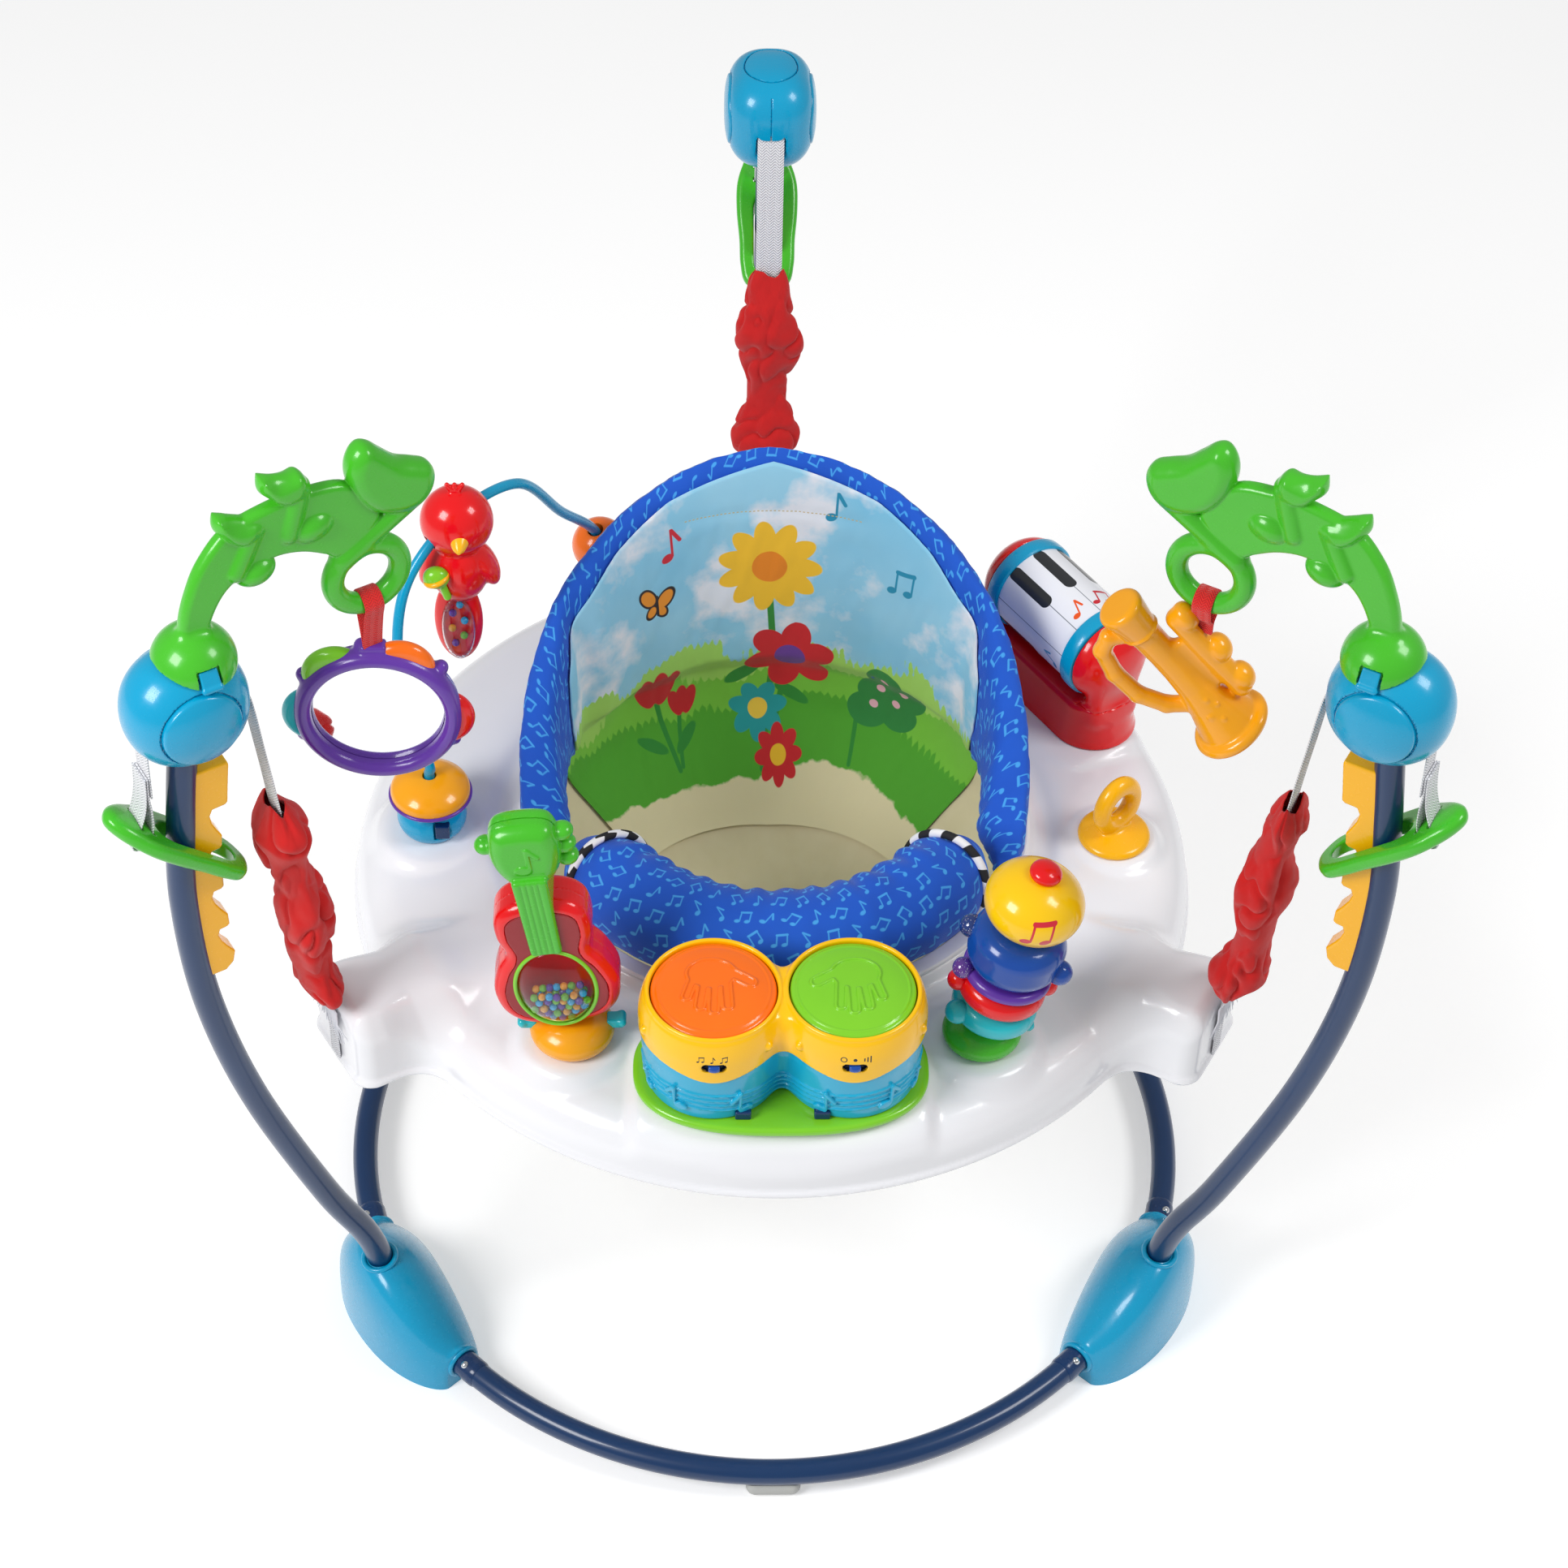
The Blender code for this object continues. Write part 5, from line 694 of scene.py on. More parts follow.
def slider_form(p):
    x, y, z = p
    c, s = cos(SLIDER_TILT), sin(SLIDER_TILT)
    form = slab(edge_distance(slider_outline, x, y), z, 0.006, 0.005)
    form = join(form, egg(p, (0.052, 0, 0.001), (0.0215, 0.0185, 0.007)), 0.004)
    across = maximum(np.abs(c * x - s * z - (throat_front - throat_back) / 2) - (throat_front + throat_back) / 2
        + 0.0105, 0)
    beside = maximum(np.abs(y) - 0.0118 + 0.0105, 0)
    form = cut(form, np.sqrt(across**2 + beside**2) - 0.0105, 0.0022)
    for along in (0.038, 0.05):
        form = cut(form, box_field(p, (along, 0, 0), (0.0019, 0.0124, 0.02), 0.0015), 0.001)
    return form


slider_shape = cast(slider_form, (-0.066, -0.03, -0.01), (0.078, 0.03, 0.01), 0.0009)
SLIDER_GREEN = moulded("slider_green_abs", ("#3DB51F", "#47BE27", "#8CDD6A"))
for side, azimuth in POSTS.items():
    place = station(azimuth, SLIDER_REACH, SLIDER_HEIGHT) @ Matrix.Rotation(-SLIDER_TILT, 4, "Y")
    piece("height_slider_" + side, slider_shape, SLIDER_GREEN, "slider_" + side, place, ["slider_" + side])

# Webbing: white polyester, 22.5 mm wide and 1.4 mm thick, woven in herringbone ribs of about 1.3 mm.
# One end is sewn into a loop on the slider; it runs over the bar in the head and down into the sleeve.
WEBBING_WIDTH = 0.0225
WEBBING_THICKNESS = 0.0014


def ripple(tree, along, rate):
    """A sine wave along a value, at this many radians a metre."""
    return add_node(tree, "Math", [add_node(tree, "Math", [along, rate], "MULTIPLY")], "SINE")


def woven(name, colours, rib, block, depth):
    """Narrow woven fabric: herringbone ribs of this pitch in blocks this wide, on the UV map in metres, with
    painted shade in the grooves between the ribs.
    """
    material, tree = blank_material(name)
    spot = add_node(tree, "UVMap", uv_map="weave")
    split = add_node(tree, "SeparateXYZ", [spot])
    zig = add_node(tree, "Math", [split.outputs["Y"], block], "PINGPONG")
    lean = add_node(tree, "Math", [split.outputs["X"], zig], "ADD")
    cross = ripple(tree, split.outputs["Y"], 4 * pi / rib)
    height = add_node(tree, "Math", [cross, 0.25, ripple(tree, lean, 2 * pi / rib)], "MULTIPLY_ADD")
    fuzz = add_node(tree, "TexNoise", {"Vector": spot, "Scale": 900.0})
    tone = add_node(tree, "MapRange", {"Value": height, "From Min": -1.1, "From Max": 0.6})
    # Painted shade: the low parts of the weave go toward the first, darker colour, varied by the fuzz noise.
    painted_groove_shade = add_node(tree, "Math", [tone, fuzz], "MULTIPLY")
    painted_groove_shade = add_node(tree, "Math", [tone, 0.6, painted_groove_shade], "MULTIPLY_ADD")
    colour = add_node(tree, "Mix", {"Factor": painted_groove_shade, 6: colours[0], 7: colours[1]}, data_type="RGBA")
    look = {"Base Color": colour, "Roughness": 0.8, "Sheen Weight": 0.25}
    finish(tree, look, height, 0.8, depth)
    return material


def strap(path, width, thickness, wave=0.0):
    """A flat strap along points of a radial plane (out, up), with rounded edges and its UV map in metres."""
    half, thin = width / 2, thickness / 2
    section = [(-half, -thin * 0.3), (-half + thin, -thin), (-half * 0.5, -thin), (0, -thin),
        (half * 0.5, -thin)]
    section += [(half - thin, -thin), (half, -thin * 0.3), (half, thin * 0.3), (half - thin, thin)]
    section += [(half * 0.5, thin), (0, thin), (-half * 0.5, thin), (-half + thin, thin), (-half, thin * 0.3)]
    rings, marks = [], []
    along = 0.0
    for i, point in enumerate(path):
        before, after = path[max(i - 1, 0)], path[min(i + 1, len(path) - 1)]
        run = Vector((after[0] - before[0], 0, after[1] - before[1])).normalized()
        side = Vector((-run.z, 0, run.x))
        along += (Vector(point) - Vector(before)).length
        sway = wave * sin(along * 90)
        rings.append([Vector((point[0], u, point[1])) + side * (v + sway * (u / half) ** 2) for u,
            v in section])
        marks += [(along, u) for u, v in section]
    return *skin(rings), marks


# The grey first colour is painted shade in the grooves of the weave; the second is the white of the threads.
WHITE_WEBBING = woven("white_herringbone_webbing", ("#B9BBC2", "#F6F6FA"), 0.0026, 0.0038, 0.00035)
# Bonded polyester thread: plain white, with a dull shine.
STITCH_THREAD, tree = blank_material("white_bonded_thread")
finish(tree, {"Base Color": "#D9DBE2", "Roughness": 0.6})
SPRING_RUN = 0.0976
STRAP_INNER = 0.441


def spring_line(height):
    """How far out the middle of a spring and its strap is at this height."""
    return STRAP_INNER - (HEAD_HEIGHT - 0.025 - height) * SPRING_RUN


def flat_route(points, count):
    """A smooth route in a radial plane."""
    return [(point.x, point.z) for point in smooth_path([(x, 0, z) for x, z in points], count)]


outer_route = flat_route([(0.5215, 0.8), (0.5235, 0.785), (0.524, 0.768), (0.5244, 0.748), (0.5248, 0.733)], 40)
loop_route = flat_route([(0.5262, 0.752), (0.5268, 0.734), (0.5262, 0.718), (0.5277, 0.7015), (0.5318, 0.695),
    (0.5362, 0.6903), (0.5405, 0.6885), (0.5442, 0.6915), (0.544, 0.6985), (0.5404, 0.7034), (0.5362, 0.7085),
    (0.5312, 0.722), (0.5288, 0.736), (0.528, 0.752)], 90)
inner_route = flat_route([(0.462, 0.822), (0.4505, 0.81), (0.4445, 0.797), (0.4412, 0.776),
    (spring_line(0.72), 0.72), (spring_line(0.65), 0.65)], 80)


def stitch_rows(route, first, last, width, lift):
    """Short threads in rows across a strap."""
    shapes = []
    rising = sorted((z, x) for x, z in route)
    for height in (first, last):
        out = float(np.interp(height, *zip(*rising)))
        for k in range(7):
            y = width * (k - 3) / 7.5
            a, b = Vector((out + lift, y - 0.0009, height)), Vector((out + lift, y + 0.0009, height))
            shapes.append(skin(tube_rings([a, a.lerp(b, 0.5) + Vector((0.0003, 0, 0)), b], 0.0003, 6)))
    return merged(*shapes)


for side, azimuth in POSTS.items():
    place = station(azimuth)
    for name, shape, material, replaced in (("webbing_outer_", strap(outer_route, WEBBING_WIDTH,
            WEBBING_THICKNESS), WHITE_WEBBING, ["webbing_" + side]),
            ("webbing_loop_", strap(loop_route, WEBBING_WIDTH, WEBBING_THICKNESS, 0.0002), WHITE_WEBBING, ()),
            ("webbing_stitches_", stitch_rows(outer_route, 0.74, 0.749, WEBBING_WIDTH, -0.0011), STITCH_THREAD,
            ())):
        run = piece(name + side, shape, material, None, place, replaced)
        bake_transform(run)
    shape = strap(inner_route, WEBBING_WIDTH, WEBBING_THICKNESS, 0.0001)
    run = piece("webbing_inner_" + side, shape, WHITE_WEBBING, None, place)
    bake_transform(run)

# Coil springs: wound from 2.2 mm zinc-plated wire. They sit inside the sleeves and are seen only when the
# cloth is pulled aside.
SLEEVE_TOP = 0.668
SLEEVE_BOTTOM = 0.449
SPRING_TURNS = 26
SPRING_WIRE = 0.0011
spring_path = []
for i in range(SPRING_TURNS * 14 + 1):
    share = i / (SPRING_TURNS * 14)
    height = SLEEVE_BOTTOM + 0.012 + (SLEEVE_TOP - SLEEVE_BOTTOM - 0.024) * share
    a = 2 * pi * i / 14
    spring_path.append(Vector((spring_line(height) + 0.0085 * cos(a), 0.0085 * sin(a), height)))
spring_shape = skin(tube_rings(spring_path, SPRING_WIRE, 8))
# Drawn spring wire, zinc-plated: a light grey metal with a soft shine along each turn.
SPRING_STEEL, tree = blank_material("zinc_plated_spring_wire")
finish(tree, {"Base Color": "#B9BDC2", "Metallic": 1.0, "Roughness": 0.3})
for side, azimuth in POSTS.items():
    place = station(azimuth)
    coil = piece("spring_" + side, spring_shape, SPRING_STEEL, None, place, ["coil_spring_" + side])
    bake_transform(coil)

# Spring sleeves: plain-woven red polyester tubes, cut 1.5 times too long and gathered over the springs, so
# that they crumple into soft rings. White webbing loops come out at both ends and hook under the lobes.


def printed_cloth(name, draw, thread, relief=0.4, roughness=0.82, sheen=0.15):
    """Plain-woven cloth with threads of this pitch; draw gives its colour from the UV map in metres."""
    material, tree = blank_material(name)
    spot = add_node(tree, "UVMap", uv_map="weave")
    split = add_node(tree, "SeparateXYZ", [spot])
    waves = [ripple(tree, split.outputs[axis], 2 * pi / thread) for axis in ("X", "Y")]
    grid = add_node(tree, "Math", waves, "MULTIPLY")
    look = {"Base Color": draw(tree, spot), "Roughness": roughness, "Sheen Weight": sheen,
        "Sheen Roughness": 0.4}
    finish(tree, look, grid, relief, 0.0002)
    return material


def plain_cloth(name, first, second):
    """Cloth dyed in one colour, with threads drawn 0.9 mm wide, where the real 0.3 mm wouldn't show."""

    def dye(tree, spot):
        drift = add_node(tree, "TexNoise", {"Vector": spot, "Scale": 40.0, "Detail": 4.0})
        return add_node(tree, "Mix", {"Factor": drift, 6: first, 7: second}, data_type="RGBA")

    return printed_cloth(name, dye, 0.0009, 0.5, 0.85, 0.2)


RED_CLOTH = plain_cloth("red_polyester_cloth", "#C40A0C", "#DB1512")
SLEEVE_AROUND = 96
SLEEVE_ROWS = 150


def sleeve_shape(seed, hand):
    """The gathered cloth tube: soft rings, slanting creases and pinched ends; its UV map in metres."""
    rings, marks = [], []
    for i in range(SLEEVE_ROWS + 1):
        share = i / SLEEVE_ROWS
        height = SLEEVE_TOP + 0.004 - (SLEEVE_TOP - SLEEVE_BOTTOM + 0.004) * share
        end = min(1.0, 7 * share + 0.12, 9 * (1 - share) + 0.1)
        swell = 0.0178 + 0.004 * sin(2 * pi * (2.2 * share + 0.02) + seed)
        sway = 0.0026 * sin(2 * pi * 1.3 * share + 0.6 + seed) * min(1.0, 4 * share, 4 * (1 - share))
        ring = []
        for k in range(SLEEVE_AROUND):
            a = 2 * pi * k / SLEEVE_AROUND
            spot = Vector((0.9 * cos(a), 0.9 * sin(a), 4.5 * share + seed))
            soft = noise.noise(spot * 1.3)
            slant = Vector((1.1 * cos(a + 2.2 * share), 1.1 * sin(a + 2.2 * share), 7.5 * share + 2 * seed))
            crease = 1 - abs(noise.noise(slant)) * 2.4
            fine = noise.noise(slant * 2.7)
            radius = max(0.0132, swell + 0.005 * soft - 0.0042 * max(0.0, crease) ** 3 + 0.0008 * fine)
            radius = 0.004 + (radius - 0.004) * end
            flat = 1.28 if end >= 1 else 1.28 + 1.3 * (1 - end)
            lift = 0.0035 * sin(3 * a + 2 * seed) * max(0.0, 1 - 9 * share) + 0.0016 * fine
            ring.append((spring_line(height) + sway + radius * cos(a), hand * flat * radius * sin(a),
                height + lift))
            marks.append((0.12 * k / SLEEVE_AROUND, 0.3 * share))
        rings.append(ring)
    return *skin(rings, capped=False), marks


for number, (side, azimuth) in enumerate(POSTS.items()):
    place = station(azimuth)
    shape = sleeve_shape(number * 1.7, -1 if side == "right" else 1)
    sleeve = piece("gathered_sleeve_" + side, shape, RED_CLOTH, None, place, ["spring_sleeve_" + side],
        180)
    cloth = sleeve.modifiers.new("Cloth", "SOLIDIFY")
    cloth.thickness = 0.0006
    cloth.offset = -1
    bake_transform(sleeve)

# Strap ends: the white webbing leaves each sleeve, runs down the end of its lobe and hooks under the rim, where
# a plastic T is sewn in. The cut ends are left loose and fray a little.
TRAY_DECK = 0.43
TRAY_RADIUS = 0.345
TRAY_RIM = 0.372
LOBE_REACH = 0.402
for side, azimuth in POSTS.items():
    face = LOBE_REACH + 0.0012
    route = flat_route([(spring_line(0.47), 0.47), (spring_line(0.449) + 0.0004, 0.449), (face + 0.0034, 0.438),
        (face + 0.0012, 0.422), (face + 0.0008, 0.395), (face + 0.0006, TRAY_RIM + 0.002),
        (face - 0.001, TRAY_RIM - 0.0012), (face - 0.006, TRAY_RIM - 0.0018),
        (face - 0.018, TRAY_RIM - 0.0012)], 60)
    shape = strap(route, 0.015, WEBBING_THICKNESS)
    piece("strap_end_" + side, shape, WHITE_WEBBING, "tray", station(azimuth))
    threads = []
    for k in range(26):
        across = (k - 12.5) * 0.00165
        hang = 0.01 + 0.007 * sin(k * 2.4) ** 2
        start = Vector((face + 0.0022, across * 0.55, 0.436))
        bend = start + Vector((0.0026, across * 0.35, -0.006))
        tip = start + Vector((0.0012 + 0.002 * sin(k * 1.7), across * 0.8, -hang - 0.006))
        threads.append(skin(tube_rings([start, bend, tip], lambda share: 0.001 * (1 - 0.75 * share), 6)))
    piece("strap_fringe_" + side, merged(*threads), STITCH_THREAD, "tray", station(azimuth))

# Tray: one large injection moulding in white polypropylene with a 3 mm wall. Round bosses carry the toys, three
# blunt arms reach out to the springs, and the rim is rolled to a bead.
LOBE_WIDTH = 0.088
LOBE_CORNER = 0.014
LOBE_FILLET = 0.03
LOBE_TOP = 0.445
SEAT_HOLE = 0.2
TOY_CIRCLE = 0.281
DECK = TRAY_DECK + 0.0003
TOY_PLACES = {"guitar": 235, "drum": 270, "stack": 304, "loop": 357, "piano": 33, "arch": 120, "cymbal": 180}
BOSS_RADIUS = {"guitar": 0.046, "stack": 0.048, "loop": 0.04, "arch": 0.04, "cymbal": 0.05}


def tray_plan(x, y):
    """Distance to the outline of the tray in plan: a disc joined to three blunt arms."""
    form = hypot(x, y) - TRAY_RADIUS
    for azimuth in POSTS.values():
        along = x * cos(azimuth) + y * sin(azimuth)
        across = y * cos(azimuth) - x * sin(azimuth)
        a, b = along - LOBE_REACH + LOBE_CORNER, np.abs(across) - LOBE_WIDTH / 2 + LOBE_CORNER
        arm = hypot(maximum(a, 0), maximum(b, 0)) + minimum(maximum(a, b), 0) - LOBE_CORNER
        form = join(form, np.where(along > 0, arm, 1.0), LOBE_FILLET)
    return form


def ramp(value, soft):
    """Nought below nought and the value above it, eased over this width."""
    return (value + np.sqrt(value * value + soft * soft)) / 2


def tray_height(x, y):
    """Height of the deck: it falls gently outward round bosses and arms and has a lip round the seat."""
    reach = hypot(x, y)
    share = clip((reach - 0.228) / 0.1, 0, 1)
    height = TRAY_DECK - 0.01 * share * share * (3 - 2 * share)
    height = height - 0.0035 * np.exp(-(((reach - 0.226) / 0.009) ** 2))
    for toy, radius in BOSS_RADIUS.items():
        a = radians(TOY_PLACES[toy])
        away = hypot(x - TOY_CIRCLE * cos(a), y - TOY_CIRCLE * sin(a)) - radius + 0.004
        height = -join(-height, 1.3 * ramp(away, 0.004) - TRAY_DECK, 0.006)
    for toy, half in (("drum", (0.055, 0.112)), ("piano", (0.046, 0.085))):
        a = radians(TOY_PLACES[toy])
        along = np.abs(x * cos(a) + y * sin(a) - 0.283) - half[0] + 0.02
        across = np.abs(y * cos(a) - x * sin(a)) - half[1] + 0.02
        away = hypot(maximum(along, 0), maximum(across, 0)) - 0.02
        height = -join(-height, 1.3 * ramp(away, 0.004) - TRAY_DECK, 0.006)
    for azimuth in POSTS.values():
        along = x * cos(azimuth) + y * sin(azimuth)
        across = np.abs(y * cos(azimuth) - x * sin(azimuth))
        slope = ramp(across - LOBE_WIDTH / 2 + 0.012, 0.006) + 0.4 * ramp(0.318 - along, 0.01)
        height = np.where(along > 0.1, -join(-height, slope - LOBE_TOP, 0.016), height)
    lip = 1.5 * ramp(reach - SEAT_HOLE - 0.0102, 0.001) - TRAY_DECK - 0.007
    return -join(-height, lip, 0.003)


def tray_form(p):
    x, y, z = p
    reach = hypot(x, y)
    plan = tray_plan(x, y)
    share = clip((reach - 0.35) / 0.03, 0, 1)
    soft = 0.032 - 0.017 * share
    across, up = plan + soft, z - tray_height(x, y) + soft
    outside = np.sqrt(maximum(across, 0) ** 2 + maximum(up, 0) ** 2)
    whole = outside + minimum(maximum(across, up), 0) - soft
    whole = maximum(whole, SEAT_HOLE - reach)
    shell = cut(whole, whole + 0.0075, 0.0008)
    floor_height = np.where(reach < SEAT_HOLE + 0.0055, TRAY_DECK - 0.03, TRAY_RIM)
    shell = maximum(shell, floor_height - z)
    bead = hypot(plan + 0.0006, z - TRAY_RIM - 0.0032) - 0.0036
    return join(shell, bead, 0.0025)


# Polypropylene from a polished mould: a broad clean gloss with hardly any orange peel.
WHITE_PLASTIC = moulded("white_polypropylene", ("#EDEEF2", "#F3F3F7", "#FFFFFF"), 0.2, 0.03)
piece("tray_moulding", cast(tray_form, (-0.41, -0.352, 0.366), (0.41, 0.41, 0.452), 0.0025), WHITE_PLASTIC,
    "tray", station(0), ["tray"])

# Seat ring: a white moulded sleeve that snaps into the hole of the tray and carries the cloth seat. Its flange
# slides on the lip, and a snap bead below keeps it in.
LIP = TRAY_DECK + 0.007
FLANGE_TOP = LIP + 0.0003 + 0.004
profile = [(0.1962, FLANGE_TOP - 0.001), (0.1972, FLANGE_TOP), (0.2088, FLANGE_TOP),
    (0.21, FLANGE_TOP - 0.0012), (0.21, LIP + 0.001), (0.2092, LIP + 0.0003), (0.1992, LIP + 0.0003),
    (0.1992, TRAY_DECK - 0.0325), (0.2018, TRAY_DECK - 0.034), (0.201, TRAY_DECK - 0.037),
    (0.1985, TRAY_DECK - 0.041), (0.1968, TRAY_DECK - 0.042), (0.1962, TRAY_DECK - 0.041)]
rings = []
for i in range(180):
    a = 2 * pi * i / 180
    rings.append([(r * cos(a), r * sin(a), z) for r, z in profile])
piece("seat_ring_moulding", skin(rings, closed=True), WHITE_PLASTIC, "seat", station(0), ["seat_ring"])

# Padded back and front roll: polyester print over foam and stuffing, royal blue with small light-blue notes.
# Cut panels are sewn edge to edge, so the cloth puckers at the seams and creases where it bends.


def blob(tree, spot, centre, half, turn=0.0):
    """Distance to an ellipse with this centre and these half sizes, turned by an angle."""
    moved = add_node(tree, "Mapping", {"Vector": spot, "Location": (*centre, 0), "Rotation": (0, 0, turn),
        "Scale": (*half, 1)}, vector_type="TEXTURE")
    reach = add_node(tree, "VectorMath", [moved], "LENGTH")
    return add_node(tree, "Math", [reach, min(half), -min(half)], "MULTIPLY_ADD")


def stroke(tree, spot, start, end, radius):
    """Distance to a stroke of this half width between two points."""
    run = Vector((end[0] - start[0], end[1] - start[1], 0))
    off = add_node(tree, "VectorMath", [spot, (*start, 0)], "SUBTRACT")
    share = add_node(tree, "VectorMath", [off, run / run.length_squared], "DOT_PRODUCT")
    share = add_node(tree, "Math", [share, 0.0], "ADD", use_clamp=True)
    foot = add_node(tree, "VectorMath", {0: run, "Scale": share}, "SCALE")
    away = add_node(tree, "VectorMath", [off, foot], "DISTANCE")
    return add_node(tree, "Math", [away, radius], "SUBTRACT")


def nearest(tree, *distances):
    """The least of several distances."""
    least = distances[0]
    for distance in distances[1:]:
        least = add_node(tree, "Math", [least, distance], "MINIMUM")
    return least


def paint(tree, under, distance, colour, soft=0.0003):
    """Ink of this colour wherever the distance is below nought."""
    mask = add_node(tree, "MapRange", {"Value": distance, "From Min": soft, "From Max": -soft})
    return add_node(tree, "Mix", {"Factor": mask, 6: under, 7: colour}, data_type="RGBA")


def single_note(tree, spot, size):
    """Distance to a quaver: an oval head, a stem and a tail."""
    head = blob(tree, spot, (-0.12 * size, -0.34 * size), (0.17 * size, 0.12 * size), 0.4)
    stem = stroke(tree, spot, (0.02 * size, -0.3 * size), (0.02 * size, 0.42 * size), 0.035 * size)
    tail = stroke(tree, spot, (0.04 * size, 0.4 * size), (0.24 * size, 0.1 * size), 0.055 * size)
    return nearest(tree, head, stem, tail)


def double_note(tree, spot, size):
    """Distance to two beamed quavers."""
    heads = [blob(tree, spot, (x * size, y * size), (0.16 * size, 0.11 * size), 0.4) for x,
        y in ((-0.32, -0.36), (0.22, -0.28))]
    stems = [stroke(tree, spot, (x * size, y * size), (x * size, (y + 0.62) * size), 0.035 * size) for x,
        y in ((-0.19, -0.34), (0.35, -0.26))]
    beam = stroke(tree, spot, (-0.19 * size, 0.28 * size), (0.35 * size, 0.36 * size), 0.07 * size)
    return nearest(tree, *heads, *stems, beam)


NOTE_PITCH = 0.0175


def scattered_notes(tree, spot):
    """Small notes, one to a cell of staggered rows, each turned its own way."""
    cells = add_node(tree, "VectorMath", {0: spot, "Scale": 1 / NOTE_PITCH}, "SCALE")
    split = add_node(tree, "SeparateXYZ", [cells])
    row = add_node(tree, "Math", [split.outputs["Y"]], "FLOOR")
    shifted = add_node(tree, "CombineXYZ", [add_node(tree, "Math", [row, 0.5], "MULTIPLY")])
    shifted = add_node(tree, "VectorMath", [cells, shifted], "ADD")
    cell = add_node(tree, "VectorMath", [shifted], "FLOOR")
    chance = add_node(tree, "TexWhiteNoise", {"Vector": cell}, noise_dimensions="2D")
    local = add_node(tree, "VectorMath", [add_node(tree, "VectorMath", [shifted], "FRACTION"), (0.5, 0.5, 0)],
        "SUBTRACT")
    angle = add_node(tree, "Math", [chance, 1.5, -0.75], "MULTIPLY_ADD")
    local = add_node(tree, "VectorRotate", {"Vector": local, "Angle": angle}, rotation_type="Z_AXIS")
    pick = add_node(tree, "Math", [add_node(tree, "Math", [add_node(tree, "Math", [chance, 7.0], "MULTIPLY")],
        "FRACT"), 0.36], "GREATER_THAN")
    pair, lone = double_note(tree, local, 0.74), single_note(tree, local, 0.78)
    drawn = add_node(tree, "Math", [add_node(tree, "Math", [pair, lone], "SUBTRACT"), pick, lone],
        "MULTIPLY_ADD")
    drift = add_node(tree, "TexNoise", {"Vector": spot, "Scale": 30.0, "Detail": 3.0})
    ground = add_node(tree, "Mix", {"Factor": drift, 6: "#0A50C4", 7: "#0D5FD8"}, data_type="RGBA")
    return paint(tree, ground, drawn, "#43A6F2", 0.02)


NOTE_CLOTH = printed_cloth("royal_blue_note_print", scattered_notes, 0.0008)
BACK_BASE = FLANGE_TOP + 0.0003
BACK_HEIGHT = 0.212
BACK_DEPTH = 0.034
BACK_LEAN = 0.016
BACK_HALF = radians(112)


def closed_curve(points, count):
    """A smooth closed curve through points of a plane, with its length up to each point."""
    points = [Vector(point) for point in points]
    ends = points[-1:] + points + points[:2]
    curve = [spot for i in range(len(points)) for spot in spots_between(*ends[i : i + 4], 12)]
    curve.append(curve[0])
    lengths = running_lengths(curve)
    marks = [lengths[-1] * i / count for i in range(count)]
    xs = np.interp(marks, lengths, [point[0] for point in curve])
    ys = np.interp(marks, lengths, [point[1] for point in curve])
    return list(zip(xs, ys, marks))


def back_section(turn):
    """One upright section of the padded back, at this angle from its middle."""
    share = min(1.0, abs(turn) / BACK_HALF)
    shoulder = max(0.0, 1 - (share / 0.86) ** 1.65)
    top = BACK_BASE + 0.04 + (BACK_HEIGHT - 0.04) * shoulder
    top -= 0.03 * max(0.0, share - 0.86) / 0.14
    seam = exp(-(((share - 0.52) / 0.045) ** 2))
    depth = BACK_DEPTH * (0.62 + 0.55 * share**2) * (1 - 0.3 * seam)
    depth *= min(1.0, 0.35 + 6 * (1 - share))
    height = top - BACK_BASE
    section = []
    for along, across in ((0.0, 0.12), (0.0, 0.88), (0.1, 1.0), (0.5, 1.0), (0.9, 0.96), (0.99, 0.75),
            (0.99, 0.35), (0.88, 0.08), (0.6, -0.06), (0.3, -0.1), (0.07, 0.0)):
        lean = BACK_LEAN * (along * height / BACK_HEIGHT) ** 1.5
        section.append((SEAT_HOLE + 0.0065 + lean - depth * (1 - across), BACK_BASE + height * along))
    return section


def swept(sections, turns, middle, radius, crease):
    """A stuffed form from sections (out, up) round the seat, creased along its normals, with its UV marks."""
    rings, marks = [], []
    for turn, section in zip(turns, sections):
        ring = []
        size = len(section)
        for k, (out, up, length) in enumerate(section):
            before, after = section[k - 1], section[(k + 1) % size]
            run = Vector((after[0] - before[0], after[1] - before[1])).normalized()
            lift = crease(turn, length, out, up)
            out, up = out + run[1] * lift, up - run[0] * lift
            ring.append((out * cos(middle + turn), out * sin(middle + turn), up))
            marks.append((turn * radius, length))
        rings.append(ring)
    return *skin(rings), marks


def back_crease(turn, length, out, up):
    low = exp(-(((up - BACK_BASE) / 0.03) ** 2))
    pucker = 0.0009 * sin(turn * 95 + 2 * sin(turn * 17)) * (0.25 + low)
    fold = 0.0016 * noise.noise(Vector((turn * 9, up * 16, 3.1)))
    return pucker + fold


turns = [BACK_HALF * (2 * i / 220 - 1) for i in range(221)]
shape = swept([closed_curve(back_section(t), 56) for t in turns], turns, pi / 2, 0.21, back_crease)
back_pad = piece("padded_back", shape, NOTE_CLOTH, "seat", station(0), ["seat_back_pad"], 60)

ROLL_RADIUS = 0.04
ROLL_REACH = SEAT_HOLE + 0.006 - ROLL_RADIUS
ROLL_HEIGHT = FLANGE_TOP + sqrt(ROLL_RADIUS**2 - (0.1962 - ROLL_REACH) ** 2) + 0.0009
ROLL_HALF = radians(65)


def roll_fat(turn):
    return ROLL_RADIUS * (1 - 0.55 * max(0.0, (abs(turn) / ROLL_HALF - 0.72) / 0.28) ** 2.2)


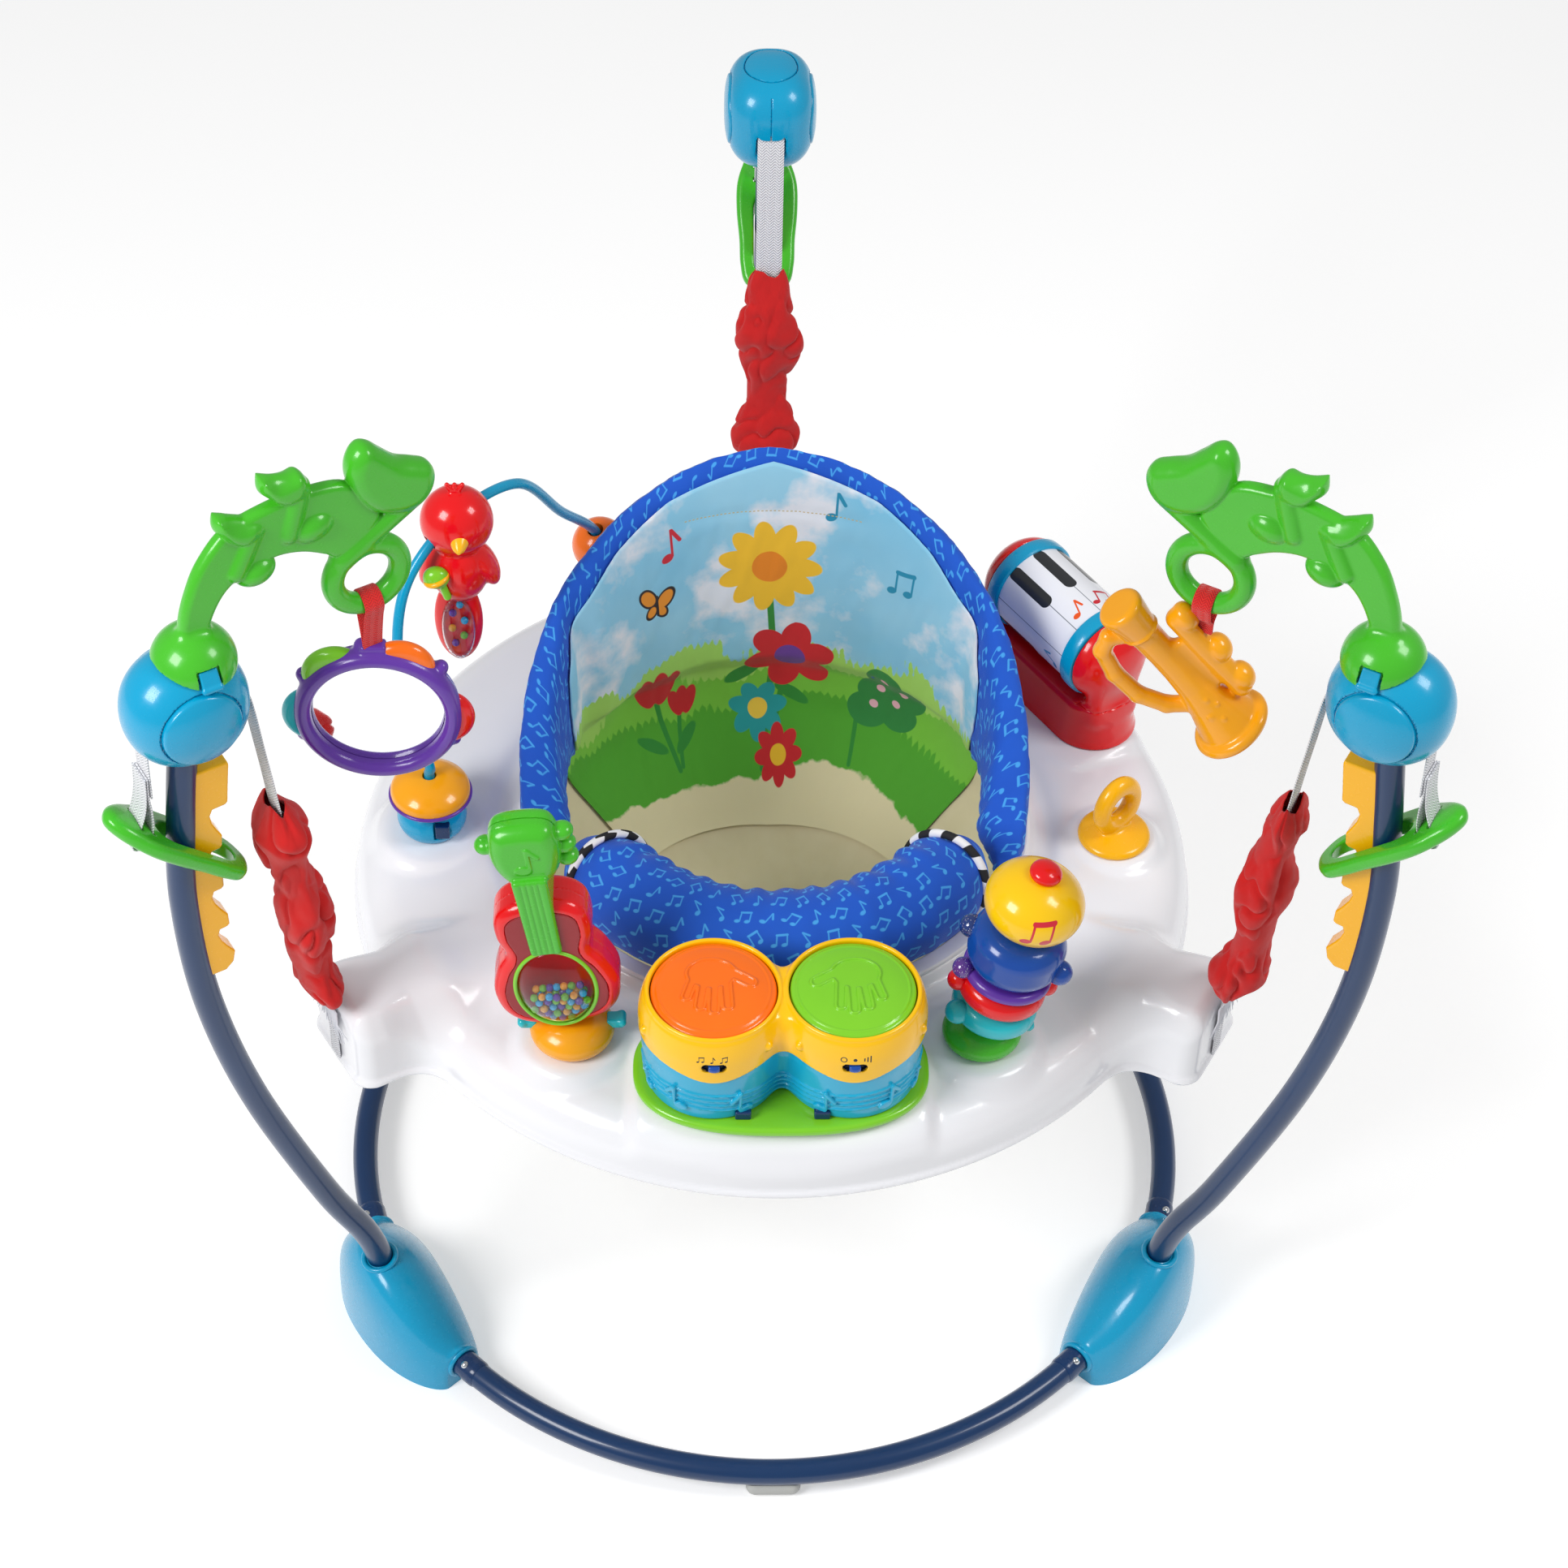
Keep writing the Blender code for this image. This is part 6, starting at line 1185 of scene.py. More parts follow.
def roll_crease(turn, length, out, up):
    inner = max(0.0, (ROLL_REACH + 0.01 - out) / ROLL_RADIUS)
    fold = sin(turn * 41 + 3 * noise.noise(Vector((turn * 5, up * 20, 0)))) * 0.0013 * inner
    return fold + 0.0014 * noise.noise(Vector((turn * 11, length * 20, 7.7)))


turns = [ROLL_HALF * (2 * i / 160 - 1) for i in range(161)]
sections = []
for turn in turns:
    fat = roll_fat(turn)
    section = []
    for k in range(60):
        t = 2 * pi * k / 60 - pi / 2
        up = ROLL_HEIGHT + fat * sin(t) * (0.97 if sin(t) > 0 else 1.0)
        section.append((ROLL_REACH + fat * cos(t), up, fat * 2 * pi * k / 60))
    sections.append(section)
shape = swept(sections, turns, -pi / 2, ROLL_REACH, roll_crease)
roll = piece("front_roll", shape, NOTE_CLOTH, "seat", station(0), ["seat_front_roll"], 60)

# Piping: cotton cord about 7 mm thick, wrapped in black and white striped cloth. It is sewn round both ends of
# the roll and covers the seam to the back.
STRIPE_PITCH = 0.022
# Printed cotton, cut on the slant: matt black and white bands with a fine fuzz.
STRIPED, tree = blank_material("black_white_striped_piping")
spot = add_node(tree, "UVMap", uv_map="weave")
split = add_node(tree, "SeparateXYZ", [spot])
slant = add_node(tree, "Math", [split.outputs["Y"], 0.35, split.outputs["X"]], "MULTIPLY_ADD")
edge = add_node(tree, "MapRange", {"Value": ripple(tree, slant, 2 * pi / STRIPE_PITCH), "From Min": -0.08,
    "From Max": 0.08})
tone = add_node(tree, "Mix", {"Factor": edge, 6: "#1B1B1E", 7: "#F2F2F4"}, data_type="RGBA")
weave = add_node(tree, "TexNoise", {"Vector": spot, "Scale": 1400.0, "Detail": 1.0})
finish(tree, {"Base Color": tone, "Roughness": 0.8}, weave, 0.5, 0.0002)


def cord_shape(path, radius, sides=14):
    """A cord along a path with its UV map in metres."""
    marks = []
    along = 0.0
    for before, point in zip(path[:1] + path, path):
        along += (point - before).length
        marks += [(along, radius * 2 * pi * k / sides) for k in range(sides)]
    return *skin(tube_rings(path, radius, sides)), marks


for side, direction in (("left", -1), ("right", 1)):
    turn = direction * ROLL_HALF * 0.83
    fat = roll_fat(turn) + 0.0004
    path = []
    for k in range(73):
        t = 2 * pi * k / 72 + pi * 1.5
        out = ROLL_REACH + fat * cos(t)
        a = -pi / 2 + turn + direction * 0.05 * sin(t)
        path.append(Vector((out * cos(a), out * sin(a), ROLL_HEIGHT + fat * sin(t))))
    piece("striped_piping_" + side, cord_shape(path, 0.0034), STRIPED, "seat", station(0))

# Printed panel: satin polyester sewn over the inner face of the back and down into the seat, with a sky, clouds
# and a meadow of large flowers. It is quilted through by one straight row of stitches and pulls into creases.
PANEL_TOP = ((0, 0.6475), (26, 0.624), (42, 0.598), (51, 0.578), (61, 0.552), (68, 0.528), (71, 0.5))
PANEL_LOW = ((0, 0.3), (57, 0.305), (61, 0.36), (66, 0.425), (70, 0.47), (71, 0.48))
PANEL_HALF = 71
STITCH_HEIGHT = 0.603
LINER_PROFILE = ((0.195, LIP + 0.0003), (0.1948, 0.407), (0.1905, 0.385), (0.1722, 0.3568), (0.15, 0.325),
    (0.1292, 0.2973), (0.1, 0.2795), (0.0705, 0.2693), (0.035, 0.2635), (0.0, 0.2623))


def wall_reaches(turn, heights):
    """How far out the inner face of the pad, and of the liner below it, is at these heights."""
    outs, ups, _ = np.array(closed_curve(back_section(turn), 90)).T
    top = outs[np.argmax(ups)] - 0.003
    reaches = []
    for height in heights:
        near = np.abs(ups - height) < 0.005
        reaches.append(outs[near].min() if near.any() else top)
    profile = sorted((z, r) for r, z in LINER_PROFILE)
    lined = np.interp(heights, [z for z, r in profile], [r for z, r in profile])
    reaches = np.where(heights < BACK_BASE + 0.002, lined, reaches)
    padded = np.pad(reaches, 4, mode="edge")
    least = np.min([padded[k : k + len(heights)] for k in range(2, 7)], axis=0)
    padded = np.pad(least, 4, mode="edge")
    return np.mean([padded[k : k + len(heights)] for k in range(9)], axis=0) - 0.0016


def panel_crease(turn, height):
    """Creases that gather toward the bottom of the panel, and the groove of the stitch row."""
    gather = exp(-(((height - 0.455) / 0.075) ** 2))
    wave = sin(turn * 17 + 2.5 * noise.noise(Vector((turn * 3, height * 7, 1.3))))
    fine = noise.noise(Vector((turn * 14 + height * 20, height * 26, 5.1)))
    groove = exp(-(((height - STITCH_HEIGHT) / 0.004) ** 2)) * (1 if abs(turn) < 0.4 else 0)
    return 0.0026 * gather * (0.5 + 0.5 * wave) + 0.0014 * abs(fine) + 0.001 * (1 - groove)


def flower(tree, under, spot, centre, radius, petals, colour, heart, lean):
    """Petals round a plain middle, in flat print colours."""
    shapes = []
    for k in range(petals):
        a = 2 * pi * k / petals + lean
        place = (centre[0] + radius * 0.58 * cos(a), centre[1] + radius * 0.58 * sin(a))
        shapes.append(blob(tree, spot, place, (radius * 0.44, radius * 1.5 / petals + radius * 0.08), a))
    under = paint(tree, under, nearest(tree, *shapes), colour)
    return paint(tree, under, blob(tree, spot, centre, (radius * 0.34, radius * 0.34)), heart)


def meadow(tree, spot):
    """Sky with soft clouds, rolling grass, a sand path and large simple flowers."""
    split = add_node(tree, "SeparateXYZ", [spot])
    x, y = split.outputs["X"], split.outputs["Y"]
    haze = add_node(tree, "TexNoise", {"Vector": spot, "Scale": 9.0, "Detail": 3.0})
    colour = add_node(tree, "Mix", {"Factor": haze, 6: "#B4E2F5", 7: "#5DBDE8"}, data_type="RGBA")
    puff = add_node(tree, "TexNoise", {"Vector": spot, "Scale": 13.0, "Detail": 5.0, "Roughness": 0.55})
    cloud = add_node(tree, "MapRange", {"Value": puff, "From Min": 0.5, "From Max": 0.62})
    colour = add_node(tree, "Mix", {"Factor": cloud, 6: colour, 7: "#EAEFF9"}, data_type="RGBA")
    rough = add_node(tree, "TexNoise", {"Vector": spot, "Scale": 26.0, "Detail": 4.0})
    blades = add_node(tree, "Math", [x, 0.0035], "PINGPONG")
    for height, wave, ink in ((0.462, 0.06, "#A9DE66"), (0.424, 0.05, "#7CCB3F"), (0.392, 0.04, "#52AC2C")):
        hill = add_node(tree, "Math", [rough, wave, height - wave / 2], "MULTIPLY_ADD")
        hill = add_node(tree, "Math", [blades, 1.8, hill], "MULTIPLY_ADD")
        hill = add_node(tree, "Math", [ripple(tree, x, 26 + 400 * (height - 0.39)), 0.01, hill], "MULTIPLY_ADD")
        colour = paint(tree, colour, add_node(tree, "Math", [y, hill], "SUBTRACT"), ink, 0.0012)
    sand = add_node(tree, "Math", [rough, 0.03, 0.325], "MULTIPLY_ADD")
    sand = add_node(tree, "Math", [ripple(tree, x, 21), 0.008, sand], "MULTIPLY_ADD")
    colour = paint(tree, colour, add_node(tree, "Math", [y, sand], "SUBTRACT"), "#EADFB6", 0.001)
    stems = (((-0.002, 0.53), (0.004, 0.44), 0.003), ((0.004, 0.44), (-0.006, 0.34), 0.003),
        ((0.018, 0.448), (0.002, 0.35), 0.0024), ((-0.104, 0.42), (-0.094, 0.35), 0.0024),
        ((-0.08, 0.398), (-0.09, 0.352), 0.002), ((0.078, 0.405), (0.084, 0.352), 0.002))
    leaves = (((-0.022, 0.425), (0.02, 0.007), 0.6), ((0.02, 0.4), (0.017, 0.006), -0.5),
        ((-0.114, 0.375), (0.016, 0.005), -0.6), ((-0.08, 0.372), (0.015, 0.005), 0.7))
    green = [stroke(tree, spot, *stem) for stem in stems] + [blob(tree, spot, *leaf) for leaf in leaves]
    colour = paint(tree, colour, nearest(tree, *green), "#2F8F35")
    for bloom in (((-0.002, 0.548), 0.045, 11, "#FBC62E", "#F08A1D", 0.0), ((0.018, 0.448), 0.041, 6, "#D9202A",
            "#6F3FA0", 0.3), ((-0.01, 0.386), 0.026, 7, "#22A3A8", "#FBD34A", 0.2),
            ((0.01, 0.35), 0.024, 8, "#D6222C", "#FBC62E", 0.1)):
        colour = flower(tree, colour, spot, *bloom)
    for centre, size in (((-0.104, 0.43), 0.028), ((-0.078, 0.404), 0.018)):
        cup = [blob(tree, spot, (centre[0] + size * shift, centre[1] + size * 0.12 * lift),
            (size * 0.34, size * 0.8), angle) for shift, lift, angle in ((-0.36, 0, 0.28), (0.36, 0, -0.28),
            (0.0, 1, 0.0))]
        colour = paint(tree, colour, nearest(tree, *cup), "#CF1E28")
    bush = [blob(tree, spot, spread, (0.02, 0.017), 0.2) for spread in ((0.098, 0.42), (0.118, 0.406),
        (0.108, 0.442), (0.126, 0.428), (0.09, 0.4))]
    colour = paint(tree, colour, nearest(tree, *bush), "#2E8A40")
    berries = [blob(tree, spot, place, (0.0042, 0.0042)) for place in ((0.1, 0.426), (0.116, 0.416),
        (0.108, 0.444), (0.124, 0.432), (0.094, 0.406))]
    colour = paint(tree, colour, nearest(tree, *berries), "#F3B8C8")
    wings = (((-0.114, 0.541), (0.0125, 0.0078), 2.2), ((-0.097, 0.535), (0.0125, 0.0078), 0.8),
        ((-0.111, 0.526), (0.008, 0.0058), 0.9), ((-0.101, 0.524), (0.008, 0.0058), 2.1))
    wings = nearest(tree, *(blob(tree, spot, *wing) for wing in wings))
    colour = paint(tree, colour, wings, "#2A2225")
    colour = paint(tree, colour, add_node(tree, "Math", [wings, 0.0019], "ADD"), "#F0962B")
    colour = paint(tree, colour, stroke(tree, spot, (-0.105, 0.54), (-0.105, 0.521), 0.0012), "#2A2225")
    for centre, drawn, size, ink in (((-0.088, 0.585, 0), single_note, 0.034, "#D3283A"),
            ((0.052, 0.612, 0), single_note, 0.03, "#1E8FB5"), ((0.118, 0.56, 0), double_note, 0.03,
            "#1E8FB5")):
        moved = add_node(tree, "VectorMath", [spot, centre], "SUBTRACT")
        colour = paint(tree, colour, drawn(tree, moved, size), ink)
    row = stroke(tree, spot, (-0.075, STITCH_HEIGHT), (0.075, STITCH_HEIGHT), 0.00045)
    dash = add_node(tree, "Math", [x, 0.0017], "PINGPONG")
    gap = add_node(tree, "Math", [0.0008, dash], "SUBTRACT")
    return paint(tree, colour, add_node(tree, "Math", [row, gap], "MAXIMUM"), "#C9B57A", 0.0002)


heights = np.linspace(0.29, 0.656, 184)
columns, rows = 150, 96
inner, outer, marks = [], [], []
for i in range(columns + 1):
    degrees = PANEL_HALF * (2 * i / columns - 1)
    turn = radians(degrees)
    reaches = wall_reaches(turn, heights)
    low = float(np.interp(abs(degrees), *zip(*PANEL_LOW)))
    high = float(np.interp(abs(degrees), *zip(*PANEL_TOP)))
    for k in range(rows + 1):
        height = low + (high - low) * k / rows
        edge = min(1.0, 8 * min(k, rows - k) / rows, 12 * min(i, columns - i) / columns)
        reach = float(np.interp(height, heights, reaches)) - panel_crease(turn, height) * edge
        a = pi / 2 + turn
        inner.append((reach * cos(a), reach * sin(a), height))
        outer.append(((reach + 0.001) * cos(a), (reach + 0.001) * sin(a), height))
        marks.append((-turn * 0.19, height))


def two_sided(front, behind, columns, rows, keep=None):
    """A thin sheet from two grids of points, closed along its edge."""
    faces = []
    size = rows + 1
    total = len(front)
    held = set()
    for i in range(columns):
        for k in range(rows):
            quad = (i * size + k, (i + 1) * size + k, (i + 1) * size + k + 1, i * size + k + 1)
            if keep and not all(keep[q] for q in quad):
                continue
            faces.append(quad)
            faces.append(tuple(q + total for q in reversed(quad)))
            held.update((quad[j], quad[(j + 1) % 4]) for j in range(4))
    for a, b in sorted(held):
        if (b, a) not in held:
            faces.append((b, a, a + total, b + total))
    return list(front) + list(behind), faces


MEADOW_CLOTH = printed_cloth("satin_meadow_print", meadow, 0.0007)
shape = (*two_sided(inner, outer, columns, rows), marks * 2)
panel = piece("printed_panel", shape, MEADOW_CLOTH, "seat", station(0), sharp=80)

# Cloth sling: woven polyester in sand colour, sewn to the lower edge of the ring. Its two leg holes are bound
# with a folded strip of royal-blue cloth.
SAND_CLOTH = plain_cloth("sand_polyester_cloth", "#DFD2A8", "#EADFBB")
BLUE_BINDING = plain_cloth("royal_blue_binding", "#0A50C4", "#1268E0")
LEG_RADIUS = 0.05
LEG_AXIS = Vector((0, -sin(radians(112)), cos(radians(112))))
profile = smooth_path([(r, 0, z) for r, z in LINER_PROFILE], 70)
LEG_STARTS = [Vector((direction * 0.065, -0.03, LIP + 0.0003 - 0.175 * 0.52)) for direction in (-1, 1)]


def leg_distance(point):
    """Distance from a point to the nearer leg hole's edge, and the way out from its axis."""
    best = (1.0, Vector((0, 0, 0)))
    for start in LEG_STARTS:
        off = point - start
        along = off.dot(LEG_AXIS)
        away = off - LEG_AXIS * along
        if along > 0 and away.length - LEG_RADIUS < best[0]:
            best = (away.length - LEG_RADIUS, away.normalized())
    return best


around = 200
inner, outer, marks, keep = [], [], [], []
for i in range(around + 1):
    a = 2 * pi * i / around
    length = 0.0
    for k, spot in enumerate(profile):
        length += (spot - profile[max(k - 1, 0)]).length
        flare = 0.0016 * noise.noise(Vector((3 * cos(a), 3 * sin(a), spot.z * 30))) * min(1.0, k / 8)
        reach = max(0.0, spot.x - 0.0008 + flare)
        point = Vector((reach * cos(a), reach * sin(a), spot.z))
        away, out = leg_distance(point)
        if abs(away) < 0.003:
            point = point - out * away
        keep.append(away > -0.003)
        inner.append(tuple(point))
        outer.append((point.x * 1.004, point.y * 1.004, point.z - 0.0008))
        marks.append((a * 0.15, length))
shape = (*two_sided(inner, outer, around, len(profile) - 1, keep), marks * 2)
liner = piece("cloth_sling", shape, SAND_CLOTH, "seat", station(0), ["seat_liner"], 80)


def sling_reach(height):
    return float(np.interp(height, *zip(*sorted((spot.z, spot.x) for spot in profile))))


for side, start in zip(("left", "right"), LEG_STARTS):
    across = Vector((1, 0, 0))
    up = across.cross(LEG_AXIS)
    path = []
    for k in range(97):
        t = 2 * pi * k / 96
        line = start + (across * cos(t) + up * sin(t)) * LEG_RADIUS
        near, far = 0.0, 0.25
        for _ in range(26):
            middle = (near + far) / 2
            spot = line + LEG_AXIS * middle
            if spot.z > 0.2625 and hypot(spot.x, spot.y) < sling_reach(spot.z):
                near = middle
            else:
                far = middle
        path.append(line + LEG_AXIS * near)
    piece("leg_binding_" + side, cord_shape(path, 0.0026), BLUE_BINDING, "seat", station(0))

# Drum toy: a green base plate, a sky-blue twin body with raised staves, a yellow bezel and two sprung pads.
# All are glossy ABS mouldings, snapped and screwed together from below, with pad-printed signs on the bezel.
RED_ABS = moulded("pillar_red_abs", ("#E0060C", "#EE1118", "#FF7A70"), 0.18)
ORANGE_ABS = moulded("orange_abs", ("#F86A08", "#FF7810", "#FFB070"), 0.2)
LIME_ABS = moulded("lime_abs", ("#78C822", "#84D22C", "#BCEB7C"), 0.2)
TEAL_ABS = moulded("teal_abs", ("#1CB9C6", "#28C6D0", "#8CE4E8"), 0.2)
CYAN_ABS = moulded("drum_cyan_abs", ("#10A3CC", "#1AAFD6", "#7ADCF0"), 0.2)
BLUE_ABS = moulded("deep_blue_abs", ("#0A429A", "#104EAC", "#5C8CD4"), 0.18)
DRUM_CENTRE = 0.271
DRUM_HALF = 0.0525
DRUM_RADIUS = 0.0555
BEZEL_LOW, BEZEL_TOP = 0.0564, 0.0984
SWITCH_HEIGHT, PRINT_HEIGHT = 0.0732, 0.0822


def twin(x, y):
    """Distance in plan to the centres of the two drums, with a soft waist between them."""
    return join(hypot(x - DRUM_HALF, y), hypot(x + DRUM_HALF, y), 0.02)


def relief_note(u, v, size):
    """Distance in a plane to a quaver."""
    head = egg((u, v, 0 * u), (-0.1 * size, -0.34 * size, 0), (0.24 * size, 0.17 * size, 1.0))
    stem = rod((u, v), (0.1 * size, -0.3 * size), (0.1 * size, 0.46 * size), 0.055 * size)
    flag = rod((u, v), (0.1 * size, 0.44 * size), (0.36 * size, 0.12 * size), 0.075 * size)
    return minimum(minimum(head, stem), flag)


def drum_plate_form(p):
    x, y, z = p
    u, v = np.abs(x) / 0.114, np.abs(y + 0.269) / 0.0655
    flat = ((u**2.5 + v**2.5 + 1e-9) ** 0.4 - 1) * 0.066
    return slab(flat, z - 0.004, 0.004, 0.0034)


def drum_body_form(p):
    x, y, z = p
    wall = twin(x, y) - DRUM_RADIUS + 0.0036 * clip((0.056 - z) / 0.048, 0, 1)
    form = slab(wall, z - 0.0372, 0.029, 0.002)
    turn = np.arctan2(np.abs(x) - DRUM_HALF, -y)
    for k in range(4):
        line = 0.0185 + 0.0058 * k + 0.004 * np.sin(turn * 1.7 + 0.7)
        ridge = np.where(np.abs(turn) < 1.5, hypot(wall, z - line) - 0.0013, 1.0)
        form = join(form, ridge, 0.0006)
    for spot, height, size in ((-0.42, 0.0265, 0.025), (0.52, 0.03, 0.025), (1.1, 0.027, 0.02)):
        note = relief_note((turn - spot) * DRUM_RADIUS, z - height, size)
        form = join(form, slab(note, wall, 0.0032, 0.0012), 0.0005)
    return form


def bezel_form(p):
    x, y, z = p
    side = np.abs(x) - DRUM_HALF
    turn = np.arctan2(side, -y)
    slope = clip((z - 0.074) / (BEZEL_TOP - 0.074), 0, 1)
    form = twin(x, y) - 0.0572 + 0.005 * slope * slope
    form = cut(form, BEZEL_TOP - 0.0006 - z, 0.004)
    wave = 0.0085 * (1 - np.exp(-((turn / 0.5) ** 2)))
    form = cut(form, z - BEZEL_LOW - wave, 0.0012)
    away = hypot(side, y)
    form = join(form, hypot(away - 0.0503, z - BEZEL_TOP + 0.0008) - 0.0019, 0.0014)
    form = cut(form, slab(away - 0.0485, z - 0.11, 0.0231, 0.0005), 0.0008)
    form = cut(form, box_field((side, y, z), (0, -0.057, SWITCH_HEIGHT), (0.0094, 0.006, 0.004), 0.0036),
        0.0006)
    for angle in (-0.8, 1.15):
        spot = (0.0565 * sin(angle), -0.0565 * cos(angle), 0.079)
        form = join(form, egg((side, y, z), spot, (0.0036, 0.0036, 0.0042)), 0.001)
    return form


def hand_outline(x, y):
    """Distance to a plain hand shape, with its fingers toward the front."""
    form = egg((x, y, 0 * x), (-0.002, 0.0125, 0), (0.0185, 0.015, 1.0))
    for start, end, fat in (((-0.0155, 0.006), (-0.0205, -0.0105), 0.0034), ((-0.0075, 0.002), (-0.0105, -0.02),
            0.0036), ((0.0008, 0.002), (0.0, -0.0235), 0.0037), ((0.009, 0.004), (0.0103, -0.0195), 0.0037),
            ((0.009, 0.016), (0.0275, 0.0045), 0.0045)):
        form = join(form, rod((x, y), start, end, fat), 0.0016)
    return form


def pad_form(p, hand):
    x, y, z = p
    away = hypot(x, y)
    top = 0.0035 - 0.0048 * (away / 0.048) ** 4
    form = cut(cut(away - 0.0477, top - z, 0.0018), z + 0.0088, 0.0006)
    form = join(form, hypot(away - 0.0428, z - top + 0.0003) - 0.0009, 0.0008)
    outline = np.abs(hand_outline(hand * x, y)) - 0.0011
    return join(form, slab(outline, z - top, 0.0014, 0.0009), 0.0008)


def pad_print(tree, spot, under, limit, notes, ink, draw=None):
    """Notes printed on the side in front of this limit, and whatever else is drawn in that upright plane."""
    split = add_node(tree, "SeparateXYZ", [spot])
    flat = add_node(tree, "CombineXYZ", [split.outputs["X"], split.outputs["Z"]])
    shapes = draw(tree, flat) if draw else []
    for x, z, drawn, size in notes:
        moved = add_node(tree, "VectorMath", [flat, (x, z, 0)], "SUBTRACT")
        shapes.append(drawn(tree, moved, size))
    inked = paint(tree, under, nearest(tree, *shapes), ink, 0.0001)
    front = add_node(tree, "Math", [split.outputs["Y"], limit], "LESS_THAN")
    return add_node(tree, "Mix", {"Factor": front, 6: under, 7: inked}, data_type="RGBA")


def drum_signs(tree, flat):
    """A ring, a dot and a growing wave over the right switch."""
    ring = add_node(tree, "Math", [blob(tree, flat, (0.044, PRINT_HEIGHT), (0.0022, 0.0022))], "ABSOLUTE")
    shapes = [add_node(tree, "Math", [ring, 0.0004], "SUBTRACT")]
    shapes.append(blob(tree, flat, (0.0525, PRINT_HEIGHT), (0.0015, 0.0015)))
    for x, tall in ((0.0595, 0.0012), (0.0618, 0.002), (0.0641, 0.0028)):
        shapes.append(stroke(tree, flat, (x, PRINT_HEIGHT - tall), (x, PRINT_HEIGHT + tall), 0.0005))
    return shapes


def slot_plate_and_shade(tree, flat):
    """The two switch slots painted dark navy: the navy plate that shows through them, with painted shade on
    their yellow walls.
    """
    return [stroke(tree, flat, (side - 0.0054, SWITCH_HEIGHT), (side + 0.0054, SWITCH_HEIGHT), 0.0041)
        for side in (-DRUM_HALF, DRUM_HALF)]


def drum_print_and_slot_shade(tree, spot, under):
    """Small black notes over the left switch and signs over the right one, with the slots painted dark navy:
    the plate behind them, and painted shade on their walls.
    """
    notes = [(x, PRINT_HEIGHT, drawn, 0.0068) for x, drawn in ((-0.0625, double_note), (-0.0535, single_note),
        (-0.045, double_note))]
    under = pad_print(tree, spot, under, -0.03, notes, "#1A1A1C", drum_signs)
    # Painted shade: this second pass paints the slots dark navy, over their yellow walls as well as where the
    # navy plate shows through.
    return pad_print(tree, spot, under, -0.03, (), "#0B1B33", slot_plate_and_shade)


# The print on this yellow includes the slots, painted dark navy: the plate behind them, and painted shade on
# their walls.
PRINTED_AND_SLOT_SHADED_YELLOW = moulded("sun_yellow_abs_with_pad_print_and_slot_shade", ("#FFC000", "#FFC908", "#FFE27A"), 0.2, 0.05,
    drum_print_and_slot_shade)
piece("drum_plate_moulding", cast(drum_plate_form, (-0.145, -0.338, -0.003), (0.145, -0.192, 0.011), 0.0015),
    LIME_ABS, "tray", station(0, 0, DECK), ["drum_base_plate"])
drum_place = station(0, 0, DECK) @ Matrix.Translation((0, -DRUM_CENTRE, 0))
piece("drum_body_moulding", cast(drum_body_form, (-0.112, -0.06, 0.006), (0.112, 0.06, 0.068), 0.0011),
    CYAN_ABS, "tray", drum_place, ["drum_body"])
piece("drum_bezel_moulding", cast(bezel_form, (-0.114, -0.062, 0.054), (0.114, 0.062, 0.103), 0.0011),
    PRINTED_AND_SLOT_SHADED_YELLOW, "tray", drum_place, ["drum_bezel"])
latch_shape = cast(lambda p: box_field(p, (0, 0, 0), (0.0062, 0.004, 0.0042), 0.0014), (-0.008, -0.006, -0.006),
    (0.008, 0.006, 0.006), 0.0006)
knob_shape = cast(lambda p: join(box_field(p, (0, 0, 0), (0.0043, 0.003, 0.0028), 0.0012),
    egg(p, (0, -0.0026, 0), (0.0032, 0.0018, 0.0024))), (-0.006, -0.006, -0.005), (0.006, 0.005, 0.005), 0.0004)
for side, hand in (("left", -1), ("right", 1)):
    piece("drum_pad_moulding_" + side, cast(lambda p: pad_form(p, -hand), (-0.05, -0.05, -0.011),
        (0.05, 0.05, 0.006), 0.0008), ORANGE_ABS if side == "left" else LIME_ABS, "drum_pad_" + side,
        drum_place @ Matrix.Translation((hand * DRUM_HALF, 0, BEZEL_TOP)), ["drum_pad_" + side])
    piece("drum_switch_knob_" + side, knob_shape, BLUE_ABS, "drum_switch_" + side,
        drum_place @ Matrix.Translation((hand * DRUM_HALF, -0.0554, SWITCH_HEIGHT)), ["drum_switch_" + side])
    piece("drum_latch_" + side, latch_shape, NAVY_ABS, "tray",
        drum_place @ Matrix.Translation((hand * 0.03, -0.0485, 0.0122)))

# Guitar toy: two red half shells round a green neck and head, with a clear dome on the front that holds loose
# beads. It turns on a leaning stem in an orange-yellow base, which two teal clips lock to the tray.
GUITAR_LEAN = radians(8)
GUITAR_FOOT = 0.0335
GUITAR_HEIGHT = 0.136
GUITAR_HALF = 0.048
DARK_RED_ABS = moulded("dark_red_abs", ("#8E0C18", "#9C1420", "#C04A54"), 0.42)
AMBER_ABS = moulded("amber_abs", ("#F5A008", "#FBAC10", "#FFD680"), 0.2)
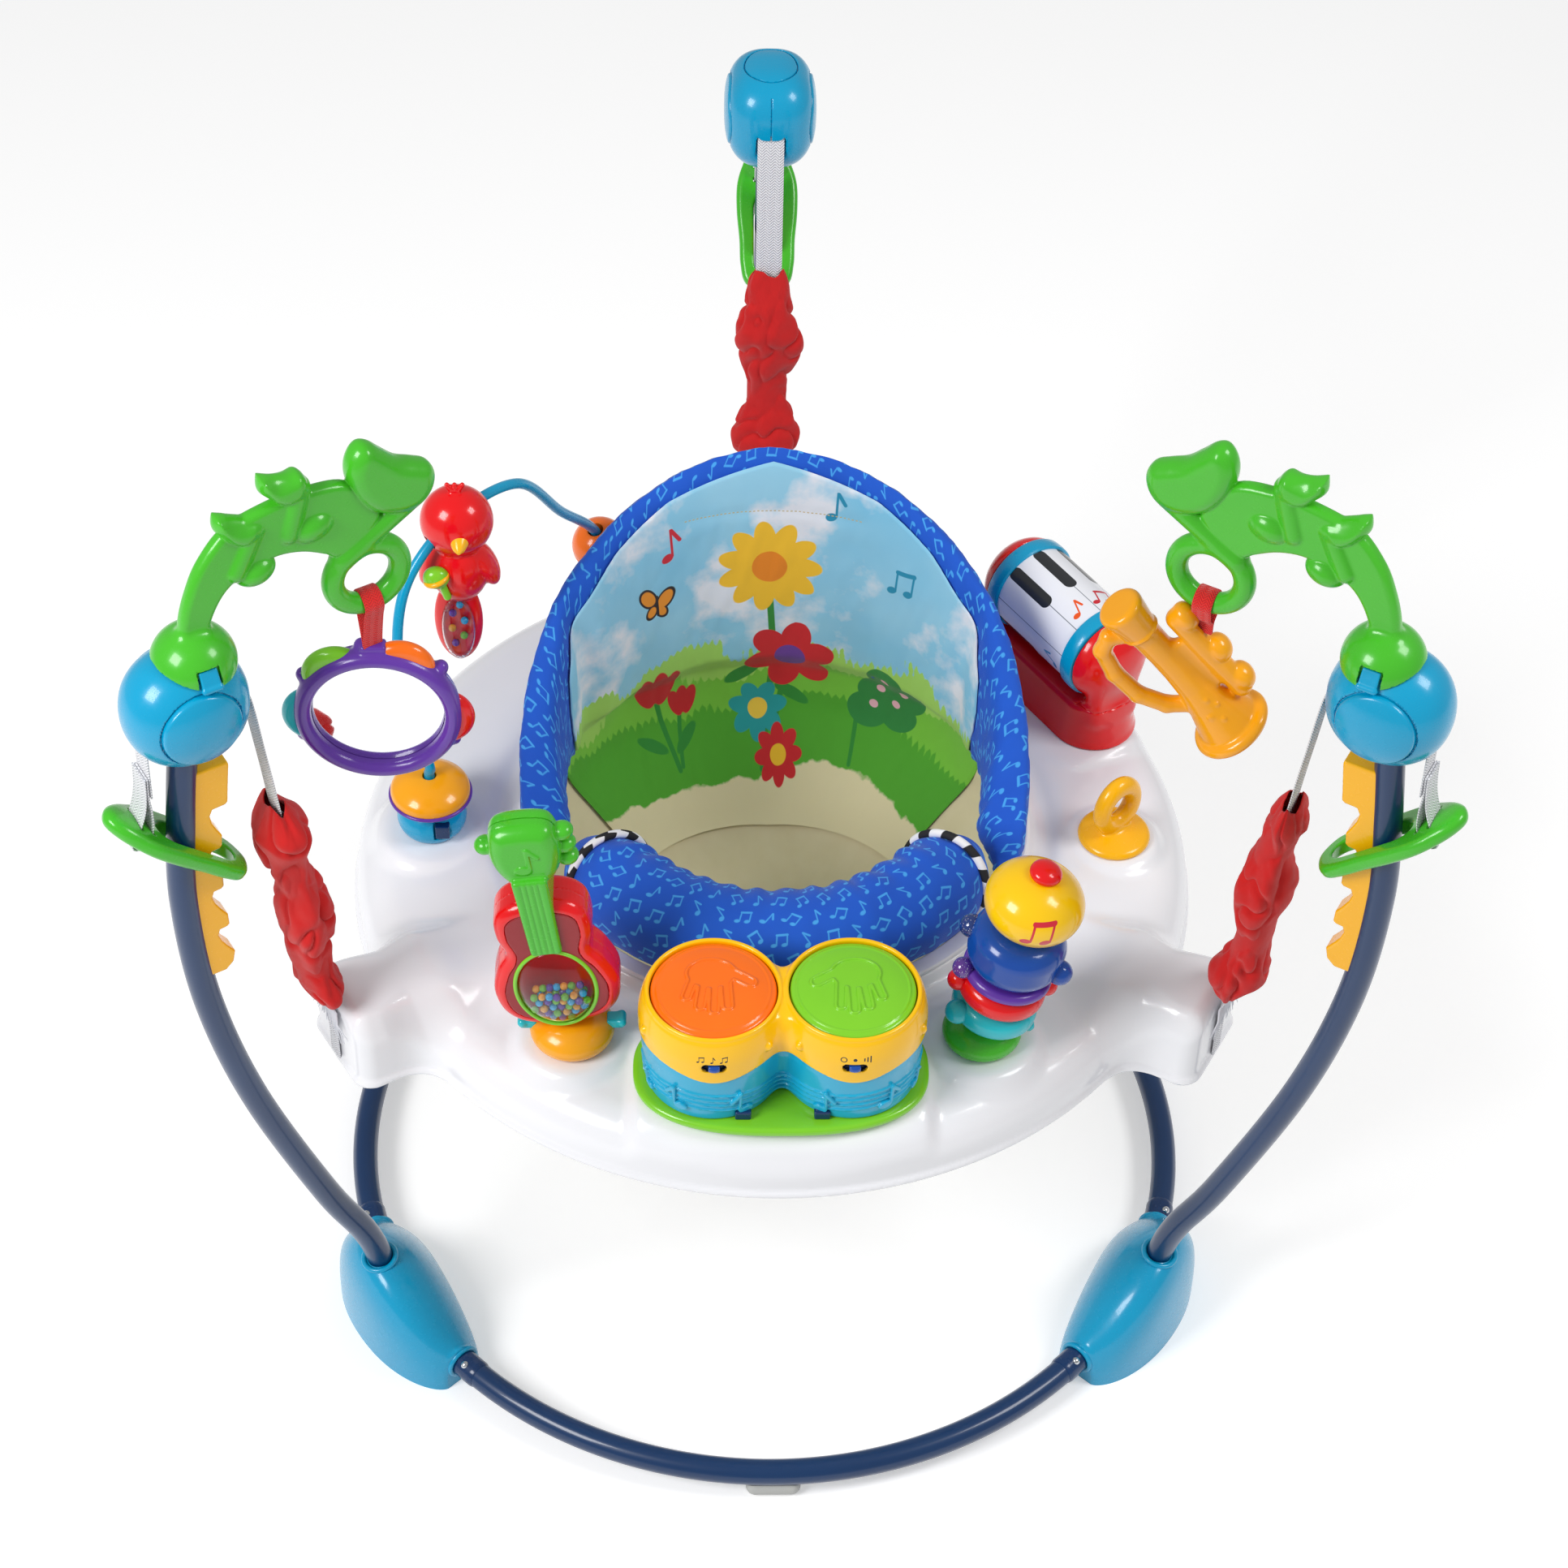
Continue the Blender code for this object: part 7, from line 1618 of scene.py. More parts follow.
# Clear polystyrene, polished by its mould: the beads behind it show through.
CLEAR_PLASTIC, tree = blank_material("clear_polystyrene")
finish(tree, {"Base Color": "#F4FAFF", "Roughness": 0.03, "IOR": 1.3, "Transmission Weight": 1.0})
guitar_spot = station(radians(TOY_PLACES["guitar"]), TOY_CIRCLE, DECK).translation
guitar_place = (Matrix.Translation(guitar_spot) @ Matrix.Rotation(-GUITAR_LEAN, 4, "Y")
    @ Matrix.Rotation(pi / 2, 4, "X"))
guitar_side = ((0.45, 0.0), (0.88, 0.1), (1.0, 0.28), (0.86, 0.46), (0.68, 0.58), (0.76, 0.72), (0.7, 0.88),
    (0.34, 0.97))
guitar_edge = [(GUITAR_HALF * x, GUITAR_FOOT + GUITAR_HEIGHT * y) for x, y in guitar_side]
guitar_edge = rounded_outline(guitar_edge + [(-x, y) for x, y in reversed(guitar_edge)], 110)
WINDOW = (0, 0.0755, 0.014)


def guitar_body_form(p):
    x, y, z = p
    flat = edge_distance(guitar_edge, x, y)
    form = slab(flat, z, 0.018, 0.0085)
    form = cut(form, slab(flat + 0.0085, z - 0.0182, 0.0014, 0.0004), 0.0005)
    form = cut(form, egg(p, WINDOW, (0.0285, 0.0385, 0.018)), 0.0006)
    form = cut(form, np.abs(z) - 0.0004 + 10 * maximum(-flat - 0.0006, 0), 0.0003)
    return cut(form, maximum(hypot(x, z) - 0.0056, y - 0.042), 0.0006)


def guitar_face_form(p):
    x, y, z = p
    form = slab(edge_distance(guitar_edge, x, y) + 0.009, z - 0.0172, 0.001, 0.0004)
    return cut(form, egg(p, WINDOW, (0.03, 0.0405, 0.018)), 0.0004)


head_edge = rounded_outline([(0.013, 0.185), (0.0215, 0.195), (0.0262, 0.21), (0.0262, 0.226), (0.02, 0.24),
    (0.0, 0.2435), (-0.02, 0.24), (-0.0262, 0.226), (-0.0262, 0.21), (-0.0215, 0.195), (-0.013, 0.185),
    (0.0, 0.1835)], 90)


def guitar_neck_form(p):
    x, y, z = p
    wide = 0.0118 + 0.02 * (y - 0.115)
    form = box_field((x * 0.012 / wide, y, z), (0, 0.157, 0.004), (0.012, 0.04, 0.019), 0.003)
    for groove in (-0.0066, -0.0022, 0.0022, 0.0066):
        form = cut(form, hypot(x - groove, z - 0.0236) - 0.0013, 0.0005)
    form = join(form, slab(edge_distance(head_edge, x, y), z - 0.001, 0.0165, 0.012), 0.003)
    form = cut(form, maximum(np.abs(z - 0.001) - 0.0004, 0.193 - y), 0.0003)
    for side, height in ((1, 0.2), (1, 0.213), (1, 0.226), (-1, 0.219)):
        form = join(form, egg(p, (side * 0.029, height, 0), (0.0085, 0.0068, 0.0085)), 0.0012)
    note = relief_note(x, y - 0.214, 0.026)
    return join(form, slab(note, z - 0.0172, 0.0014, 0.0009), 0.0006)


def dome_form(p):
    shell = egg(p, WINDOW, (0.03, 0.0405, 0.015))
    shell = cut(shell, egg(p, WINDOW, (0.0284, 0.0389, 0.0134)), 0.0003)
    return maximum(shell, WINDOW[2] + 0.0012 - p[2])


def dome_rim_form(p):
    x, y, z = p
    away = egg((x, y, 0 * z), (0, WINDOW[1], 0), (0.0305, 0.041, 1.0))
    return hypot(away, z - 0.0182) - 0.0017


def ball(centre, radius, around=16, rows=9):
    """A small round bead."""
    rings = []
    for i in range(rows):
        t = pi * (i + 0.5) / rows
        ring = [2 * pi * k / around for k in range(around)]
        low = centre[2] - radius * cos(t)
        rings.append([(centre[0] + radius * sin(t) * cos(a), centre[1] + radius * sin(t) * sin(a), low)
            for a in ring])
    return skin(rings)


for name, form, low, high, cell, material, hue in (("guitar_shells", guitar_body_form, (-0.052, 0.03, -0.02),
        (0.052, 0.173, 0.02), 0.0011, RED_ABS, "red_plastic"), ("guitar_face", guitar_face_form,
        (-0.042, 0.038, 0.015), (0.042, 0.165, 0.0194), 0.0008, DARK_RED_ABS, "red_plastic"),
        ("guitar_neck", guitar_neck_form, (-0.04, 0.112, -0.018), (0.04, 0.247, 0.026), 0.001, GREEN_ABS,
        "green_plastic"), ("guitar_dome", dome_form, (-0.032, 0.033, 0.0135), (0.032, 0.118, 0.031), 0.0008,
        CLEAR_PLASTIC, "white_plastic"), ("guitar_dome_rim", dome_rim_form, (-0.034, 0.03, 0.015),
        (0.034, 0.12, 0.0215), 0.0008, LIME_ABS, "lime_plastic")):
    replaced = ["guitar_body"] if name == "guitar_shells" else ()
    piece(name, cast(form, low, high, cell), material, "guitar", guitar_place, replaced)
# Polystyrene beads, moulded in four strong colours with a hard gloss.
BEAD_HUES = {"purple": moulded("purple_bead", ("#5B2A9A", "#6A35AC", "#A080D0"), 0.15, 0.0),
    "blue": moulded("blue_bead", ("#18A6DC", "#22B2E6", "#80D8F4"), 0.15, 0.0), "orange": moulded("orange_bead",
    ("#F09A10", "#F8A81C", "#FFD080"), 0.15, 0.0), "green": moulded("green_bead",
    ("#6AB820", "#78C62C", "#B0E080"), 0.15, 0.0)}
beads = {hue: [] for hue in BEAD_HUES}
hues = list(BEAD_HUES)
for row in range(5):
    for column in range(-4, 5):
        x = (column + 0.5 * (row % 2)) * 0.0064 + 0.001 * sin(7 * column + row)
        y = WINDOW[1] - 0.0315 + row * 0.0056
        if (x / 0.0245) ** 2 + ((y - WINDOW[1]) / 0.035) ** 2 < 1 and y < WINDOW[1] - 0.004 + 0.25 * x:
            pick = hues[(3 * column + 2 * row + 40) % 4]
            beads[pick].append(ball((x, y, 0.0185 + 0.0012 * sin(5 * x * 400 + row)), 0.0031))
            beads[hues[(column + row + 21) % 4]].append(ball((x * 0.9, y + 0.003, 0.0115), 0.0031))
for hue, shapes in beads.items():
    piece("guitar_beads_" + hue, merged(*shapes), BEAD_HUES[hue], "guitar", guitar_place)


def guitar_base_form(p):
    form = cut(egg(p, (0, 0, 0.01), (0.033, 0.033, 0.0182)), p[2], 0.0015)
    lean = (-sin(GUITAR_LEAN) * 0.04, 0, cos(GUITAR_LEAN) * 0.04)
    return join(form, rod(p, (0, 0, 0.004), lean, 0.005), 0.001)


piece("guitar_base_moulding", cast(guitar_base_form, (-0.035, -0.035, -0.002), (0.035, 0.035, 0.043), 0.0011),
    AMBER_ABS, "tray", Matrix.Translation(guitar_spot), ["guitar_base"])
clip_shape = cast(lambda p: join(box_field(p, (0, 0, 0), (0.0066, 0.0058, 0.0042), 0.0018),
    rod(p, (0.005, -0.004, 0.0012), (0.005, 0.004, 0.0012), 0.0036)), (-0.01, -0.009, -0.007),
    (0.012, 0.009, 0.007), 0.0007)
for side in (0, 1):
    place = Matrix.Translation(guitar_spot) @ Matrix.Rotation(side * pi, 4, "Z") @ Matrix.Translation((0.0335,
        0, 0.0175))
    piece("guitar_clip_%d" % side, clip_shape, TEAL_ABS, "tray", place)

# Stacking toy: four rings and a flattened ball on the leaning stem of a green base. Each ring has moulded grip
# balls; the clear ones are polystyrene with glitter. The ball is printed with two notes and has a red knob.
STACK_LEAN = radians(11.3)
stack_spot = station(radians(TOY_PLACES["stack"]), TOY_CIRCLE, DECK).translation
stack_place = Matrix.Translation(stack_spot) @ Matrix.Rotation(STACK_LEAN, 4, "Y")
PURPLE_ABS = moulded("violet_abs", ("#5B2F9B", "#6839AA", "#A083CF"), 0.22)


def glitter(name, colour):
    """Tinted clear plastic with bright flakes in it, about 1 mm."""
    material, tree = blank_material(name)
    spot = add_node(tree, "TexCoord").outputs["Object"]
    flake = add_node(tree, "TexVoronoi", {"Vector": spot, "Scale": 620.0})
    mask = add_node(tree, "MapRange", {"Value": flake, "From Min": 0.24, "From Max": 0.16})
    tone = add_node(tree, "Mix", {"Factor": mask, 6: colour, 7: "#F2F4FF"}, data_type="RGBA")
    finish(tree, {"Base Color": tone, "Roughness": 0.06, "Transmission Weight": 0.35, "Coat Weight": 0.6})
    return material


def ball_print(tree, spot, under):
    """A pair of red notes on the front of the ball."""
    return pad_print(tree, spot, under, -0.01, [(0, 0.16, double_note, 0.027)], "#D3283A")


def stack_base_form(p):
    form = cut(egg(p, (0, 0, 0.008), (0.031, 0.031, 0.016)), p[2], 0.0015)
    run = (sin(STACK_LEAN), 0, cos(STACK_LEAN))
    form = join(form, rod(p, (0, 0, 0.006), [0.147 * r for r in run], 0.005), 0.001)
    return join(form, rod(p, (0, 0, 0.006), [0.0165 * r for r in run], 0.011), 0.002)


def ring_form(p, radius, low, high, bulge):
    x, y, z = p
    half = (high - low) / 2
    form = slab(hypot(x, y) - radius, z - low - half, half, min(half * 0.96, bulge))
    return cut(form, hypot(x, y) - 0.0056, 0.0006)


GOLD_ABS = moulded("golden_yellow_abs_with_note_print", ("#F9C400", "#FFCE0C", "#FFE88A"), 0.18, 0.05,
    ball_print)
piece("stack_base_moulding", cast(stack_base_form, (-0.033, -0.033, -0.002), (0.042, 0.033, 0.156), 0.0012),
    GREEN_ABS, "tray", Matrix.Translation(stack_spot), ["stack_base"])
for name, body, radius, low, high, bulge, material, hue in (("stack_ring_teal", "stack_ring_lower", 0.0335,
        0.0284, 0.0506, 0.01, TEAL_ABS, "sky_blue_plastic"), ("stack_ring_red", "stack_ring_lower", 0.0345,
        0.051, 0.0731, 0.01, RED_ABS, "red_plastic"), ("stack_ring_violet", "stack_ring_upper", 0.035, 0.0736,
        0.0838, 0.005, PURPLE_ABS, "purple_plastic"), ("stack_ring_blue", "stack_ring_upper", 0.0372, 0.084,
        0.1284, 0.017, BLUE_ABS, "dark_blue_plastic")):
    shape = cast(lambda p: ring_form(p, radius, low, high, bulge), (-0.04, -0.04, low - 0.002),
        (0.04, 0.04, high + 0.002), 0.001)
    replaced = [body] if name in ("stack_ring_teal", "stack_ring_blue") else ()
    piece(name, shape, material, body, stack_place, replaced)
VIOLET_GLITTER = glitter("clear_violet_glitter", "#6A3AA8")
BLUE_GLITTER = glitter("clear_blue_glitter", "#1B3F8F")
for name, body, angle, reach, height, radius, material, hue in (("teal_front", "stack_ring_lower", 205, 0.0335,
        0.04, 0.0098, TEAL_ABS, "sky_blue_plastic"), ("teal_back", "stack_ring_lower", 25, 0.0335, 0.04, 0.0098,
        TEAL_ABS, "sky_blue_plastic"), ("red_front", "stack_ring_lower", 185, 0.0355, 0.064, 0.0085, RED_ABS,
        "red_plastic"), ("red_back", "stack_ring_lower", 5, 0.0355, 0.064, 0.0085, RED_ABS, "red_plastic"),
        ("violet_front", "stack_ring_upper", 190, 0.0365, 0.081, 0.0085, VIOLET_GLITTER, "purple_plastic"),
        ("violet_back", "stack_ring_upper", 20, 0.0365, 0.085, 0.0085, VIOLET_GLITTER, "purple_plastic"),
        ("blue_front", "stack_ring_upper", -25, 0.0375, 0.1, 0.01, BLUE_ABS, "dark_blue_plastic"),
        ("blue_back", "stack_ring_upper", 160, 0.0375, 0.108, 0.0095, BLUE_GLITTER, "dark_blue_plastic")):
    a = radians(angle)
    grip = ball((reach * cos(a), reach * sin(a), height), radius, 28, 18)
    piece("stack_grip_" + name, grip, material, body, stack_place)


def stack_ball_form(p):
    x, y, z = p
    form = egg(p, (0, 0, 0.1563), (0.0385, 0.0385, 0.0293))
    form = cut(form, z - 0.1287, 0.0008)
    return cut(form, maximum(hypot(x, y) - 0.0056, z - 0.15), 0.0006)


piece("stack_ball_moulding", cast(stack_ball_form, (-0.041, -0.041, 0.126), (0.041, 0.041, 0.188), 0.0011),
    GOLD_ABS, "stack_ball", stack_place, ["stack_ball"])
knob = cast(lambda p: join(egg(p, (0, 0, 0.188), (0.0125, 0.0125, 0.0075)), maximum(hypot(p[0], p[1]) - 0.0075,
    np.abs(p[2] - 0.184) - 0.004), 0.002), (-0.015, -0.015, 0.178), (0.015, 0.015, 0.198), 0.0009)
piece("stack_ball_knob", knob, RED_ABS, "stack_ball", stack_place)
place = Matrix.Translation(stack_spot) @ Matrix.Translation((0.0315, 0, 0.015))
piece("stack_clip", clip_shape, TEAL_ABS, "tray", place)

# Piano toy: a red ABS base in two shells with domed ends, and a roller that spins on stub axles between them.
# The roller is wrapped in a printed film with piano keys and notes, held at both ends by sky-blue rings.
PIANO_CIRCLE = 0.296
PIANO_AXIS = 0.084
ROLLER_RADIUS = 0.0385
KEY_PITCH = 2 * pi * ROLLER_RADIUS / 9
piano_place = station(radians(TOY_PLACES["piano"]), PIANO_CIRCLE, DECK, pi / 2)


def piano_base_form(p):
    x, y, z = p
    wide = 0.0365 - 0.0045 * clip(z / 0.04, 0, 1) + 0.0012 * np.exp(-((z / 0.004) ** 2))
    flat = hypot(maximum(np.abs(x) - 0.047, 0), y) - wide
    form = cut(flat, z, 0.0015)
    form = cut(form, 0.042 - z, 0.006)
    form = cut(form, hypot(y, z - PIANO_AXIS) - 0.0425 + 10 * maximum(np.abs(x) - 0.0588, 0), 0.001)
    side = np.abs(x)
    form = join(form, box_field((side, y, z), (0.068, 0, 0.052), (0.0092, 0.024, 0.03), 0.008), 0.008)
    dome = cut(egg((side, y, z), (0.056, 0, PIANO_AXIS), (0.027, 0.0388, 0.0388)), side - 0.0588, 0.0008)
    form = join(form, dome, 0.006)
    seam = maximum(np.abs(z - 0.0415 + 0.1 * maximum(0.06 - side, 0)) - 0.0004, 0.056 - side)
    form = cut(form, maximum(seam, -form - 0.001), 0.0004)
    return join(form, np.where(side > 0.046, rod((side, y, z), (0.05, 0, PIANO_AXIS), (0.06, 0, PIANO_AXIS),
        0.004), 1.0), 0.001)


def film_print(tree, spot, under):
    """White keys with grey lines, rounded black keys, an orange note and a pair of red ones."""
    split = add_node(tree, "SeparateXYZ", [spot])
    angle = add_node(tree, "Math", [split.outputs["Y"], split.outputs["Z"]], "ARCTAN2")
    round_way = add_node(tree, "Math", [angle, ROLLER_RADIUS], "MULTIPLY")
    flat = add_node(tree, "CombineXYZ", [split.outputs["X"], round_way])
    line = add_node(tree, "Math", [round_way, KEY_PITCH / 2], "PINGPONG")
    line = add_node(tree, "Math", [line, 0.00035], "SUBTRACT")
    colour = paint(tree, under, line, "#6C717C", 0.0001)
    keys = [stroke(tree, flat, (0.04, k * KEY_PITCH), (-0.001, k * KEY_PITCH), 0.0058) for k in (-4, -3, -1, 0,
        1, 3, 4)]
    colour = paint(tree, colour, nearest(tree, *keys), "#26282C", 0.0001)
    for along, row, ink, drawn, size in ((-0.028, 0.5, "#F0591A", single_note, 0.021),
            (-0.027, -0.5, "#CF1E30", double_note, 0.022), (-0.029, 2.5, "#2E9CC8", single_note, 0.02),
            (-0.027, -2.5, "#F0A51A", single_note, 0.021), (-0.028, -3.6, "#4CAF3A", double_note, 0.021),
            (-0.028, 3.6, "#7A3FA8", double_note, 0.021)):
        moved = add_node(tree, "VectorMath", [flat, (along, row * KEY_PITCH, 0)], "SUBTRACT")
        turned = add_node(tree, "VectorRotate", {"Vector": moved, "Angle": 1.9}, rotation_type="Z_AXIS")
        colour = paint(tree, colour, drawn(tree, turned, size), ink, 0.0001)
    return colour


KEY_FILM = moulded("white_film_with_piano_keys", ("#EDEEF6", "#F4F5FA", "#FFFFFF"), 0.22, 0.02, film_print)
piece("piano_base_moulding", cast(piano_base_form, (-0.088, -0.042, -0.003), (0.088, 0.042, 0.126), 0.0013),
    RED_ABS, "tray", piano_place, ["piano_base"])
roller_place = piano_place @ Matrix.Translation((0, 0, PIANO_AXIS))
film_profile = ((-0.0455, 0.0375), (-0.045, ROLLER_RADIUS), (0.045, ROLLER_RADIUS), (0.0455, 0.0375))
ring_profile = ((0.044, 0.038), (0.044, 0.0396), (0.0452, 0.0408), (0.05, 0.0412), (0.056, 0.0408),
    (0.0576, 0.0398), (0.058, 0.038), (0.058, 0.0046), (0.048, 0.0046), (0.048, 0.038))
film, rings = ([[(x, r * sin(2 * pi * k / 96), r * cos(2 * pi * k / 96)) for k in range(96)] for x,
    r in profile] for profile in (film_profile, ring_profile))
piece("piano_film", skin(film), KEY_FILM, "piano_roller", roller_place, ["piano_roller"])
for side, turn in (("left", 0), ("right", pi)):
    place = roller_place @ Matrix.Rotation(turn, 4, "Z")
    piece("piano_ring_" + side, skin(rings, closed=True), SKY_ABS, "piano_roller", place,
        sharp=35)

# Loop toy: one glossy sun-yellow ABS moulding, a shallow cone with a fat oval ring to grip. It spins on a stud
# that is snapped into the deck.


def loop_toy_form(p):
    x, y, z = p
    reach = hypot(x, y)
    form = cut(reach - 0.0298, 0.0045 + 0.38 * maximum(0.0288 - reach, 0) - z, 0.004)
    form = cut(form, z, 0.0008)
    away = hypot(x, (z - 0.0345) * 0.82) - 0.0165
    return join(form, hypot(away, y * 0.95) - 0.0072, 0.0035)


loop_place = station(radians(TOY_PLACES["loop"]), TOY_CIRCLE, DECK) @ Matrix.Rotation(radians(40), 4, "Z")
piece("loop_toy_moulding", cast(loop_toy_form, (-0.032, -0.032, -0.002), (0.032, 0.032, 0.068), 0.001),
    YELLOW_ABS, "loop_toy", loop_place, ["loop_toy"])

# Arch toy: a bent sky-blue tube that snaps into two bosses of the tray. A yellow cymbal on a violet plate turns
# round its foot, and a plain red bird and an orange bead are threaded on it; the tail holds loose beads.
CYMBAL_LOW = 0.0342
cymbal_spot = station(pi, TOY_CIRCLE, DECK).translation
arch_end = station(radians(TOY_PLACES["arch"]), TOY_CIRCLE, DECK).translation
shift = Vector((0, STAND_SHIFT, 0))
arch_route = [start + Vector(step) for start,
    steps in ((cymbal_spot, ((0, 0, 0.03), (0, 0, 0.0582), (0, 0, 0.0702))),
    (shift, ((-0.3, 0.014, DECK + 0.15), (-0.294, 0.042, 0.65), (-0.256, 0.08, 0.69), (-0.208, 0.136, 0.68),
    (-0.176, 0.19, 0.605))), (arch_end, ((-0.006, -0.01, 0.11), (0, 0, 0.03), (0, 0, 0.01)))) for step in steps]
piece("arch_bent_tube", skin(tube_rings(smooth_path(arch_route, 150), 0.0043, 24)), SKY_ABS, "tray", None,
    ["arch_tube"])


def arch_foot_form(p):
    x, y, z = p
    form = cut(egg(p, (0, 0, 0.012), (0.0285, 0.0285, 0.0225)), z, 0.0012)
    form = join(form, maximum(hypot(x, y) - 0.015, np.abs(z - 0.026) - 0.0078), 0.0015)
    return cut(form, box_field(p, (0.01, -0.028, 0.016), (0.007, 0.006, 0.008), 0.001), 0.0008)


foot_place = Matrix.Translation(cymbal_spot)
piece("arch_foot_moulding", cast(arch_foot_form, (-0.031, -0.031, -0.002), (0.031, 0.031, 0.037), 0.001),
    SKY_ABS, "tray", foot_place)
latch = cast(lambda p: box_field(p, (0, 0, 0), (0.0058, 0.004, 0.0066), 0.001), (-0.008, -0.006, -0.009),
    (0.008, 0.006, 0.009), 0.0006)
piece("arch_foot_latch", latch, NAVY_ABS, "tray", foot_place @ Matrix.Translation((0.01, -0.024, 0.016)))


def second_foot_form(p):
    form = cut(egg(p, (0, 0, 0.003), (0.0245, 0.0245, 0.015)), p[2], 0.001)
    return join(form, rod(p, (0, 0, 0.004), (0, 0, 0.016), 0.0085, 0.007), 0.003)


piece("arch_second_foot", cast(second_foot_form, (-0.027, -0.027, -0.002), (0.027, 0.027, 0.027), 0.001),
    SKY_ABS, "tray", Matrix.Translation(arch_end))


def cymbal_form(p):
    x, y, z = p
    reach = hypot(x, y)
    top = CYMBAL_LOW + 0.0215 - 0.0125 * (reach / 0.0325) ** 3
    form = cut(reach - 0.0325, top - z, 0.003)
    form = cut(form, z - CYMBAL_LOW - 0.003, 0.0008)
    return cut(form, reach - 0.0056, 0.0006)


def cymbal_plate_form(p):
    x, y, z = p
    reach = hypot(x, y)
    return cut(slab(reach - 0.0342, z - CYMBAL_LOW - 0.0017, 0.0016, 0.0015), reach - 0.0056, 0.0004)


piece("cymbal_moulding", cast(cymbal_form, (-0.035, -0.035, 0.035), (0.035, 0.035, 0.058), 0.001), AMBER_ABS,
    "cymbal", foot_place, ["cymbal_toy"])
piece("cymbal_plate", cast(cymbal_plate_form, (-0.037, -0.037, 0.032), (0.037, 0.037, 0.04), 0.0008),
    PURPLE_ABS, "cymbal", foot_place)
BEAD_SPOT = Vector((-0.145195, 0.143446, 0.529027))
BEAD_RUN = Vector((0.163913, 0.250202, -0.954218))
BIRD_SPOT = Vector((-0.255716, -0.011196, 0.688228))
BIRD_RUN = Vector((0.669509, 0.693651, 0.265719))


def arch_bead_form(p):
    form = egg(p, (0, 0, 0), (0.024, 0.024, 0.024))
    form = cut(form, hypot(hypot(p[0], p[1]) - 0.0243, p[2]) - 0.001, 0.0006)
    return cut(form, hypot(p[0], p[1]) - 0.0066, 0.0015)


bead_place = Matrix.Translation(BEAD_SPOT) @ BEAD_RUN.to_track_quat("Z", "X").to_matrix().to_4x4()
piece("arch_bead_moulding", cast(arch_bead_form, (-0.026,) * 3, (0.026,) * 3, 0.001), ORANGE_ABS, "arch_bead",
    bead_place, ["arch_bead"])


def bird_form(p):
    """A round head on a chest, folded wings and the upper half of the tail."""
    x, y, z = p
    form = egg(p, (0.003, -0.004, 0.004), (0.029, 0.0275, 0.0295))
    form = join(form, egg(p, (0.003, -0.006, -0.043), (0.024, 0.0225, 0.031)), 0.0035)
    for side in (-1, 1):
        u, v = x - 0.003 - side * 0.021, z + 0.04
        c, s = cos(side * 0.42), sin(side * 0.42)
        form = join(form, egg((u * c + v * s, y + 0.004, v * c - u * s), (0, 0, 0), (0.0085, 0.015, 0.021)),
            0.003)
    form = join(form, egg(p, (0.0, -0.004, -0.1), (0.0195, 0.0095, 0.043)), 0.005)
    tuft = [rod(p, (0.003, -0.004, 0.031), (0.003 + lean, -0.004, 0.04), 0.0032, 0.002) for lean in (-0.006,
        0.0, 0.006)]
    form = join(form, minimum(minimum(*tuft[:2]), tuft[2]), 0.0016)
    form = cut(form, egg(p, (0.0, -0.0135, -0.104), (0.013, 0.006, 0.033)), 0.0008)
    along = sum((v * r for v, r in zip(p, BIRD_RUN)))
    away = np.sqrt(maximum(x * x + y * y + z * z - along * along, 0))
    return cut(form, away - 0.0062, 0.001)


bird_place = Matrix.Translation(BIRD_SPOT)
piece("bird_moulding", cast(bird_form, (-0.036, -0.036, -0.146), (0.042, 0.026, 0.046), 0.0012), RED_ABS,
    "arch_bird", bird_place, ["arch_bird"])
beak = tube_rings([Vector((0.006, -0.027 - step, 0.002 - step * 0.2)) for step in (0.0, 0.004, 0.009, 0.0125)],
    lambda s: 0.0072 * (1 - s) ** 0.7 + 0.0012, 24)
piece("bird_beak", skin(beak), YELLOW_ABS, "arch_bird", bird_place)
window = cast(lambda p: cut(egg(p, (0.0, -0.0105, -0.104), (0.0138, 0.0075, 0.0338)),
    egg(p, (0.0, -0.0105, -0.104), (0.0126, 0.0063, 0.0326)), 0.0003), (-0.016, -0.02, -0.14),
    (0.016, -0.001, -0.068), 0.0007)
piece("bird_tail_window", window, CLEAR_PLASTIC, "arch_bird", bird_place)
for k, (x, z) in enumerate(((-0.004, -0.088), (0.005, -0.096), (-0.005, -0.104), (0.004, -0.112),
        (-0.003, -0.12), (0.002, -0.079))):
    piece("bird_bead_%d" % k, ball((x, -0.011, z), 0.0032), BEAD_HUES[hues[k % 4]], "arch_bird", bird_place)
rattle = cast(lambda p: join(egg(p, (0, 0, 0), (0.0105, 0.008, 0.01)),
    rod(p, (0.004, 0, -0.006), (0.008, 0, -0.02), 0.0032), 0.001), (-0.013, -0.01, -0.025),
    (0.014, 0.01, 0.013), 0.0008)
piece("bird_rattle", rattle, LIME_ABS, "arch_bird", bird_place @ Matrix.Translation((-0.014, -0.027, -0.036)))
band = ring_lip(Vector((-0.014, -0.027, -0.0365)), Vector((0.35, 0, -1)).normalized(), 0.0088, 0.0022)
piece("bird_rattle_band", band, YELLOW_ABS, "arch_bird", bird_place)

# Mirror toy: a rolled violet ABS frame with a shatterproof mirror of metallised acrylic in it. Four coloured
# petals slide out from behind the frame, and a strap of red webbing hangs it from the loop of the toy arm.
MIRROR_PIVOT = Vector((-0.297047, -0.2635, 0.857))
TRUMPET_PIVOT = Vector((0.297047, -0.2635, 0.857))
mirror_place = Matrix.Translation(MIRROR_PIVOT - Vector((0, 0, 0.134))) @ Matrix.Rotation(pi / 2, 4, "X")


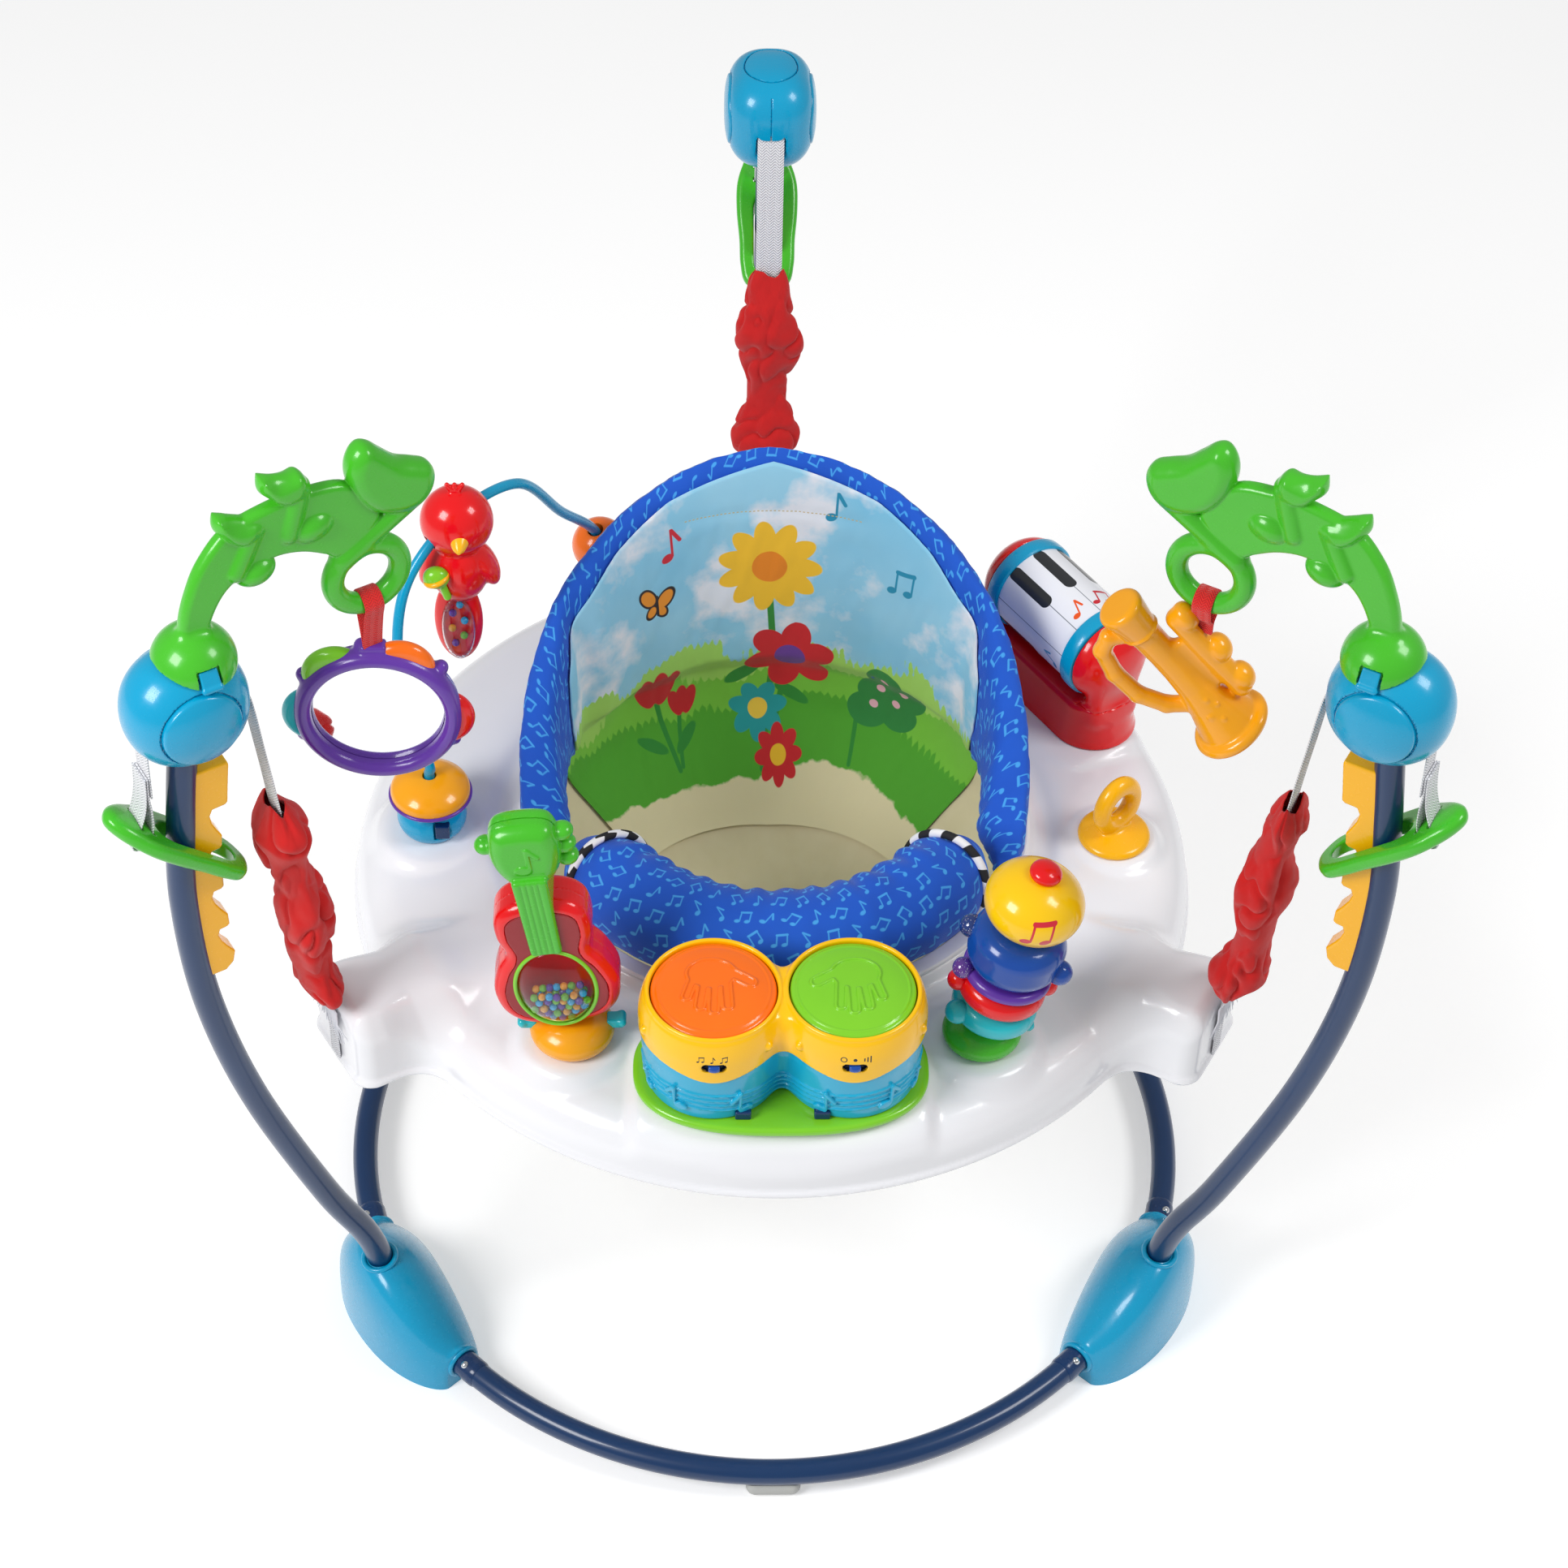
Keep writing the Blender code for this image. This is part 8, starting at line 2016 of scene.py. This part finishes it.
def mirror_frame_form(p):
    x, y, z = p
    reach = hypot(x, y)
    form = hypot(reach - 0.0545, (z - 0.002) * 0.8) - 0.0068
    form = join(form, slab(reach - 0.059, z + 0.004, 0.0065, 0.003), 0.003)
    for angle in (40, 98, 148, 205, 262, 330):
        a = radians(angle)
        form = join(form, rod(p, (0.0585 * cos(a), 0.0585 * sin(a), -0.004), (0.0615 * cos(a), 0.0615 * sin(a),
            -0.004), 0.0056), 0.004)
    form = join(form, box_field(p, (0, 0.06, -0.001), (0.0095, 0.006, 0.006), 0.0025), 0.0025)
    return cut(form, slab(reach - 0.0484, z - 0.011, 0.0122, 0.0003), 0.0006)


def petal_form(p):
    x, y, z = p
    form = cut(egg(p, (0, 0, 0), (0.0225, 0.0245, 0.0105)), 0.0065 - np.abs(z), 0.002)
    return cut(form, hypot(x + 0.048, y) - 0.052, 0.001)


piece("mirror_frame_moulding", cast(mirror_frame_form, (-0.072, -0.072, -0.013), (0.072, 0.072, 0.012), 0.0011),
    PURPLE_ABS, "mirror", mirror_place, ["mirror_frame"])
petal_shape = cast(petal_form, (-0.026, -0.028, -0.009), (0.026, 0.028, 0.009), 0.0009)
for name, angle, material, hue in (("green", 128, LIME_ABS, "lime_plastic"),
        ("orange", 66, ORANGE_ABS, "orange_plastic"), ("red", 352, RED_ABS, "red_plastic"),
        ("teal", 184, TEAL_ABS, "sky_blue_plastic")):
    place = mirror_place @ Matrix.Rotation(radians(angle), 4, "Z") @ Matrix.Translation((0.048, 0, -0.001))
    piece("mirror_petal_" + name, petal_shape, material, "mirror", place)
# Metallised acrylic: a bright mirror that isn't quite flat, so that it bends what it shows.
MIRROR_FILM, tree = blank_material("metallised_acrylic")
spot = add_node(tree, "TexCoord").outputs["Object"]
wave = add_node(tree, "TexNoise", {"Vector": spot, "Scale": 22.0, "Detail": 1.0})
finish(tree, {"Base Color": "#F2F3F5", "Metallic": 1.0, "Roughness": 0.06}, wave, 0.1, 0.0006)
rings = [[(r * cos(2 * pi * k / 96), r * sin(2 * pi * k / 96), z) for k in range(96)] for r,
    z in ((0.048, -0.0009), (0.048, 0.0011), (0.04, 0.0021), (0.028, 0.0029), (0.014, 0.0034), (0.003, 0.0035))]
piece("mirror_disc", skin(rings), MIRROR_FILM, "mirror", mirror_place, ["mirror_glass"], 50)
# The darker red first colour is painted shade in the grooves of the weave.
RED_WEBBING = woven("red_tape", ("#C80C0E", "#EE1A18"), 0.0022, 0.003, 0.0003)


def hanging_route(foot):
    """The way of a hanging strap: up from its foot, round the lower bar of the loop and down again."""
    bar = -0.026
    round_bar = [(0.0098 * cos(a), bar + 0.0098 * sin(a)) for a in np.radians(np.linspace(-25, 205, 14))]
    return [(0.0009, foot - 0.004), (0.0011, foot + 0.006), (0.006, bar - 0.0135), *round_bar,
        (-0.006, bar - 0.0135), (-0.0011, foot + 0.006), (-0.0009, foot - 0.004)]


for name, pivot, azimuth, foot, node in (("mirror", MIRROR_PIVOT, POSTS["left"], -0.07, "mirror_strap"),
        ("trumpet", TRUMPET_PIVOT, POSTS["right"], -0.051, "trumpet_strap")):
    shape = strap(flat_route(hanging_route(foot), 80), 0.015, 0.0016)
    place = Matrix.Translation(pivot) @ Matrix.Rotation(azimuth + pi / 2, 4, "Z")
    piece(name + "_tape", shape, RED_WEBBING, name, place, [node])

# Trumpet toy: one amber ABS blow moulding, closed all round: a cone mouthpiece, a grip, three round valves on a
# bar and a bell with a rolled rim. The strap goes through a slot between bar and horn.
HORN_LEAN = radians(-51)
trumpet_place = (Matrix.Translation(TRUMPET_PIVOT + Vector((-0.158 * 0.092, 0, -0.091)))
    @ Matrix.Rotation(pi / 2, 4, "X") @ Matrix.Rotation(HORN_LEAN, 4, "Z"))
HORN = ((-0.079, 0.0175), (-0.072, 0.0172), (-0.055, 0.0142), (-0.04, 0.0118), (-0.02, 0.0112), (0.0, 0.0116),
    (0.02, 0.013), (0.04, 0.0165), (0.055, 0.0205), (0.066, 0.0238), (0.074, 0.0262), (0.079, 0.027))


def trumpet_form(p):
    x, y, z = p
    away = hypot(y, z)
    wide = np.interp(np.broadcast_to(x, np.broadcast(x, y, z).shape), *zip(*HORN))
    form = (away - wide) * 0.92
    form = cut(form, 0.0765 - x + 0 * z, 0.003)
    form = cut(form, x + 0.0775, 0.005)
    form = join(form, hypot(away - 0.0255, x - 0.0728) - 0.0052, 0.003)
    form = join(form, hypot(away - 0.013, x + 0.048) - 0.0014, 0.001)
    form = cut(form, egg(p, (0.083, 0, 0), (0.01, 0.0195, 0.0195)), 0.003)
    grip = np.array([(-0.05, -0.01), (-0.056, -0.022), (-0.048, -0.033), (-0.024, -0.0385), (0.004, -0.037),
        (0.026, -0.026), (0.036, -0.013)])
    for start, end in zip(grip, grip[1:]):
        form = join(form, rod(p, (*start, 0), (*end, 0), 0.0066), 0.002)
    form = join(form, box_field(p, (0.004, 0.016, 0), (0.027, 0.009, 0.0048), 0.004), 0.005)
    form = join(form, rod(p, (-0.04, 0.0265, 0), (0.044, 0.027, 0), 0.0085), 0.003)
    for along, rise in ((-0.0385, 0.0325), (0.002, 0.035), (0.036, 0.033)):
        form = join(form, egg(p, (along, rise, 0), (0.0118, 0.0088, 0.0108)), 0.002)
    for along, side, half in ((0.03, 0.004, 0.0028), (0.038, 0.008, 0.0024), (0.044, -0.001, 0.0036),
            (0.05, 0.006, 0.0026)):
        out = float(np.interp(along, *zip(*HORN)))
        form = join(form, egg(p, (along, side, sqrt(out * out - side * side) - 0.0006),
            (half, half * 0.8, 0.0016)), 0.0008)
    c, s = cos(HORN_LEAN), sin(HORN_LEAN)
    u, v = 0.0145 * c + 0.04 * s, 0.04 * c - 0.0145 * s
    across, up = (x - u) * c - (y - v) * s, (x - u) * s + (y - v) * c
    return cut(form, maximum(maximum(np.abs(across) - 0.0085, np.abs(up) - 0.006), np.abs(z) - 0.0016), 0.0004)


piece("trumpet_moulding", cast(trumpet_form, (-0.083, -0.048, -0.034), (0.083, 0.048, 0.034), 0.0012),
    AMBER_ABS, "trumpet", trumpet_place, ["trumpet"])
